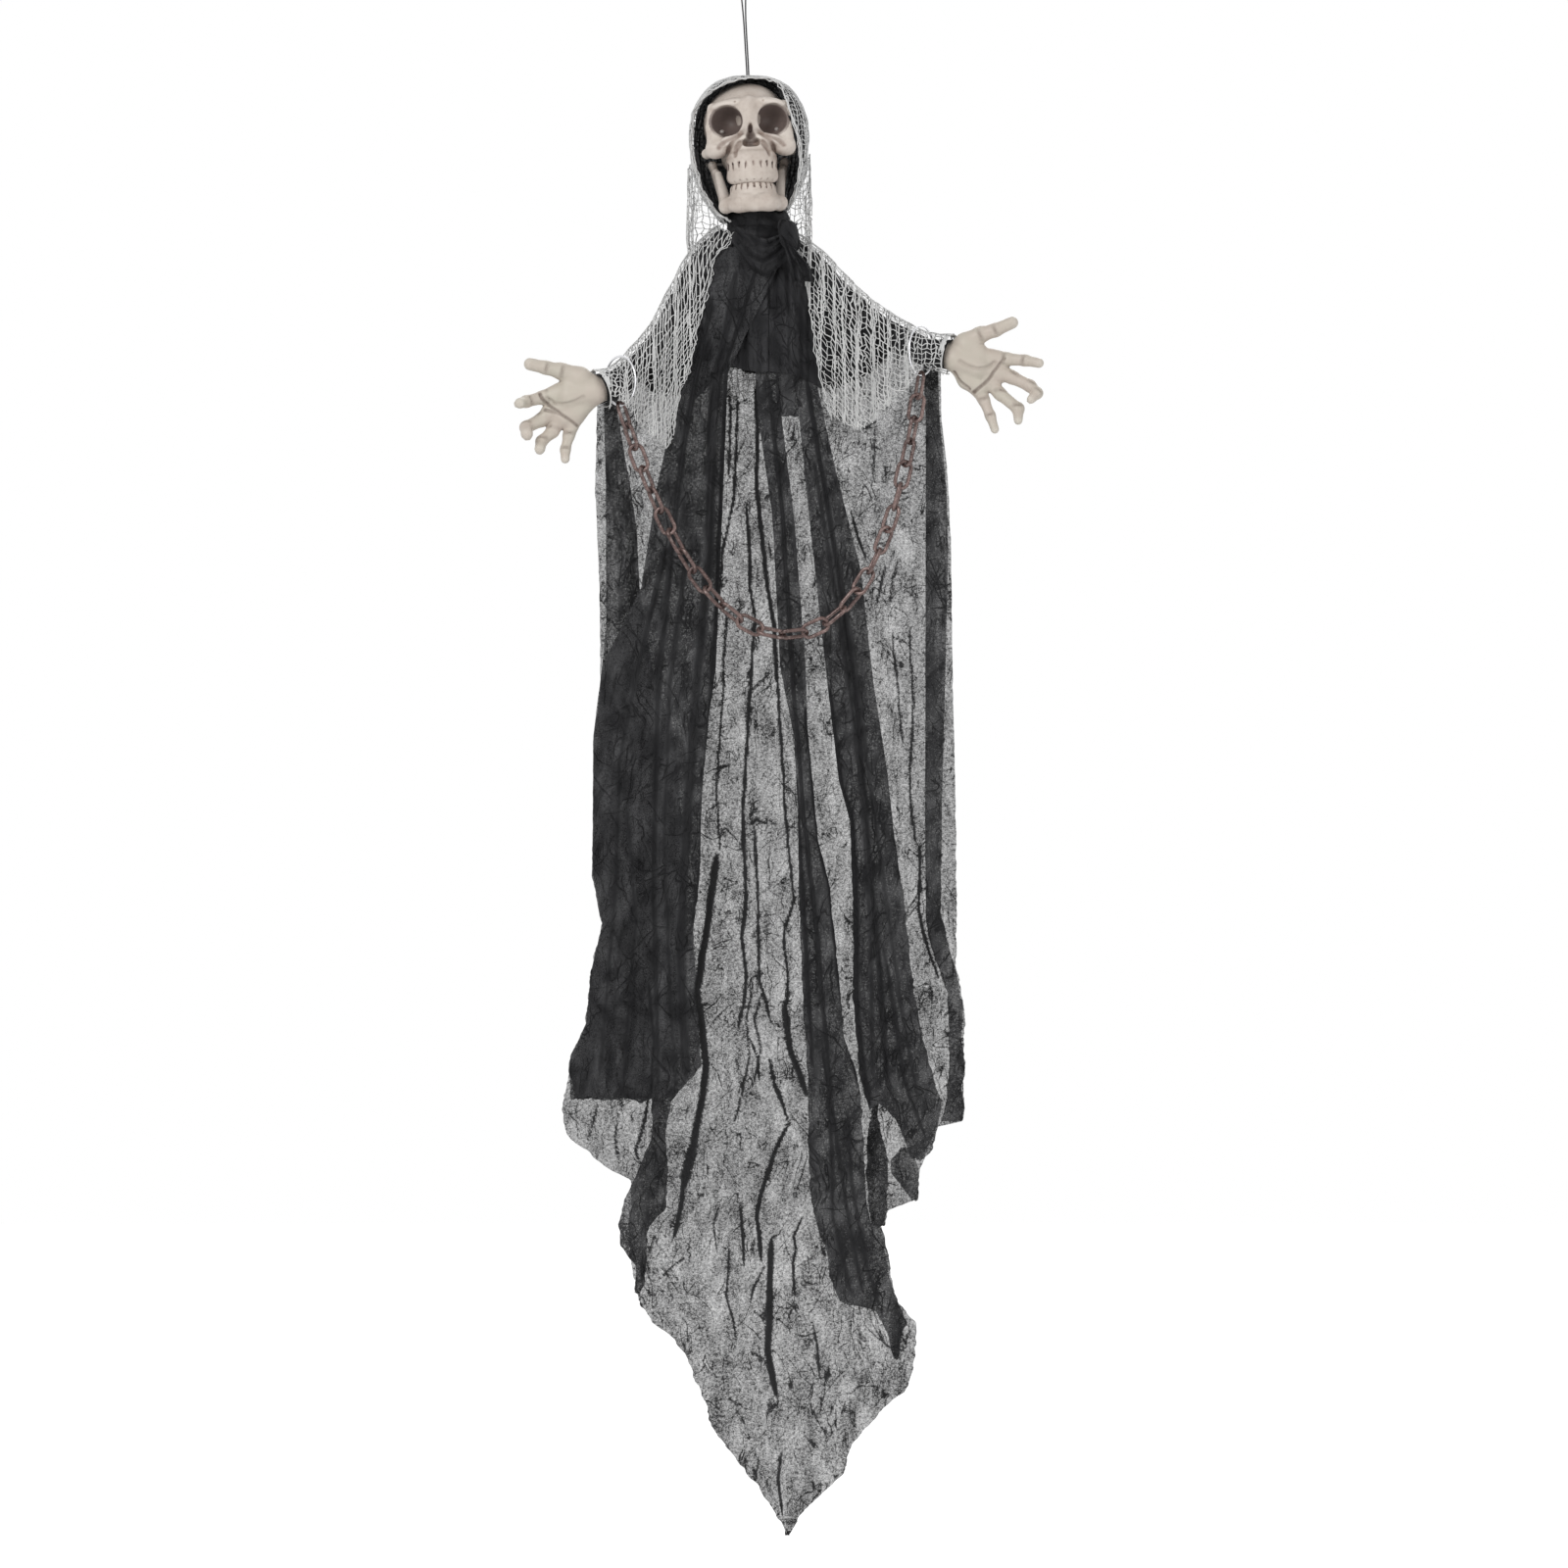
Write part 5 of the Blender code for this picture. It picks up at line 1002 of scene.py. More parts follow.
ARM_ALONG = arm_direction(ARM_X)
ARM_FRONT = np.cross(ARM_ALONG, (0, 0, 1.0))
ARM_FRONT /= np.linalg.norm(ARM_FRONT, axis=1, keepdims=True)
ARM_RADIUS = sleeve_radius(ARM_X)


def arm_face(x, extra, facing):
    places = ARM - facing * ARM_FRONT * (ARM_RADIUS + extra)[:, None]
    return np.interp(x, places[:, 0], places[:, 1])


def hang_point(x, row, extra, front_table, back_table, loose_table=1.0):
    """A place on a cloth over the arms. Row 0 to 1 is the front skirt from its hem up, 1 to 2 goes
    over the arm and 2 to 3 is the back skirt down to its hem."""
    centre, along = arm_at(x), arm_direction(x)
    front = np.cross(along, (0, 0, 1.0))
    front /= np.linalg.norm(front, axis=-1, keepdims=True)
    up = np.cross(front, along)
    radius = (sleeve_radius(x) + extra)[..., None]
    over = np.clip(row, 1, 2) - 1
    angle = (math.pi / 2 - math.pi * over)[..., None]
    arc = centre + radius * (np.cos(angle) * up + np.sin(angle) * front)
    is_front = row < 1
    part = np.clip(np.where(is_front, 1 - row, row - 2), 0, None)[..., None]
    facing = np.where(is_front, 1.0, -1.0)[..., None]
    share = np.where(is_front, table_at(front_table, reach_share(x)), table_at(back_table, reach_share(x)))
    skirt = (YOKE_SKIRT * share * loose_table)[..., None]
    closing = np.radians(90 + 66 * part)
    closed = centre + radius * (np.cos(closing) * up + facing * np.sin(closing) * front)
    hanging = centre + radius * facing * front - np.array((0, 0, 1.0)) * skirt * part
    loose = ease(skirt / (YOKE_SKIRT * 0.2))
    low = closed * (1 - loose) + hanging * loose
    return np.where((part > 0), low, arc)


# Cloth over the arms, the hood, the net's threads and the scarf
def row_from(x, t, extra, front_table, back_table):
    """The row of hang_point at a distance along the cloth from the arm's ridge, towards the front."""
    radius = sleeve_radius(x) + extra
    share = np.where(t > 0, table_at(front_table, reach_share(x)), table_at(back_table, reach_share(x)))
    skirt = YOKE_SKIRT * share
    loose = ease(skirt / (YOKE_SKIRT * 0.2))
    length = skirt * loose + radius * math.radians(66) * (1 - loose)
    quarter = radius * math.pi / 2
    away = np.abs(t)
    low = np.clip((away - quarter) / np.maximum(length, 1e-4), 0, 1)
    row = np.where(away < quarter, 0.5 * away / quarter, 0.5 + low)
    return np.where(t > 0, 1.5 - row, 1.5 + row), (away - quarter) <= length


def arm_station(distance):
    """The arm's x at a distance along it from the left wrist."""
    run = np.concatenate([[0], np.cumsum(np.linalg.norm(np.diff(ARM, axis=0), axis=1))])
    return np.interp(distance, run, ARM_X), run[-1]


def inside_polygon(x, z, corners):
    inside = np.zeros(np.shape(x), bool)
    for (x1, z1), (x2, z2) in zip(corners, corners[1:] + corners[:1]):
        cross = (z1 > z) != (z2 > z)
        at = x1 + (z - z1) * (x2 - x1) / (z2 - z1 + 1e-12)
        inside ^= cross & (x < at)
    return inside


NET_OPENING = (
    (752, 205), (752, 232), (743, 250), (727, 264), (721, 303), (709, 341), (702, 382), (695, 400),
    (690, 430),
    (685, 500), (900, 560), (856, 480), (846, 425), (840, 396), (831, 352), (825, 303), (815, 264),
    (811, 250),
    (802, 229), (800, 205),
)


def net_opening():
    rows = np.array(NET_OPENING, float)
    return [(x, z) for z, x in zip(*from_pixels(rows))]


def folds(x, t, seed):
    """Upright folds in the cloth over the arms, growing away from the ridge."""
    grow = ease(np.abs(t) / 0.10)
    wave = np.sin(math.tau * x / 0.034 + 2.2 * noise2(x * 9, t * 5, seed))
    wave = wave + 0.6 * np.sin(math.tau * x / 0.019 + 2.5 * noise2(x * 14, t * 6, seed + 1))
    return wave * 0.0022 * grow + 0.0008 * fractal(x * 60, t * 30, seed + 2)


def over_arms_point(x, t, extra, front_table, back_table, seed, amount=1.0, plumb=False):
    if plumb:
        # the threads hang straight down, although the arm slopes
        level = x
        for _ in range(4):
            row, kept = row_from(x, t, extra, front_table, back_table)
            place = hang_point(x, row, extra, front_table, back_table)
            x = np.clip(x + 0.7 * (level - place[..., 0]), ARM_X[0], ARM_X[-1])
    row, kept = row_from(x, t, extra, front_table, back_table)
    place = hang_point(x, row, extra, front_table, back_table)
    step = 0.0015
    row_before = row_from(x, t - step, extra, front_table, back_table)[0]
    before = hang_point(x, row_before, extra, front_table, back_table)
    side = hang_point(np.minimum(x + step, ARM_X[-1]), row, extra, front_table, back_table)
    normal = np.cross(side - place, before - place)
    normal /= np.linalg.norm(normal, axis=-1, keepdims=True) + 1e-9
    centre = arm_at(x)
    facing = np.sign(np.sum(normal * (place - centre), axis=-1, keepdims=True))
    facing = np.where(facing == 0, 1, facing)
    return place + normal * facing * (folds(x, t, seed) * amount)[..., None], kept


def split_kept(points, kept):
    """The runs of a path whose points are all kept."""
    runs, run = [], []
    for point, good in zip(points, kept):
        if good:
            run.append(point)
        else:
            if len(run) > 1:
                runs.append(np.array(run))
            run = []
    if len(run) > 1:
        runs.append(np.array(run))
    return runs


def net_paths(surface, across, along, pitch, seed, loose=0.34, bundles=(), torn=0.03, thick=1.0, wide=1.0):
    """Threads of an irregular hand-made net: uprights and cross threads through shared knots.

    surface(s, t) gives places and which of them are kept, s running across and t along, in metres.
    """
    rng = np.random.default_rng(seed)
    columns = int(across[1] / (pitch * wide))
    rows = int((along[1] - along[0]) / (pitch * 1.08))
    j, k = np.meshgrid(np.arange(columns + 1), np.arange(rows + 1), indexing="ij")
    s = across[0] + (across[1] - across[0]) * j / columns
    t = along[0] + (along[1] - along[0]) * k / rows
    zigzag = np.where(j % 2 == 0, 0.22, -0.22)
    s = s + pitch * loose * rng.uniform(-1, 1, s.shape) + pitch * 0.5 * noise2(s * 55, t * 22, seed)
    drift = pitch * 0.8 * noise2(s * 30, t * 18, seed + 5)
    t = t + pitch * (zigzag + loose * rng.uniform(-1, 1, s.shape)) + drift
    for place, width, pull in bundles:
        gap = s - place
        s = s - gap * pull * np.exp(-((gap / width) ** 2))
    paths, sizes = [], []

    def thread(s_line, t_line, size):
        count = len(s_line)
        fine = np.arange(0, count - 0.5, 0.5)
        s_fine = np.interp(fine, np.arange(count), s_line) + 0.0004 * rng.normal(size=len(fine))
        t_fine = np.interp(fine, np.arange(count), t_line) + 0.0004 * rng.normal(size=len(fine))
        places, kept = surface(s_fine, t_fine)
        kept = kept.copy()
        for at in np.flatnonzero(rng.uniform(size=len(fine)) < torn * 0.4):
            kept[at] = False
        thick = size * (1 + 0.25 * noise2(s_fine * 90, t_fine * 90, seed + 8))
        for run in split_kept(np.column_stack([places, thick]), kept):
            paths.append(run[:, :3])
            sizes.append(run[:, 3])

    for a in range(columns + 1):
        thread(s[a], t[a], thick * 0.00054 * rng.uniform(0.7, 1.4))
    for b in range(rows + 1):
        thread(s[:, b], t[:, b], thick * 0.00048 * rng.uniform(0.7, 1.25))
    for place, width, pull in bundles:
        for _ in range(2):
            at = place + width * 0.45 * rng.uniform(-1, 1)
            line = np.arange(along[0], along[1], pitch)
            sway = 0.0035 * noise2(line * 26, line * 0 + at * 90, seed + 12)
            thread(at + sway + 0.0011 * rng.normal(size=len(line)), line, thick * 0.00062)
    return paths, sizes


def net_piece(name, paths, sizes, body="figure"):
    verts, faces = tubes([p + (FIGURE_SIDE, 0, 0) for p in paths], sizes, sides=4)
    obj = mesh_piece(name, verts, faces, THREAD, body)
    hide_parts("net_drape")
    return obj


def mesh_area(obj):
    return sum(polygon.area for polygon in obj.data.polygons)


def make_net_shawl():
    opening = net_opening()
    extra = NET_OFFSET
    total = arm_station(0.0)[1]

    def surface(s, t):
        x, _ = arm_station(s)
        hem = 0.013 * fractal(x * 38, t * 0, 71, 2)
        places, kept = over_arms_point(x, t, extra, NET_FRONT, NET_BACK, 61, plumb=True)
        row, whole = row_from(x, t + np.where(t > 0, -hem, hem), extra, NET_FRONT, NET_BACK)
        loose = table_at(NET_FRONT, reach_share(x)) > 0.1
        kept = kept & (whole | ~loose)
        front = t > -0.004
        open_here = front & inside_polygon(places[..., 0], places[..., 2], opening)
        neck = (np.hypot(places[..., 0], places[..., 1]) < 0.030) & (places[..., 2] > SHOULDER_HEIGHT)
        kept = kept & ~open_here & ~neck & (s > 0) & (s < total)
        return places, kept

    runs = np.linspace(0, total, 400)
    at_x, _ = arm_station(runs)
    bundles = []
    for px in (640, 668, 690, 704, 826, 838, 852, 862, 875, 890, 905, 925):
        x = (px - MIDDLE_PX) / PX_PER_M - FIGURE_SIDE
        bundles.append((float(np.interp(x, at_x, runs)), 0.0055, 0.55))
    paths, sizes = net_paths(surface, (0.0, total), (-0.200, 0.195), 0.0051, 62, bundles=bundles)
    obj = net_piece("net_shawl", paths, sizes)
    return obj, total


RIM_LEFT = (
    (780, 81), (760, 82.5), (748, 84.6), (738.6, 87.8), (726, 95), (716, 104), (709, 114), (706.7, 126),
    (706, 148),
    (707.5, 160), (710, 174), (714, 187), (719.4, 199.4), (732, 218.6), (745, 226),
)
RIM_RIGHT = (
    (783, 81), (790, 84), (796, 88), (801, 99), (805.5, 113), (810, 126), (813.5, 139), (816.7, 155),
    (816.7, 167.6),
    (815, 183), (812, 196), (802, 218.6), (788, 226),
)


HOOD_TOP = -0.10432
LINING_PROFILE = (
    (0.0, 0.0), (0.34, 0.010), (0.66, 0.070), (0.89, 0.190), (0.99, 0.330), (1.00, 0.500), (0.95, 0.670),
    (0.78, 0.840), (0.57, 0.950), (0.47, 1.000),
)
NET_PROFILE = (
    (0.0, 0.0), (0.34, 0.010), (0.66, 0.060), (0.89, 0.160), (0.99, 0.280), (1.00, 0.450), (1.01, 0.700),
    (1.02, 1.000),
)


class Hood:
    """A turned hood, read at a distance down from the crown and an angle from the front."""

    def __init__(self, profile, radius, drop, top, rim_shift=0.0, seed=5):
        path = smooth_path([(radius * r, -drop * d, 0) for r, d in profile], 120)
        self.radius, self.fall = path[:, 0], -path[:, 1]
        self.run = np.concatenate([[0], np.cumsum(np.linalg.norm(np.diff(path, axis=0), axis=1))])
        self.length, self.top, self.shift, self.seed = self.run[-1], top, rim_shift, seed
        self.widest = radius

    def at(self, angle, distance, out=0.0):
        radius = np.interp(distance, self.run, self.radius) + out
        z = self.top - np.interp(distance, self.run, self.fall)
        x = HOOD_SIDE + radius * np.sin(angle)
        y = -HOOD_RATIO * radius * np.cos(angle)
        return np.stack([x, y, z], axis=-1)

    def opening(self, distance, side):
        """The angle of the rim from the front, on one side, at a distance down."""
        radius = np.maximum(np.interp(distance, self.run, self.radius), 1e-4)
        z = self.top - np.interp(distance, self.run, self.fall)
        rows = RIM_LEFT if side < 0 else RIM_RIGHT
        heights, across = from_pixels(rows)
        order = np.argsort(heights)
        x = np.interp(z, heights[order], across[order]) - HOOD_SIDE
        angle = np.arcsin(np.clip((side * x - self.shift) / radius, -0.35, 1))
        return np.where(z < heights.max(), np.maximum(angle, 0.02), 0.0)


# Flat sizes of the draped sheets, measured along the pieces: across, over the crown or along the
# arms, and from front to back
NET_SHAWL_FLAT = (0.484, 0.306)
NET_HOOD_FLAT = (0.390, 0.255)

LINING = Hood(LINING_PROFILE, HOOD_RADIUS, HOOD_DROP, HOOD_TOP, 0.0038)
NET_HOOD = Hood(LINING_PROFILE, HOOD_RADIUS + 0.0042, HOOD_DROP * 1.02, HOOD_TOP + 0.0016, 0.001)
NET_VEIL = Hood(NET_PROFILE, HOOD_RADIUS + NET_HOOD_OFFSET, 0.190, HOOD_TOP + 0.0022, 0.0)


def follow_jaw(obj):
    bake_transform(obj)


def make_lining():
    rows, columns = 90, 150
    distance = np.linspace(0.0005, LINING.length, rows)[:, None]
    u = np.linspace(0, 1, columns)[None, :]
    right, left = LINING.opening(distance, 1), LINING.opening(distance, -1)
    angle = right + (math.tau - left - right) * u
    wrinkle = 0.0009 * fractal(angle * 3 + 0 * distance, distance * 40, 81)
    wrinkle = wrinkle + 0.0009 * np.sin(angle * 17 + 60 * distance) * ease(distance / 0.08)
    points = LINING.at(angle, distance + 0 * u, wrinkle)
    uv = np.stack([angle * 0.055, distance + 0 * u], axis=-1).reshape(-1, 2)
    world = (points + (FIGURE_SIDE, 0, 0)).reshape(-1, 3)
    values = {"layers": np.ones(rows * columns), "fold": np.zeros(rows * columns)}
    obj = mesh_piece("hood_lining", world, grid_faces(rows, columns), BLACK_CLOTH, None, values, uv)
    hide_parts("black_hood")
    follow_jaw(obj)
    return obj


def rim_path(hood, out, low_share=1.0, count=80):
    """The hood's rim from its lower left end over the crown to the lower right one."""
    distance = np.linspace(0.0, hood.length * low_share, 400)
    right, left = hood.opening(distance, 1), hood.opening(distance, -1)
    first = np.argmax(right > 0)
    distance, left, right = distance[first:], left[first:], right[first:]
    left = hood.at(-left, distance, out)[::-1]
    right = hood.at(right, distance, out)
    path = np.vstack([left, right[1:]])
    return smooth_path(path[::4], count)


def make_net_hood():
    """The net close over the lining, and the part of it that hangs free to the shoulders."""

    def close(s, t):
        angle = s / 0.062
        places = NET_HOOD.at(angle, t, 0.0008 * fractal(angle * 5, t * 60, 91))
        right, left = NET_HOOD.opening(t, 1), NET_HOOD.opening(t, -1)
        kept = (angle > right) & (angle < math.tau - left) & (t > 0.004) & (t < NET_HOOD.length)
        return places, kept

    def free(s, t):
        angle = s / 0.062
        out = 0.0022 * np.sin(angle * 9 + 1.5) * ease((t - 0.10) / 0.08)
        out = out + 0.0015 * fractal(angle * 4, t * 30, 93)
        places = NET_VEIL.at(angle, t, out)
        edge = math.radians(62) + 0.25 * noise2(t * 30, t * 0, 94)
        below = t > 0.128 + 0.012 * noise2(s * 60, s * 0, 97)
        kept = (angle > edge) & (angle < math.tau - edge) & below & (t < NET_VEIL.length - 0.004)
        return places, kept

    around = math.tau * 0.062
    paths, sizes = net_paths(close, (0.0, around), (0.0, NET_HOOD.length), 0.0043, 95, thick=0.98, wide=1.45)
    more, thick = net_paths(free, (0.0, around), (0.09, NET_VEIL.length), 0.0052, 96,
                            bundles=((0.10, 0.006, 0.4), (0.29, 0.006, 0.4), (0.2, 0.006, 0.5)), thick=0.8,
                            wide=1.35)
    obj = net_piece("net_hood", paths, sizes, None)
    veil = net_piece("net_veil", more, thick)
    return obj, veil


def make_edge_cords(total):
    """The net's gathered edges: round the face, down both fronts and at the cuffs."""
    rng = np.random.default_rng(7)
    paths, sizes = [], []
    for out, size in ((0.0012, 0.0008), (0.0026, 0.0006), (0.0000, 0.0006)):
        rim = rim_path(NET_HOOD, out)
        rim = rim + 0.0009 * rng.normal(size=rim.shape)
        paths.append(rim)
        sizes.append(np.full(len(rim), size))
    verts, faces = tubes([p + (FIGURE_SIDE, 0, 0) for p in paths], sizes, sides=5)
    rim_cords = mesh_piece("net_rim", verts, faces, THREAD, None)
    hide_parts("net_drape")
    paths, sizes = [], []
    rows = np.array(NET_OPENING, float)
    for side in (rows[1:9], rows[11:19][::-1]):
        z, x = from_pixels(side)
        fine = np.linspace(0, len(x) - 1, 60)
        x, z = np.interp(fine, np.arange(len(x)), x), np.interp(fine, np.arange(len(z)), z)
        for offset, size in ((0.0, 0.00052), (0.0012, 0.00042)):
            places = []
            for px, pz in zip(x + offset, z):
                t = np.linspace(-0.002, 0.19, 160)
                s_x = np.full(160, px)
                points, kept = over_arms_point(s_x, t, NET_OFFSET, NET_FRONT, NET_BACK, 61, plumb=True)
                if pz < points[kept][:, 2].min() - 0.004:
                    break
                at = int(np.argmin(np.abs(points[:, 2] - pz) + (~kept) * 9))
                places.append(points[at] + 0.0009 * rng.normal(size=3) - (0, 0.0008, 0))
            if len(places) > 4:
                paths.append(np.array(places))
                sizes.append(np.full(len(places), size))
    for end, inward in ((0.0006, 1), (total - 0.0006, -1)):
        for ring in range(4):
            t = np.linspace(-0.0205, 0.0205, 26)
            s = np.full(26, end + inward * (0.0012 * ring) ) + 0.0006 * rng.normal(size=26)
            x, _ = arm_station(np.clip(s, 0, total))
            points, _ = over_arms_point(x, t * 1.5, NET_OFFSET, NET_FRONT, NET_BACK, 61)
            paths.append(points + 0.0003 * rng.normal(size=points.shape))
            sizes.append(np.full(26, 0.0008))
    verts, faces = tubes([p + (FIGURE_SIDE, 0, 0) for p in paths], sizes, sides=5)
    obj = mesh_piece("net_edges", verts, faces, THREAD, "figure")
    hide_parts("net_drape")
    return obj, rim_cords


def make_yoke():
    total = arm_station(0.0)[1]
    columns, rows = 320, 120
    s = np.linspace(0, total, columns)[:, None]
    x, _ = arm_station(s)
    v = np.linspace(-1, 1, rows)[None, :]
    radius = sleeve_radius(x)
    share = table_at(YOKE_EDGE, reach_share(x))
    skirt = YOKE_SKIRT * share
    loose = ease(skirt / (YOKE_SKIRT * 0.2))
    length = skirt * loose + radius * math.radians(66) * (1 - loose) + radius * math.pi / 2
    hem = 1 + 0.03 * fractal(x * 40, x * 0 + 2, 77, 2) * loose
    t = v * length * np.where(np.abs(v) > 0.5, 1 + (hem - 1) * (np.abs(v) - 0.5) * 2, 1)
    t = np.clip(t, -length, length)
    x_grid = x + 0 * v
    points, _ = over_arms_point(x_grid, t, 0.0, YOKE_EDGE, YOKE_EDGE, 73, 1.0)
    gather = ease((t - 0.03) / 0.03) * ease((0.105 - np.abs(x)) / 0.04)
    wave = np.sin(math.tau * x / 0.0125 + 2.6 * noise2(x * 22, t * 9, 74))
    wave = wave + 0.6 * np.sin(math.tau * x / 0.0071 + 2.2 * noise2(x * 30, t * 12, 75))
    points[..., 1] -= 0.0011 * gather * (wave + 0.4)
    front = (t > 0.02)
    bulged = box_bulge(points[..., 0], points[..., 2], points[..., 1])
    points[..., 1] = np.where(front, bulged, points[..., 1])
    keep = np.hypot(points[..., 0], points[..., 1]) > 0.029
    keep |= points[..., 2] < SHOULDER_HEIGHT
    uv = np.stack([s + 0 * v, t], axis=-1).reshape(-1, 2)
    world = (points + (FIGURE_SIDE, 0, 0)).reshape(-1, 3)
    count = columns * rows
    shade = np.clip(0.5 - 0.5 * wave, 0, 1) * gather
    values = {"layers": np.full(count, 0.9), "fold": (0.55 * shade).reshape(-1)}
    faces = grid_faces(columns, rows, keep[:-1, :-1])
    obj = mesh_piece("yoke_cloth", world, faces, BLACK_CLOTH, "figure", values, uv)
    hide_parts("black_yoke")
    return obj


# Gauze panels: edges in the photograph's own pixels, a millimetre each
def from_pixels(rows):
    rows = np.array(rows, float)
    return -(rows[:, 1] + ABOVE_PX) / PX_PER_M, (rows[:, 0] - MIDDLE_PX) / PX_PER_M - FIGURE_SIDE


def to_pixels(x, z):
    return (x + FIGURE_SIDE) * PX_PER_M + MIDDLE_PX, -z * PX_PER_M - ABOVE_PX


def edge_at(rows, z):
    """Where an edge lies across, at a height."""
    heights, across = from_pixels(rows)
    order = np.argsort(heights)
    return np.interp(z, heights[order], across[order])


def back_lane(x, z):
    x = np.clip(x, ARM_X[0] * 0.97, ARM_X[-1] * 0.97)
    on_net = arm_face(x, NET_OFFSET + CLOTH * 1.5, 1)
    near_ring = ease((reach_share(x) - 0.66) / 0.14)
    on_ring = arm_face(x, RING_RADIUS + RING_WIRE / 2 - sleeve_radius(ARM_X), 1)
    at_arm = on_net + np.maximum(on_ring - on_net, 0) * near_ring
    arm_z = arm_at(x)[..., 2]
    hem = arm_z - YOKE_SKIRT * table_at(NET_BACK, reach_share(x))
    at_arm = at_arm + FIT_GAP + CLOTH * ease((arm_z - z) / sleeve_radius(x))
    low = ease((hem - OVERRUN - z) / (4 * YOKE_SKIRT))
    return at_arm + (BACK_LOW + at_arm * 0.25 - at_arm) * low


def box_bulge(x, z, y):
    """The battery box pushes the cloth over it forward."""
    aside = ease(1 - np.maximum(np.abs(x - 0.0370) - 0.0125, 0) / 0.013)
    down = ease(1 - np.maximum(np.abs(z + 0.378) - 0.023, 0) / 0.018)
    near = aside * down
    return y * (1 - near) + np.minimum(y, -0.0352) * near


def chest_lane(extra):
    def lane(x, z):
        at_chest = arm_face(np.clip(x, ARM_X[0] * 0.5, ARM_X[-1] * 0.5), extra, -1)
        low = ease((SHOULDER_HEIGHT - YOKE_SKIRT - OVERRUN - z) / (2 * YOKE_SKIRT))
        return box_bulge(x, z, at_chest + (FRONT_LOW - at_chest) * low) - extra * 0.5

    return lane


def margin_lane(x, z):
    at = np.clip(x, ARM_X[0], ARM_X[-1])
    hang = arm_at(at)[..., 2] - 1.35 * sleeve_radius(at) - z
    away = CLOTH * 2 * ease(hang / OVERRUN) + 0.008 * ease(hang / YOKE_SKIRT)
    return back_lane(x, z) - CLOTH - FIT_GAP - away


def crumple(x, z, seed, amount=1.0):
    """Height of crumpled folds, and how near each place is to a sharp crease."""
    wx = x + 0.004 * noise2(x * 60, z * 25, seed + 50)
    wz = z + 0.012 * noise2(x * 50, z * 20, seed + 51)
    height, crease = 0.0, 0.0
    for scale, tall, size in ((26.0, 0.40, 0.0030), (58.0, 0.42, 0.0014), (120.0, 0.5, 0.0006)):
        first, second = facets(wx * scale + seed, wz * scale * tall + seed, seed + int(scale))
        height = height + size * (first - 0.5)
        crease = np.maximum(crease, np.clip(1 - (second - first) / 0.10, 0, 1) * size / 0.003)
    return height * amount, crease


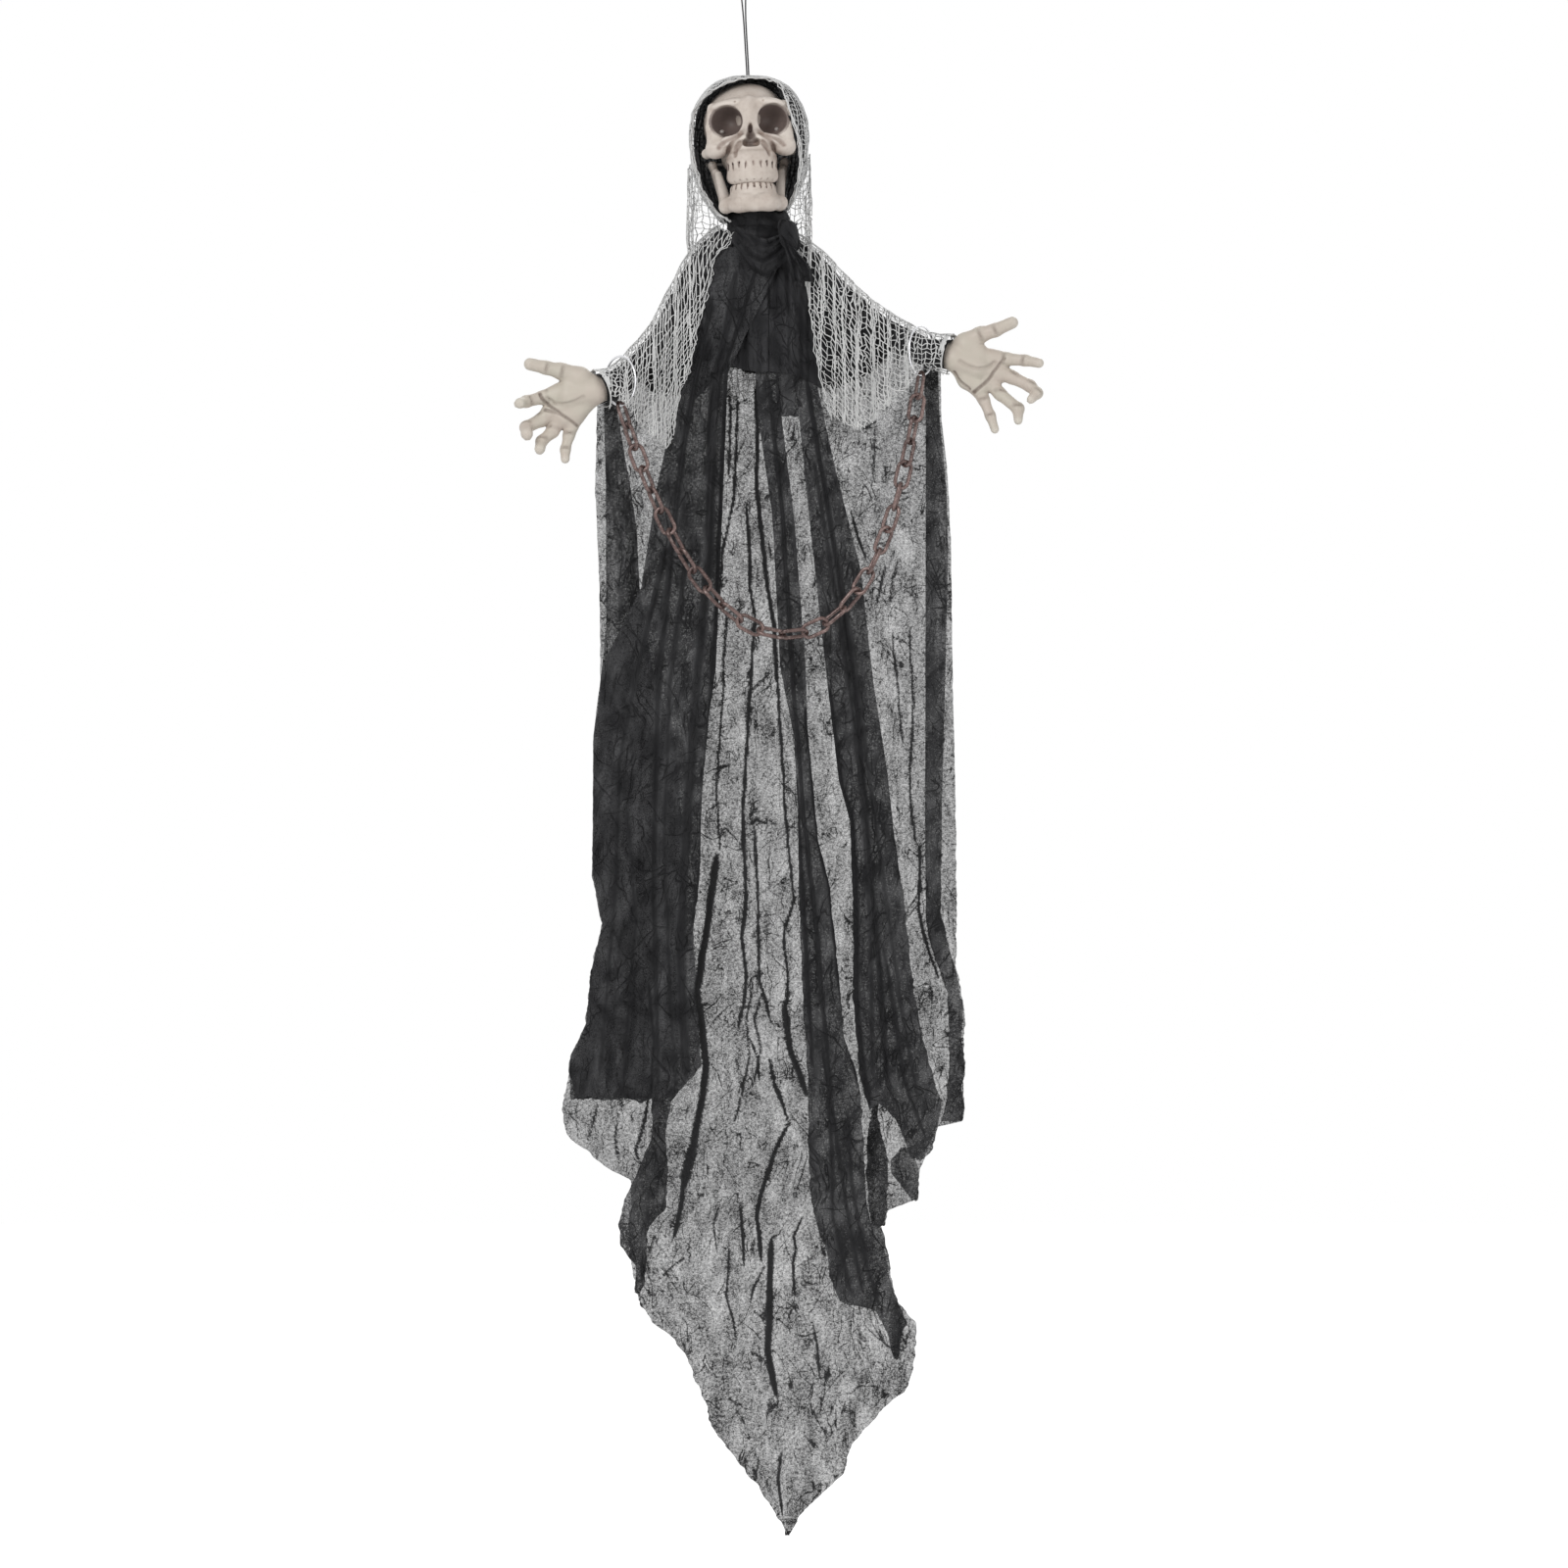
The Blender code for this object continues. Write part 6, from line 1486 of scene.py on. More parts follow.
def panel(name, left, right, top, bottom, lane, folds, layers, seed, step=0.0022, strokes=(), hem=None,
          under_arms=False, torn=0.0011):
    """A hanging gauze panel between two edges, with folds, crumples and a torn hem.

    The edges, the hem and the strokes are outlines in the photograph's pixels. A stroke is a sharp
    dark fold: its points, half its width in metres and its strength."""
    rows = int(round((top - bottom) / step)) + 1
    z_line = np.linspace(top, bottom, rows)
    width = float(np.max(edge_at(right, z_line) - edge_at(left, z_line)))
    columns = max(int(round(width / step)) + 1, 6)
    u = np.linspace(0, 1, columns)[None, :]
    low = np.full(columns, bottom)
    if hem is not None:
        hem_z, hem_x = from_pixels(hem)
        order = np.argsort(hem_x)
        for _ in range(12):
            x_low = edge_at(left, low) + (edge_at(right, low) - edge_at(left, low)) * u[0]
            low = 0.5 * low + 0.5 * np.interp(x_low, hem_x[order], hem_z[order])
    tear = np.random.default_rng(seed + 7).uniform(-1, 1, columns) * 0.5
    tear = tear + fractal(u[0] * width * 160, u[0] * 0, seed + 6)
    low = low + torn * 0.8 * tear
    high = np.full(columns, top)
    if under_arms:
        # the top edge follows the arms
        at = edge_at(left, top) + (edge_at(right, top) - edge_at(left, top)) * u[0]
        at = np.clip(at, ARM_X[0], ARM_X[-1])
        high = arm_at(at)[:, 2] + 0.004
    v = np.linspace(0, 1, rows)[:, None]
    z = high[None, :] + (low - high)[None, :] * v
    ragged = torn * (0.2 + 0.8 * ease((-z - 0.80) / 0.25))
    left_x = edge_at(left, z) + ragged * fractal(z * 120, z * 0 + 3.5, seed)
    right_x = edge_at(right, z) + ragged * fractal(z * 120, z * 0 + 7.5, seed + 3)
    x = left_x + (right_x - left_x) * u
    count, depth, phase = folds
    lean = 0.35 * v + 0.10 * noise2(u * 3 + 0 * v, v * 4 + 0 * u, seed + 9)
    wave = np.sin(math.tau * (count * u + lean) + phase)
    wave = wave + 0.4 * np.sin(math.tau * (2.3 * count * u - 0.5 * v) + 2 * phase)
    wave = wave + 0.35 * np.sin(math.tau * (5.1 * count * u + 0.8 * lean) + 3 * phase)
    grow = ease((v - 0.02) * 6)
    height, crease = crumple(x, z, seed)
    y = lane(x, z) + depth * grow * wave / 1.4 + height * (0.35 + 0.65 * grow)
    layer = layers(x, z) if callable(layers) else np.full(x.shape, layers)
    # sharp creases and strokes thicken the cloth and carry painted shade, through the fold attribute
    fold = crease * 0.12
    for points, size, strength in strokes:
        heights, across = from_pixels(points)
        order = np.argsort(heights)
        at = np.interp(z, heights[order], across[order], left=9, right=9)
        at = at + 0.0005 * noise2(z * 45, z * 0 + size * 900, seed + 31)
        ends = np.clip((z - heights.min()) / 0.015, 0, 1) * np.clip((heights.max() - z) / 0.015, 0, 1)
        away = np.abs(x - at) / (size * (0.35 + 0.65 * ends))
        near = ease(1.5 - away) * np.minimum(ends * 3, 1)
        y = y - 0.003 * np.exp(-(away**2)) * ends
        fold = np.maximum(fold, near * strength)
    world = np.stack([x + FIGURE_SIDE, y, z], axis=-1).reshape(-1, 3)
    uv = np.stack([x, z], axis=-1).reshape(-1, 2) + seed * 0.37
    obj = mesh_piece(
        name, world, grid_faces(rows, columns), GAUZE, "figure", {"layers": layer, "fold": fold}, uv
    )
    area = float(np.abs(right_x[:, 0] - left_x[:, 0]).mean() * (high - low).mean())
    return obj, area, width, float((high - low).max())


LEFT_FRONT_L = (
    (750, 244), (742, 256), (727, 270), (718, 303), (706, 341), (696, 382), (692, 400), (670, 501),
    (655, 600), (615, 680), (606, 751), (605, 894), (615, 944),
    (603, 991), (599, 1044), (583, 1075), (581, 1091), (587, 1110), (588, 1130),
)
LEFT_FRONT_R = (
    (800, 262), (743, 382), (731, 680), (724, 730), (717, 805), (715, 858), (715, 880), (714, 899),
    (709, 937),
    (708, 970), (711, 995), (708, 1012), (712, 1033), (714, 1060), (715, 1086), (707, 1098), (700, 1104),
    (692, 1114), (683, 1120), (680, 1130),
)
LEFT_MARGIN_L = (
    (617, 425), (619, 500), (619, 560), (619, 640), (611, 720), (606, 751), (605, 894), (615, 944),
    (603, 991),
    (599, 1044), (583, 1075), (581, 1091), (583, 1120),
)
LEFT_MARGIN_R = (
    (631, 425), (644, 500), (650, 540), (653, 600), (665, 680), (690, 760), (700, 900), (700, 1050),
    (680, 1110),
    (670, 1120),
)
STRIP_L = (
    (770, 375), (774, 430), (788, 525), (796, 680), (810, 751), (814, 823), (815, 912), (819, 1016),
    (824, 1094),
    (825, 1171), (827, 1218), (833, 1249), (844, 1275), (846, 1301), (858, 1327), (893, 1335), (898, 1345),
    (905, 1360), (912, 1384), (913, 1390),
)
STRIP_R = (
    (794, 375), (798, 430), (810, 525), (822, 680), (824, 744), (835, 858), (846, 901), (858, 1016),
    (861, 1057),
    (877, 1106), (879, 1135), (881, 1171), (884, 1223), (888, 1246), (900, 1251), (905, 1275), (911, 1314),
    (915, 1327), (926, 1348), (920, 1356), (917, 1384), (916, 1390),
)
RIGHT_FRONT_L = (
    (810, 375), (815, 425), (827, 541), (842, 680), (856, 798), (867, 837), (870, 926), (870, 1016),
    (874, 1068),
    (879, 1106), (886, 1130), (896, 1150), (915, 1178),
)
RIGHT_FRONT_R = (
    (828, 375), (833, 391), (853, 483), (878, 581), (891, 697), (905, 787), (912, 851), (921, 912),
    (933, 1016),
    (941, 1055), (952, 1099), (959, 1122), (959, 1132), (951, 1171), (943, 1182),
)
LEFT_FRONT_HEM = (
    (581, 1112), (590, 1121), (604, 1117), (620, 1123), (638, 1120), (655, 1124), (668, 1119), (683, 1120),
    (692, 1113), (700, 1104), (708, 1097), (716, 1088),
)
RIGHT_FRONT_HEM = (
    (878, 1130), (886, 1133), (896, 1124), (905, 1132), (915, 1143), (924, 1161), (928, 1180), (940, 1183),
    (951, 1171), (959, 1135),
)
RIGHT_MARGIN_L = (
    (942, 395), (944, 430), (944, 700), (944, 880), (945, 940), (949, 966), (958, 990), (966, 1010),
    (968, 1050),
    (968, 1090), (966, 1120), (960, 1145),
)
RIGHT_MARGIN_R = (
    (957, 395), (958, 430), (965, 500), (967, 560), (964, 700), (961, 823), (960, 930), (968, 966),
    (975, 990),
    (983, 1023), (981, 1060), (985, 1090), (981, 1110), (984, 1130), (982, 1145),
)
BACK_L = (
    (612, 300), (610, 425), (608, 500), (612, 590), (613, 700), (606, 751), (605, 894), (615, 944),
    (603, 991),
    (599, 1044), (581, 1091), (574, 1132), (578, 1158), (594, 1171), (620, 1192), (643, 1204), (645, 1225),
    (640, 1250), (645, 1290), (648, 1310), (652, 1330), (672, 1355), (687, 1368), (701, 1384), (705, 1399),
    (716, 1424), (726, 1456), (767, 1510), (798, 1555), (803, 1568),
)
BACK_R = (
    (958, 300), (960, 430), (966, 480), (970, 560), (972, 700), (975, 810), (976, 914), (975, 985),
    (984, 1034),
    (984, 1107), (982, 1144), (955, 1150), (940, 1190), (936, 1223), (906, 1235), (900, 1252), (905, 1290),
    (916, 1329), (935, 1349), (937, 1367), (930, 1400), (923, 1421), (904, 1434), (869, 1475), (861, 1504),
    (821, 1542), (805, 1568),
)
LEFT_FLAP_L = (
    (664, 1112), (666, 1156), (651, 1195), (637, 1225), (631, 1248), (633, 1270), (648, 1291), (647, 1320),
)
LEFT_FLAP_R = (
    (696, 1108), (685, 1124), (679, 1156), (682, 1195), (679, 1233), (662, 1252), (660, 1290), (658, 1311),
    (652, 1321),
)
RIGHT_FLAP_L = ((893, 1124), (888, 1140), (885, 1171), (884, 1197), (888, 1244), (890, 1252))
RIGHT_FLAP_R = ((898, 1124), (896, 1140), (900, 1160), (906, 1182), (905, 1228), (903, 1252))
TURNED_L = ((922, 1168), (909, 1184), (909, 1197), (926, 1219), (930, 1224))
TURNED_R = ((934, 1172), (932, 1182), (938, 1192), (937, 1222), (936, 1226))
BACK_STROKES = (
    (((732, 870), (725, 918), (720, 956), (715, 987), (711, 1012), (717, 1052), (720, 1090), (717, 1119),
      (711, 1148), (705, 1180), (698, 1215)), 0.0030, 1.0),
    (((766, 690), (762, 760), (758, 830), (760, 890), (761, 918), (757, 956), (761, 995), (759, 1023),
      (753, 1052)), 0.0014, 0.9),
    (((771, 840), (771, 880), (773, 918), (774, 956), (774, 999), (784, 1033), (788, 1048)), 0.0011, 0.8),
    (((790, 640), (796, 740), (801, 820), (807, 891), (810, 918), (801, 947), (800, 966), (804, 995),
      (801, 1035)), 0.0011, 0.8),
    (((800, 1020), (804, 1052), (807, 1075), (815, 1094), (824, 1120)), 0.0026, 1.0),
    (((763, 1055), (773, 1081), (774, 1104)), 0.0012, 0.8),
    (((784, 1078), (788, 1102), (796, 1117), (803, 1144)), 0.0011, 0.8),
    (((764, 1088), (752, 1120)), 0.0010, 0.7),
    (((768, 1000), (762, 1040), (764, 1080), (756, 1120), (748, 1150)), 0.0010, 0.6),
    (((778, 1010), (770, 1040), (776, 1070), (768, 1110)), 0.0012, 0.6),
    (((706, 1165), (702, 1180), (697, 1199), (695, 1229), (687, 1266)), 0.0018, 0.95),
    (((786, 1080), (790, 1109), (798, 1128), (807, 1152)), 0.0012, 0.75),
    (((808, 1140), (792, 1172), (783, 1199), (775, 1222), (772, 1243), (775, 1264), (777, 1290)),
     0.0017, 0.95),
    (((787, 1262), (786, 1310), (785, 1348), (783, 1378), (787, 1400), (793, 1428)), 0.0028, 1.0),
    (((755, 1226), (758, 1262), (759, 1294)), 0.0013, 0.8),
    (((820, 1240), (810, 1262), (812, 1275), (809, 1290), (811, 1326)), 0.0012, 0.75),
    (((744, 1270), (743, 1300), (741, 1323), (748, 1348), (751, 1372)), 0.0010, 0.7),
    (((783, 1288), (769, 1315), (765, 1334)), 0.0011, 0.7),
    (((756, 1350), (768, 1358), (778, 1370)), 0.0011, 0.6),
    (((704, 1280), (687, 1292), (670, 1308)), 0.0011, 0.6),
    (((829, 1350), (834, 1375), (836, 1410)), 0.0010, 0.6),
    (((734, 1230), (728, 1250), (732, 1280)), 0.0010, 0.5),
    (((798, 1480), (794, 1510), (799, 1550)), 0.0014, 0.6),
    (((770, 390), (773, 436), (772, 494), (776, 532), (782, 590), (790, 640), (793, 700)), 0.0017, 0.9),
    (((762, 515), (765, 570), (765, 599), (770, 628), (766, 700)), 0.0012, 0.8),
    (((753, 400), (751, 456), (749, 503), (744, 532), (737, 561), (734, 610)), 0.0012, 0.7),
    (((744, 388), (745, 436), (743, 490)), 0.0010, 0.6),
    (((741, 620), (737, 720), (731, 800), (735, 870)), 0.0010, 0.6),
    (((868, 520), (876, 550), (885, 575)), 0.0012, 0.7),
    (((904, 575), (899, 595), (894, 620)), 0.0011, 0.6),
    (((890, 400), (893, 440), (890, 500)), 0.0010, 0.4),
    (((928, 640), (932, 720), (928, 800), (934, 860)), 0.0011, 0.6),
    (((910, 640), (916, 700), (921, 760)), 0.0010, 0.5),
    (((939, 860), (937, 928), (942, 950), (949, 975), (958, 1000)), 0.0012, 0.9),
    (((950, 1100), (944, 1120), (940, 1150)), 0.0012, 0.8),
    (((660, 1100), (662, 1118), (655, 1156), (649, 1174), (653, 1188)), 0.0011, 0.85),
    (((610, 1125), (604, 1150), (598, 1170)), 0.0010, 0.5),
    (((632, 1130), (628, 1160), (632, 1190)), 0.0010, 0.5),
)
FRONT_STROKES = (
    (((744, 400), (737, 500), (733, 600), (728, 700), (720, 800), (717, 880), (711, 940)), 0.0024, 0.9),
    (((662, 1000), (668, 1060), (664, 1124)), 0.0020, 0.8),
    (((752, 275), (727, 420), (724, 560), (706, 760), (694, 960), (700, 1100)), 0.0040, 0.7),
    (((728, 300), (700, 440), (690, 520), (672, 700), (668, 900), (672, 1110)), 0.0028, 0.7),
    (((772, 275), (742, 370), (733, 600), (720, 800)), 0.0024, 0.8),
    (((680, 560), (652, 680), (632, 780), (628, 920), (612, 1100)), 0.0022, 0.6),
    (((702, 560), (684, 700), (678, 860), (684, 1000), (690, 1110)), 0.0020, 0.6),
    (((640, 820), (650, 940), (640, 1060), (636, 1120)), 0.0018, 0.6),
)
STRIP_STROKES = (
    (((822, 720), (828, 770), (836, 858), (847, 901), (856, 990), (866, 1050), (877, 1110)), 0.0032, 1.0),
    (((812, 790), (817, 880), (824, 1000), (829, 1090)), 0.0018, 0.8),
    (((784, 385), (798, 520), (808, 680), (820, 830), (834, 960), (846, 1100), (850, 1240), (868, 1320)),
     0.0020, 0.7),
    (((838, 1060), (850, 1140), (862, 1220), (880, 1320)), 0.0018, 0.7),
    (((864, 1130), (868, 1200), (884, 1290), (900, 1340)), 0.0018, 0.6),
)
RIGHT_STROKES = (
    (((845, 700), (857, 800), (869, 840), (873, 926), (873, 1016), (878, 1075), (888, 1130)), 0.0030, 1.0),
    (((822, 385), (838, 480), (858, 600), (872, 700), (884, 840), (896, 980), (906, 1110)), 0.0024, 0.8),
    (((830, 470), (850, 590), (866, 700), (878, 800), (888, 940), (890, 1100)), 0.0018, 0.6),
    (((852, 560), (870, 660), (882, 760), (902, 900), (918, 1020), (936, 1120)), 0.0016, 0.5),
    (((900, 960), (914, 1040), (922, 1100), (944, 1160)), 0.0018, 0.6),
)


def back_layers(x, z):
    """How thick the back panel looks: thin at the right, a little denser in long streaks and at the tip."""
    px, py = to_pixels(x, z)
    layer = 0.10 * noise2(x * 45, z * 5, 301) + 0.06 * noise2(x * 110, z * 9, 302)
    layer = layer - 0.42 * ease((px - 918) / 14) * ease((py - 820) / 60) * ease((1150 - py) / 40)
    layer = layer + 0.20 * ease((py - 1150) / 260)
    layer = layer - 0.14 * ease((660 - px) / 30) * ease((py - 1110) / 20)
    turned = ease((690 - px) / 40) * ease((py - 1240) / 30) * ease((1330 - py) / 30)
    fringe = ease((px - 961) / 4) * ease((1000 - py) / 30) * ease((py - 800) / 20)
    return layer + 0.10 * turned - 0.35 * fringe


def left_margin_layers(x, z):
    px, py = to_pixels(x, z)
    inner = np.interp(py, (425, 500, 560, 640, 720, 1120), (618, 621, 628, 631, 610, 590))
    streaks = 0.28 * noise2(x * 330, z * 6, 311)
    return np.clip(0.40 + streaks + 0.55 * ease((px - inner) / 3), 0, 1)


def right_margin_layers(x, z):
    px, py = to_pixels(x, z)
    outer = ease((px - 953) / 3) * ease((900 - py) / 60) * ease((py - 440) / 40)
    low = ease((py - 985) / 30)
    streaks = 0.22 * noise2(x * 300, z * 7, 312)
    return np.clip(0.95 - 0.42 * outer - 0.42 * low + streaks * np.maximum(outer, low), 0, 1)


def dark_layers(seed, share=0.84):
    def layers(x, z):
        total = share + 0.16 * noise2(x * 90, z * 6, seed) + 0.10 * noise2(x * 40, z * 30, seed + 1)
        return np.clip(total, 0, 1)

    return layers


# Straight pieces first: camera, cord, then the rest
camera_data = bpy.data.cameras.new("camera")
camera_data.sensor_width = 36.0
CAMERA_AWAY = 12.0
FRAME_WIDTH = 1.6
camera_data.lens = 36.0 * CAMERA_AWAY / FRAME_WIDTH
camera = bpy.data.objects.new("camera", camera_data)
camera.location = (0.0425, -CAMERA_AWAY, -0.825)
camera.rotation_euler = (math.radians(90), 0, 0)
scene.collection.objects.link(camera)
scene.camera = camera

CORD_ROUTE = (
    (0.00455, 0.0, -0.1000), (0.00340, 0.0, -0.0800), (0.00225, 0.0, -0.0600), (0.00130, 0.0, -0.0450),
    (0.00040, 0.0, -0.0350), (-0.00060, 0.0, -0.0250), (-0.00210, 0.0, -0.0140), (-0.00330, 0.0, -0.0070),
    (-0.00340, 0.0, -0.0030), (-0.00200, 0.0, 0.0000), (0.00000, 0.0, 0.0008), (0.00200, 0.0, 0.0000),
    (0.00340, 0.0, -0.0030), (0.00360, 0.0, -0.0070), (0.00350, 0.0, -0.0140), (0.00330, 0.0, -0.0250),
    (0.00330, 0.0, -0.0350), (0.00350, 0.0, -0.0450), (0.00425, 0.0, -0.0600), (0.00540, 0.0, -0.0800),
    (0.00645, 0.0, -0.1000),
)
CORD_DIAMETER = 0.0016


def make_cord():
    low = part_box("hanging_cord")[0].z + CORD_DIAMETER * 0.02
    first, last = CORD_ROUTE[0], CORD_ROUTE[-1]
    route = smooth_path([(*first[:2], low), *CORD_ROUTE, (*last[:2], low)], 40)
    curve = bpy.data.curves.new("cord_loop", "CURVE")
    curve.dimensions = "3D"
    curve.bevel_depth = CORD_DIAMETER / 2
    curve.bevel_resolution = 3
    curve.use_fill_caps = True
    spline = curve.splines.new("POLY")
    spline.points.add(len(route) - 1)
    for point, place in zip(spline.points, route):
        point.co = (*place, 1)
    cord = bpy.data.objects.new("cord_loop", curve)
    scene.collection.objects.link(cord)
    curve.materials.append(CORD)
    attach(cord, "figure")
    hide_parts("hanging_cord")
    return cord


make_cord()
skull = make_cranium()
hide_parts("cranium")
jaw = make_jaw()
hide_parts("jaw")
for side, label in ((-1, "left"), (1, "right")):
    wrist = arm_at(ARM_X[0] if side < 0 else ARM_X[-1])
    ahead = side * arm_direction(wrist[0])
    hand = make_hand(side, Vector(wrist) + Vector((FIGURE_SIDE, 0, 0)), ahead)
    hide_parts(f"{label}_hand")

make_lining()
yoke = make_yoke()
shawl, arm_length = make_net_shawl()
net_hood, net_veil = make_net_hood()
edges, net_rim = make_edge_cords(arm_length)
# An open net's area is taken as half its threads' surface, not the outline of its cut, and no
# less than 0.3 of its flat size. The threads of net_hood are under that, so the area stated for it
# is this floor and not its measure. The figure is worked out here and not used.
LEAST_AREA_SHARE = 0.301
for net, flat, under, edging in (
    (shawl, NET_SHAWL_FLAT, "black_yoke", [edges]),
    (net_hood, NET_HOOD_FLAT, "black_hood", [net_rim, net_veil]),
):
    least = LEAST_AREA_SHARE * flat[0] * flat[1]
    round(max(mesh_area(net) / 2, least), 5)
    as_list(edging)
for piece in (net_hood, net_rim):
    follow_jaw(piece)

FRONT_LANE = chest_lane(CLOTH * 2.1)
HEM_LANE = chest_lane(-CLOTH * 1.7)


def flap_lane(x, z):
    return back_lane(x, z) - 0.010


YOKE_FLAP_L = ((792, 370), (793, 426))
YOKE_FLAP_R = ((813, 370), (815, 426))
GAUZE_PANELS = (
    # name, CAD node, edges, top and bottom, lane, folds, layers, seed, the rest
    ("gauze_back", "back_panel", BACK_L, BACK_R, -0.300, -1.5925, back_lane, (4, 0.0050, 0.4), back_layers,
     11, dict(strokes=BACK_STROKES, under_arms=True, step=0.00195, torn=0.0018)),
    ("gauze_left_margin", "left_margin", LEFT_MARGIN_L, LEFT_MARGIN_R, -0.428, -1.146, margin_lane,
     (1, 0.003, 1.1), left_margin_layers, 23, {}),
    ("gauze_right_margin", "right_margin", RIGHT_MARGIN_L, RIGHT_MARGIN_R, -0.392, -1.169, margin_lane,
     (1, 0.002, 2.0), right_margin_layers, 37, {}),
    ("gauze_left_front", "left_front_panel", LEFT_FRONT_L, LEFT_FRONT_R, -0.279, -1.148, FRONT_LANE,
     (2, 0.0040, 0.9), dark_layers(321), 41, dict(strokes=FRONT_STROKES, hem=LEFT_FRONT_HEM)),
    ("gauze_centre_strip", "centre_strip", STRIP_L, STRIP_R, -0.400, -1.410, HEM_LANE, (1, 0.002, 2.5),
     dark_layers(322), 53, dict(strokes=STRIP_STROKES)),
    ("gauze_right_front", "right_front_panel", RIGHT_FRONT_L, RIGHT_FRONT_R, -0.400, -1.210, HEM_LANE,
     (2, 0.003, 0.2), dark_layers(323), 67, dict(strokes=RIGHT_STROKES, hem=RIGHT_FRONT_HEM)),
    ("gauze_yoke_flap", None, YOKE_FLAP_L, YOKE_FLAP_R, -0.400, -0.4505,
     chest_lane(-CLOTH * 2.6), (1, 0.001, 0.5), dark_layers(327, 1.0), 83, {}),
    ("gauze_left_flap", None, LEFT_FLAP_L, LEFT_FLAP_R, -1.136, -1.345, flap_lane, (1, 0.002, 0.2),
     dark_layers(324, 0.9), 71, {}),
    ("gauze_right_flap", None, RIGHT_FLAP_L, RIGHT_FLAP_R, -1.149, -1.276, flap_lane, (1, 0.001, 0.7),
     dark_layers(325, 0.9), 73, {}),
    ("gauze_turned_corner", None, TURNED_L, TURNED_R, -1.196, -1.250, flap_lane, (1, 0.001, 0.7),
     dark_layers(326, 0.45), 79, {}),
)
panels = {}
for name, node, left, right, top, bottom, lane, wave, layers, seed, rest in GAUZE_PANELS:
    panels[name] = panel(name, left, right, top, bottom, lane, wave, layers, seed, **rest)
    if node:
        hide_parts(node)
for name, (part, area, width, length) in panels.items():
    round(min(area, width * length), 5)


# Chain links, rings and bulbs, each on the place and axes of its CAD node
def node_axes(name):
    """The middle of a node, its three axes from thin to long, and half its size along each."""
    points = np.array([tuple(v.co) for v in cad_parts[name].data.vertices])
    _, axes = np.linalg.eigh(np.cov((points - points.mean(0)).T))
    along = (points - points.mean(0)) @ axes
    low, high = along.min(0), along.max(0)
    return points.mean(0) + axes @ ((low + high) / 2), axes, (high - low) / 2


LINK_WIRE = 0.0040
LINK_COUNT = 27
SWING_ROOM = 0.00016  # taken off where the end links turn on the rings
LINK_LENGTH = 0.0315
LINK_WIDTH = 0.0175


def make_link(number):
    node = f"chain_link_{number:02}"
    middle, axes, _ = node_axes(node)
    bend = (LINK_WIDTH - LINK_WIRE) / 2
    straight = (LINK_LENGTH - LINK_WIRE) / 2 - bend
    path = []
    for end in (1, -1):
        for degrees in np.linspace(-90, 90, 15):
            a = math.radians(degrees)
            path.append((end * (straight + bend * math.cos(a)), end * bend * math.sin(a)))
        path += [(end * straight * f, end * bend) for f in (0.6, 0.2, -0.2, -0.6)]
    path = np.array(path)
    path = middle + path[:, :1] * axes[:, 2] + path[:, 1:] * axes[:, 1]
    room = SWING_ROOM if number in (1, LINK_COUNT) else 0.0
    verts, faces = tubes([path], [LINK_WIRE / 2 - room], sides=14, closed=True)
    link = mesh_piece(f"link_{number:02}", verts, faces, RUST_WITH_HIGHLIGHT, "chain")
    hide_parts(node)


def make_ring(side):
    middle, axes, half = node_axes(f"{side}_ring")
    radius = half[2] - RING_WIRE / 2
    angle = np.linspace(0, math.tau, 96, endpoint=False)[:, None]
    path = middle + radius * (np.cos(angle) * axes[:, 2] + np.sin(angle) * axes[:, 1])
    verts, faces = tubes([path], [RING_WIRE / 2 - SWING_ROOM], sides=14, closed=True)
    ring = mesh_piece(f"wrist_ring_{side}", verts, faces, STEEL, "figure")
    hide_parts(f"{side}_ring")


def make_bulb(side):
    radius, length, flange = 0.0025, 0.0086, 0.0004
    middle, _, _ = node_axes(f"led_{side}")
    ahead = np.array(HEAD_TURN @ Vector((0, -1, 0)))
    across = np.cross(ahead, (0, 0, 1.0))
    across /= np.linalg.norm(across)
    up = np.cross(across, ahead)
    brim = radius + flange
    profile = [(0.0001, 0), (brim - 0.0001, 0), (brim, 0.0001), (brim, 0.0007)]
    profile += [(radius + 0.0002, 0.0008), (radius, 0.0011)]
    dome = length - radius
    profile += [(radius * math.cos(a), dome + radius * math.sin(a)) for a in np.linspace(0, 1.53, 10)]
    columns = 28
    angle = np.linspace(0, math.tau, columns, endpoint=False)[None, :, None]
    wide = np.array(profile)[:, :1, None]
    high = np.array(profile)[:, 1:, None] - length / 2
    points = middle + wide * (np.cos(angle) * across + np.sin(angle) * up) + high * ahead
    rows = len(profile)
    faces = [
        (
            r * columns + c,
            r * columns + (c + 1) % columns,
            (r + 1) * columns + (c + 1) % columns,
            (r + 1) * columns + c,
        )
        for r in range(rows - 1)
        for c in range(columns)
    ]
    faces += [tuple(reversed(range(columns))), tuple(range((rows - 1) * columns, rows * columns))]
    bulb = mesh_piece(f"bulb_{side}", points.reshape(-1, 3), faces, BULB, "figure")
    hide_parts(f"led_{side}")


for number in range(1, 28):
    make_link(number)
for side in ("left", "right"):
    make_ring(side)
    make_bulb(side)


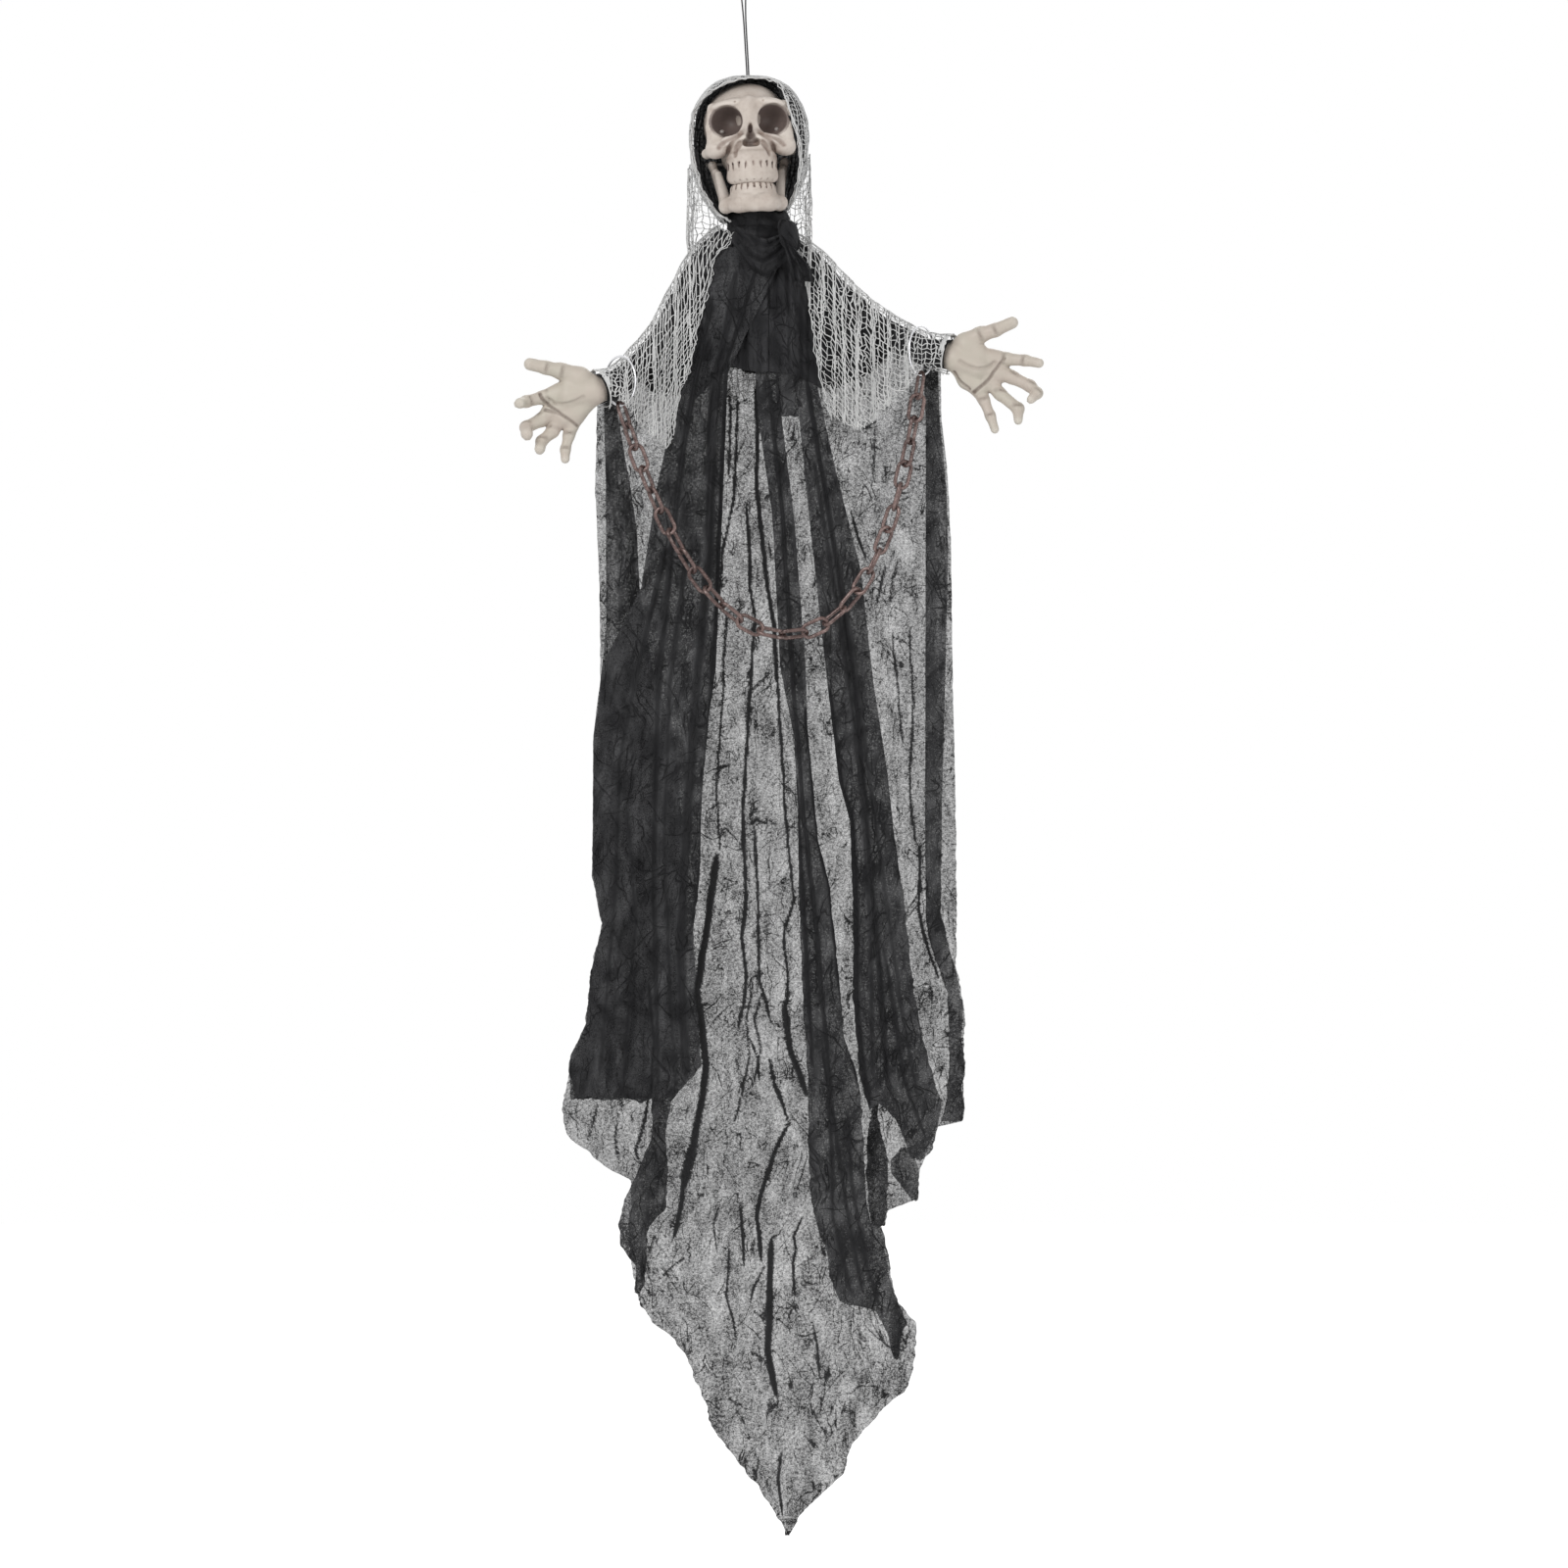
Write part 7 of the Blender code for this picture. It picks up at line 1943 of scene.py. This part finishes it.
# The scarf: a wrapped collar, a cowl in front, a knot and a pleated tail
# Scarf: a collar round the neck, a swag under the chin, a knot at the right and the tail below it
COLLAR_MIDDLE = (0.0165, -0.003)
COLLAR_RADIUS, COLLAR_LEVEL, COLLAR_HALF, COLLAR_THICK = 0.0265, -0.2580, 0.0135, 0.0062
JAW_DIP = 0.005
SWAG_LEFT_PX, SWAG_WIDTH_PX, SWAG_FRONT = 748, 66, -0.0330
SWAG_EDGES = (
    (0, 230, 248), (0.15, 236, 262), (0.32, 243, 278), (0.5, 246, 284), (0.7, 241, 274), (0.85, 234, 264),
    (1, 228, 254),
)
KNOT_MIDDLE, KNOT_RADII, KNOT_LEAN = (0.0475, -0.0420, -0.2670), (0.0105, 0.0105, 0.0165), 0.004
TAIL_ROUTE = [
    (0.0440, -0.0500, -0.2700), (0.0500, -0.0530, -0.2830), (0.0585, -0.0510, -0.2990),
    (0.0620, -0.0480, -0.3170),
]
TAIL_TOP_WIDTH, TAIL_SPREAD = 0.010, 0.014


def scarf_collar():
    a = np.linspace(0, math.tau, 120, endpoint=False)[:, None]
    b = np.linspace(0, math.tau, 36, endpoint=False)[None, :]
    crease = np.sin(5 * b + 2 * a) + 0.6 * np.sin(8 * b - 3 * a + 1) + 0.5 * np.sin(3 * b + 5 * a)
    rough = noise2(np.cos(a) * 6 + b * 0, np.sin(a) * 6 + np.sin(b) * 2, 141)
    thick = COLLAR_THICK + 0.0011 * crease + 0.0014 * rough
    out = COLLAR_RADIUS + thick * np.cos(b)
    dip = JAW_DIP * np.exp(-(((a - 0.75) / 0.4) ** 2))
    level = COLLAR_LEVEL - dip + 0.003 * np.cos(a) + (COLLAR_HALF + 0.5 * thick) * np.sin(b)
    x, y = COLLAR_MIDDLE
    points = np.stack([x + out * np.sin(a), y - out * np.cos(a), level], axis=-1)
    uv = np.stack([a * 0.03 + b * 0, b * 0.012 + a * 0], axis=-1)
    return points, uv, 0.3 - 0.25 * crease, (True, True)


def scarf_swag():
    u, v = np.linspace(0, 1, 90)[:, None], np.linspace(0, 1, 60)[None, :]
    edge = np.array(SWAG_EDGES)
    top, low = (np.interp(u, edge[:, 0], edge[:, k]) for k in (1, 2))
    sag = np.sin(math.pi * u)
    py = top + (low - top) * v
    px = SWAG_LEFT_PX + SWAG_WIDTH_PX * u + 2 * np.sin(5 * v + 3 * u)
    wave = np.sin(math.tau * (2.6 * v + 0.45 * u)) + 0.6 * np.sin(math.tau * (4.7 * v - 0.3 * u) + 1.2)
    y = SWAG_FRONT - 0.0100 * sag**0.7 - 0.0045 * np.sin(math.pi * v) * sag
    y = y - 0.0016 * wave * (0.3 + 0.7 * sag)
    y = y - 0.0012 * noise2(u * 9 + v * 0, v * 5 + u * 0, 142)
    x, z = (px - MIDDLE_PX) / PX_PER_M, -(py + ABOVE_PX) / PX_PER_M
    points = np.stack([x, y + 0 * px, z], axis=-1)
    uv = np.stack([u * 0.075 + 0 * v, v * 0.06 + 0 * u], axis=-1) + 0.3
    return points, uv, np.clip(0.35 - 0.35 * wave, 0, 1), (False, False)


def scarf_knot():
    a = np.linspace(0, math.tau, 60, endpoint=False)[:, None]
    b = np.linspace(0.02, math.pi - 0.02, 40)[None, :]
    crease = np.sin(4 * a + 3.0 * b) + 0.5 * np.sin(7 * a - 2 * b + 1)
    out = 1 + 0.10 * crease * np.sin(b) + 0.10 * noise2(np.sin(a) * 2 + b, np.cos(a) * 2 + b, 143)
    direction = np.stack([np.sin(b) * np.sin(a), -np.sin(b) * np.cos(a), np.cos(b) + 0 * a], axis=-1)
    points = np.array(KNOT_MIDDLE) + direction * out[..., None] * KNOT_RADII
    points[..., 0] -= KNOT_LEAN * np.cos(b)
    uv = np.stack([a * 0.012 + 0 * b, b * 0.016 + 0 * a], axis=-1) + 0.6
    return points, uv, np.clip(0.3 - 0.3 * crease, 0, 1), (True, False)


def scarf_tail():
    u, v = np.linspace(0, 1, 90)[:, None], np.linspace(0, 1, 60)[None, :]
    spine = smooth_path(TAIL_ROUTE, 60)
    width = TAIL_TOP_WIDTH + TAIL_SPREAD * ease(v * 1.3)
    pleat = np.sin(math.tau * (2.5 * u + 0.12 * v)) + 0.35 * np.sin(math.tau * 6.1 * u + 2 * v)
    hem = 0.0035 * noise2(u * 5, u * 0 + 2, 144) * v**4
    x = spine[None, :, 0] + (u - 0.5) * width + 0.0012 * np.cos(math.tau * 2.5 * u) * v
    y = spine[None, :, 1] - 0.0026 * pleat * (0.35 + 0.65 * v)
    z = spine[None, :, 2] + hem - 0.006 * (u - 0.5) * (1 - v)
    points = np.stack([x + 0 * v, y, z + 0 * u], axis=-1)
    uv = np.stack([u * 0.06 + 0 * v, v * 0.06 + 0 * u], axis=-1) + 0.9
    return points, uv, np.clip(0.35 - 0.4 * pleat, 0, 1) + 0 * v, (False, False)


def closing_faces(rows, columns, around, first):
    """Quads of a grid that may close on itself along its rows, its columns or both."""
    faces = []
    for r in range(rows if around[0] else rows - 1):
        for c in range(columns if around[1] else columns - 1):
            low, side = (r + 1) % rows, (c + 1) % columns
            corners = (r * columns + c, r * columns + side, low * columns + side, low * columns + c)
            faces.append(tuple(first + corner for corner in corners))
    return faces


def make_scarf():
    verts, uvs, faces, shades = [], [], [], []
    for points, uv, shade, around in (scarf_collar(), scarf_swag(), scarf_knot(), scarf_tail()):
        faces += closing_faces(*points.shape[:2], around, sum(len(v) for v in verts))
        verts.append(points.reshape(-1, 3))
        uvs.append(uv.reshape(-1, 2))
        shades.append(shade.reshape(-1))
    shade = np.clip(np.concatenate(shades), 0, 1) * 0.8
    values = {"layers": np.full(len(shade), 1.0), "fold": shade}
    scarf = mesh_piece("scarf_cloth", np.vstack(verts), faces, BLACK_CLOTH, "figure", values, np.vstack(uvs))
    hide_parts("neck_scarf")
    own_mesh(scarf)


make_scarf()


# Materials of the CAD nodes that show as they are
for node, material in (
    ("cord_knot", CORD),
    ("crown_washer", STEEL),
    ("jaw_rod", DULL_STEEL),
    ("lead_left", CORD),
    ("lead_right", CORD),
    ("battery_box", BLACK_PLASTIC),
    ("battery_lid", BLACK_PLASTIC),
    ("switch_slider", BLACK_PLASTIC),
    ("button_cells", STEEL),
    ("neck_tube", BLACK_PLASTIC),
    ("arm_wire", STEEL),
):
    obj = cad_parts[node]
    obj.data.materials.clear()
    obj.data.materials.append(material)


# Floor, backdrop and light
def make_stage():
    n = Nodes("pale_floor")
    n.set(Base_Color=rgb(0.9, 0.9, 0.9), Roughness=0.9)
    glow = n.add("ShaderNodeEmission", Strength=0.42)
    both = n.add("ShaderNodeAddShader")
    n.put(both.inputs[0], n.shader.outputs[0])
    n.put(both.inputs[1], glow.outputs[0])
    path = n.add("ShaderNodeLightPath")
    seen = n.math("MAXIMUM", path.outputs["Is Camera Ray"], path.outputs["Is Glossy Ray"])
    seen = n.math("MAXIMUM", seen, path.outputs["Is Transmission Ray"])
    n.put(glow.inputs["Strength"], n.math("MULTIPLY", seen, 0.60))
    n.put(n.tree.nodes["Material Output"].inputs["Surface"], both.outputs[0])
    half, low = 14.0, -1.80
    corners = [(-half, -half, low), (half, -half, low), (half, half, low), (-half, half, low)]
    floor = mesh_piece("floor", corners, [(0, 1, 2, 3)], n.material, None, smooth=False)
    world = bpy.data.worlds.new("studio")
    scene.world = world
    world.use_nodes = True
    tree = world.node_tree
    tree.nodes.clear()
    out = tree.nodes.new("ShaderNodeOutputWorld")
    mix = tree.nodes.new("ShaderNodeMixShader")
    dim, white = (tree.nodes.new("ShaderNodeBackground") for _ in range(2))
    dim.inputs["Color"].default_value = rgb(1, 1, 1)
    dim.inputs["Strength"].default_value = 0.55
    white.inputs["Color"].default_value = rgb(1, 1, 1)
    white.inputs["Strength"].default_value = 1.0
    path = tree.nodes.new("ShaderNodeLightPath")
    most = path.outputs["Is Camera Ray"]
    for kind in ("Is Glossy Ray", "Is Transmission Ray"):
        node = tree.nodes.new("ShaderNodeMath")
        node.operation = "MAXIMUM"
        tree.links.new(most, node.inputs[0])
        tree.links.new(path.outputs[kind], node.inputs[1])
        most = node.outputs[0]
    tree.links.new(most, mix.inputs[0])
    tree.links.new(dim.outputs[0], mix.inputs[1])
    tree.links.new(white.outputs[0], mix.inputs[2])
    tree.links.new(mix.outputs[0], out.inputs[0])
    middle = Vector((0.04, 0, -0.75))
    for name, place, size, power in (
        ("key", (-1.4, -2.4, 0.9), 1.2, 42.0),
        ("fill", (1.9, -1.9, -0.3), 1.6, 16.0),
        ("back", (0.6, 2.2, 0.8), 1.6, 22.0),
    ):
        data = bpy.data.lights.new(name, "AREA")
        data.size = size
        data.energy = power
        lamp = bpy.data.objects.new(name, data)
        lamp.location = place
        lamp.rotation_euler = (middle - Vector(place)).to_track_quat("-Z", "Y").to_euler()
        scene.collection.objects.link(lamp)
    scene.view_settings.view_transform = "Standard"


make_stage()
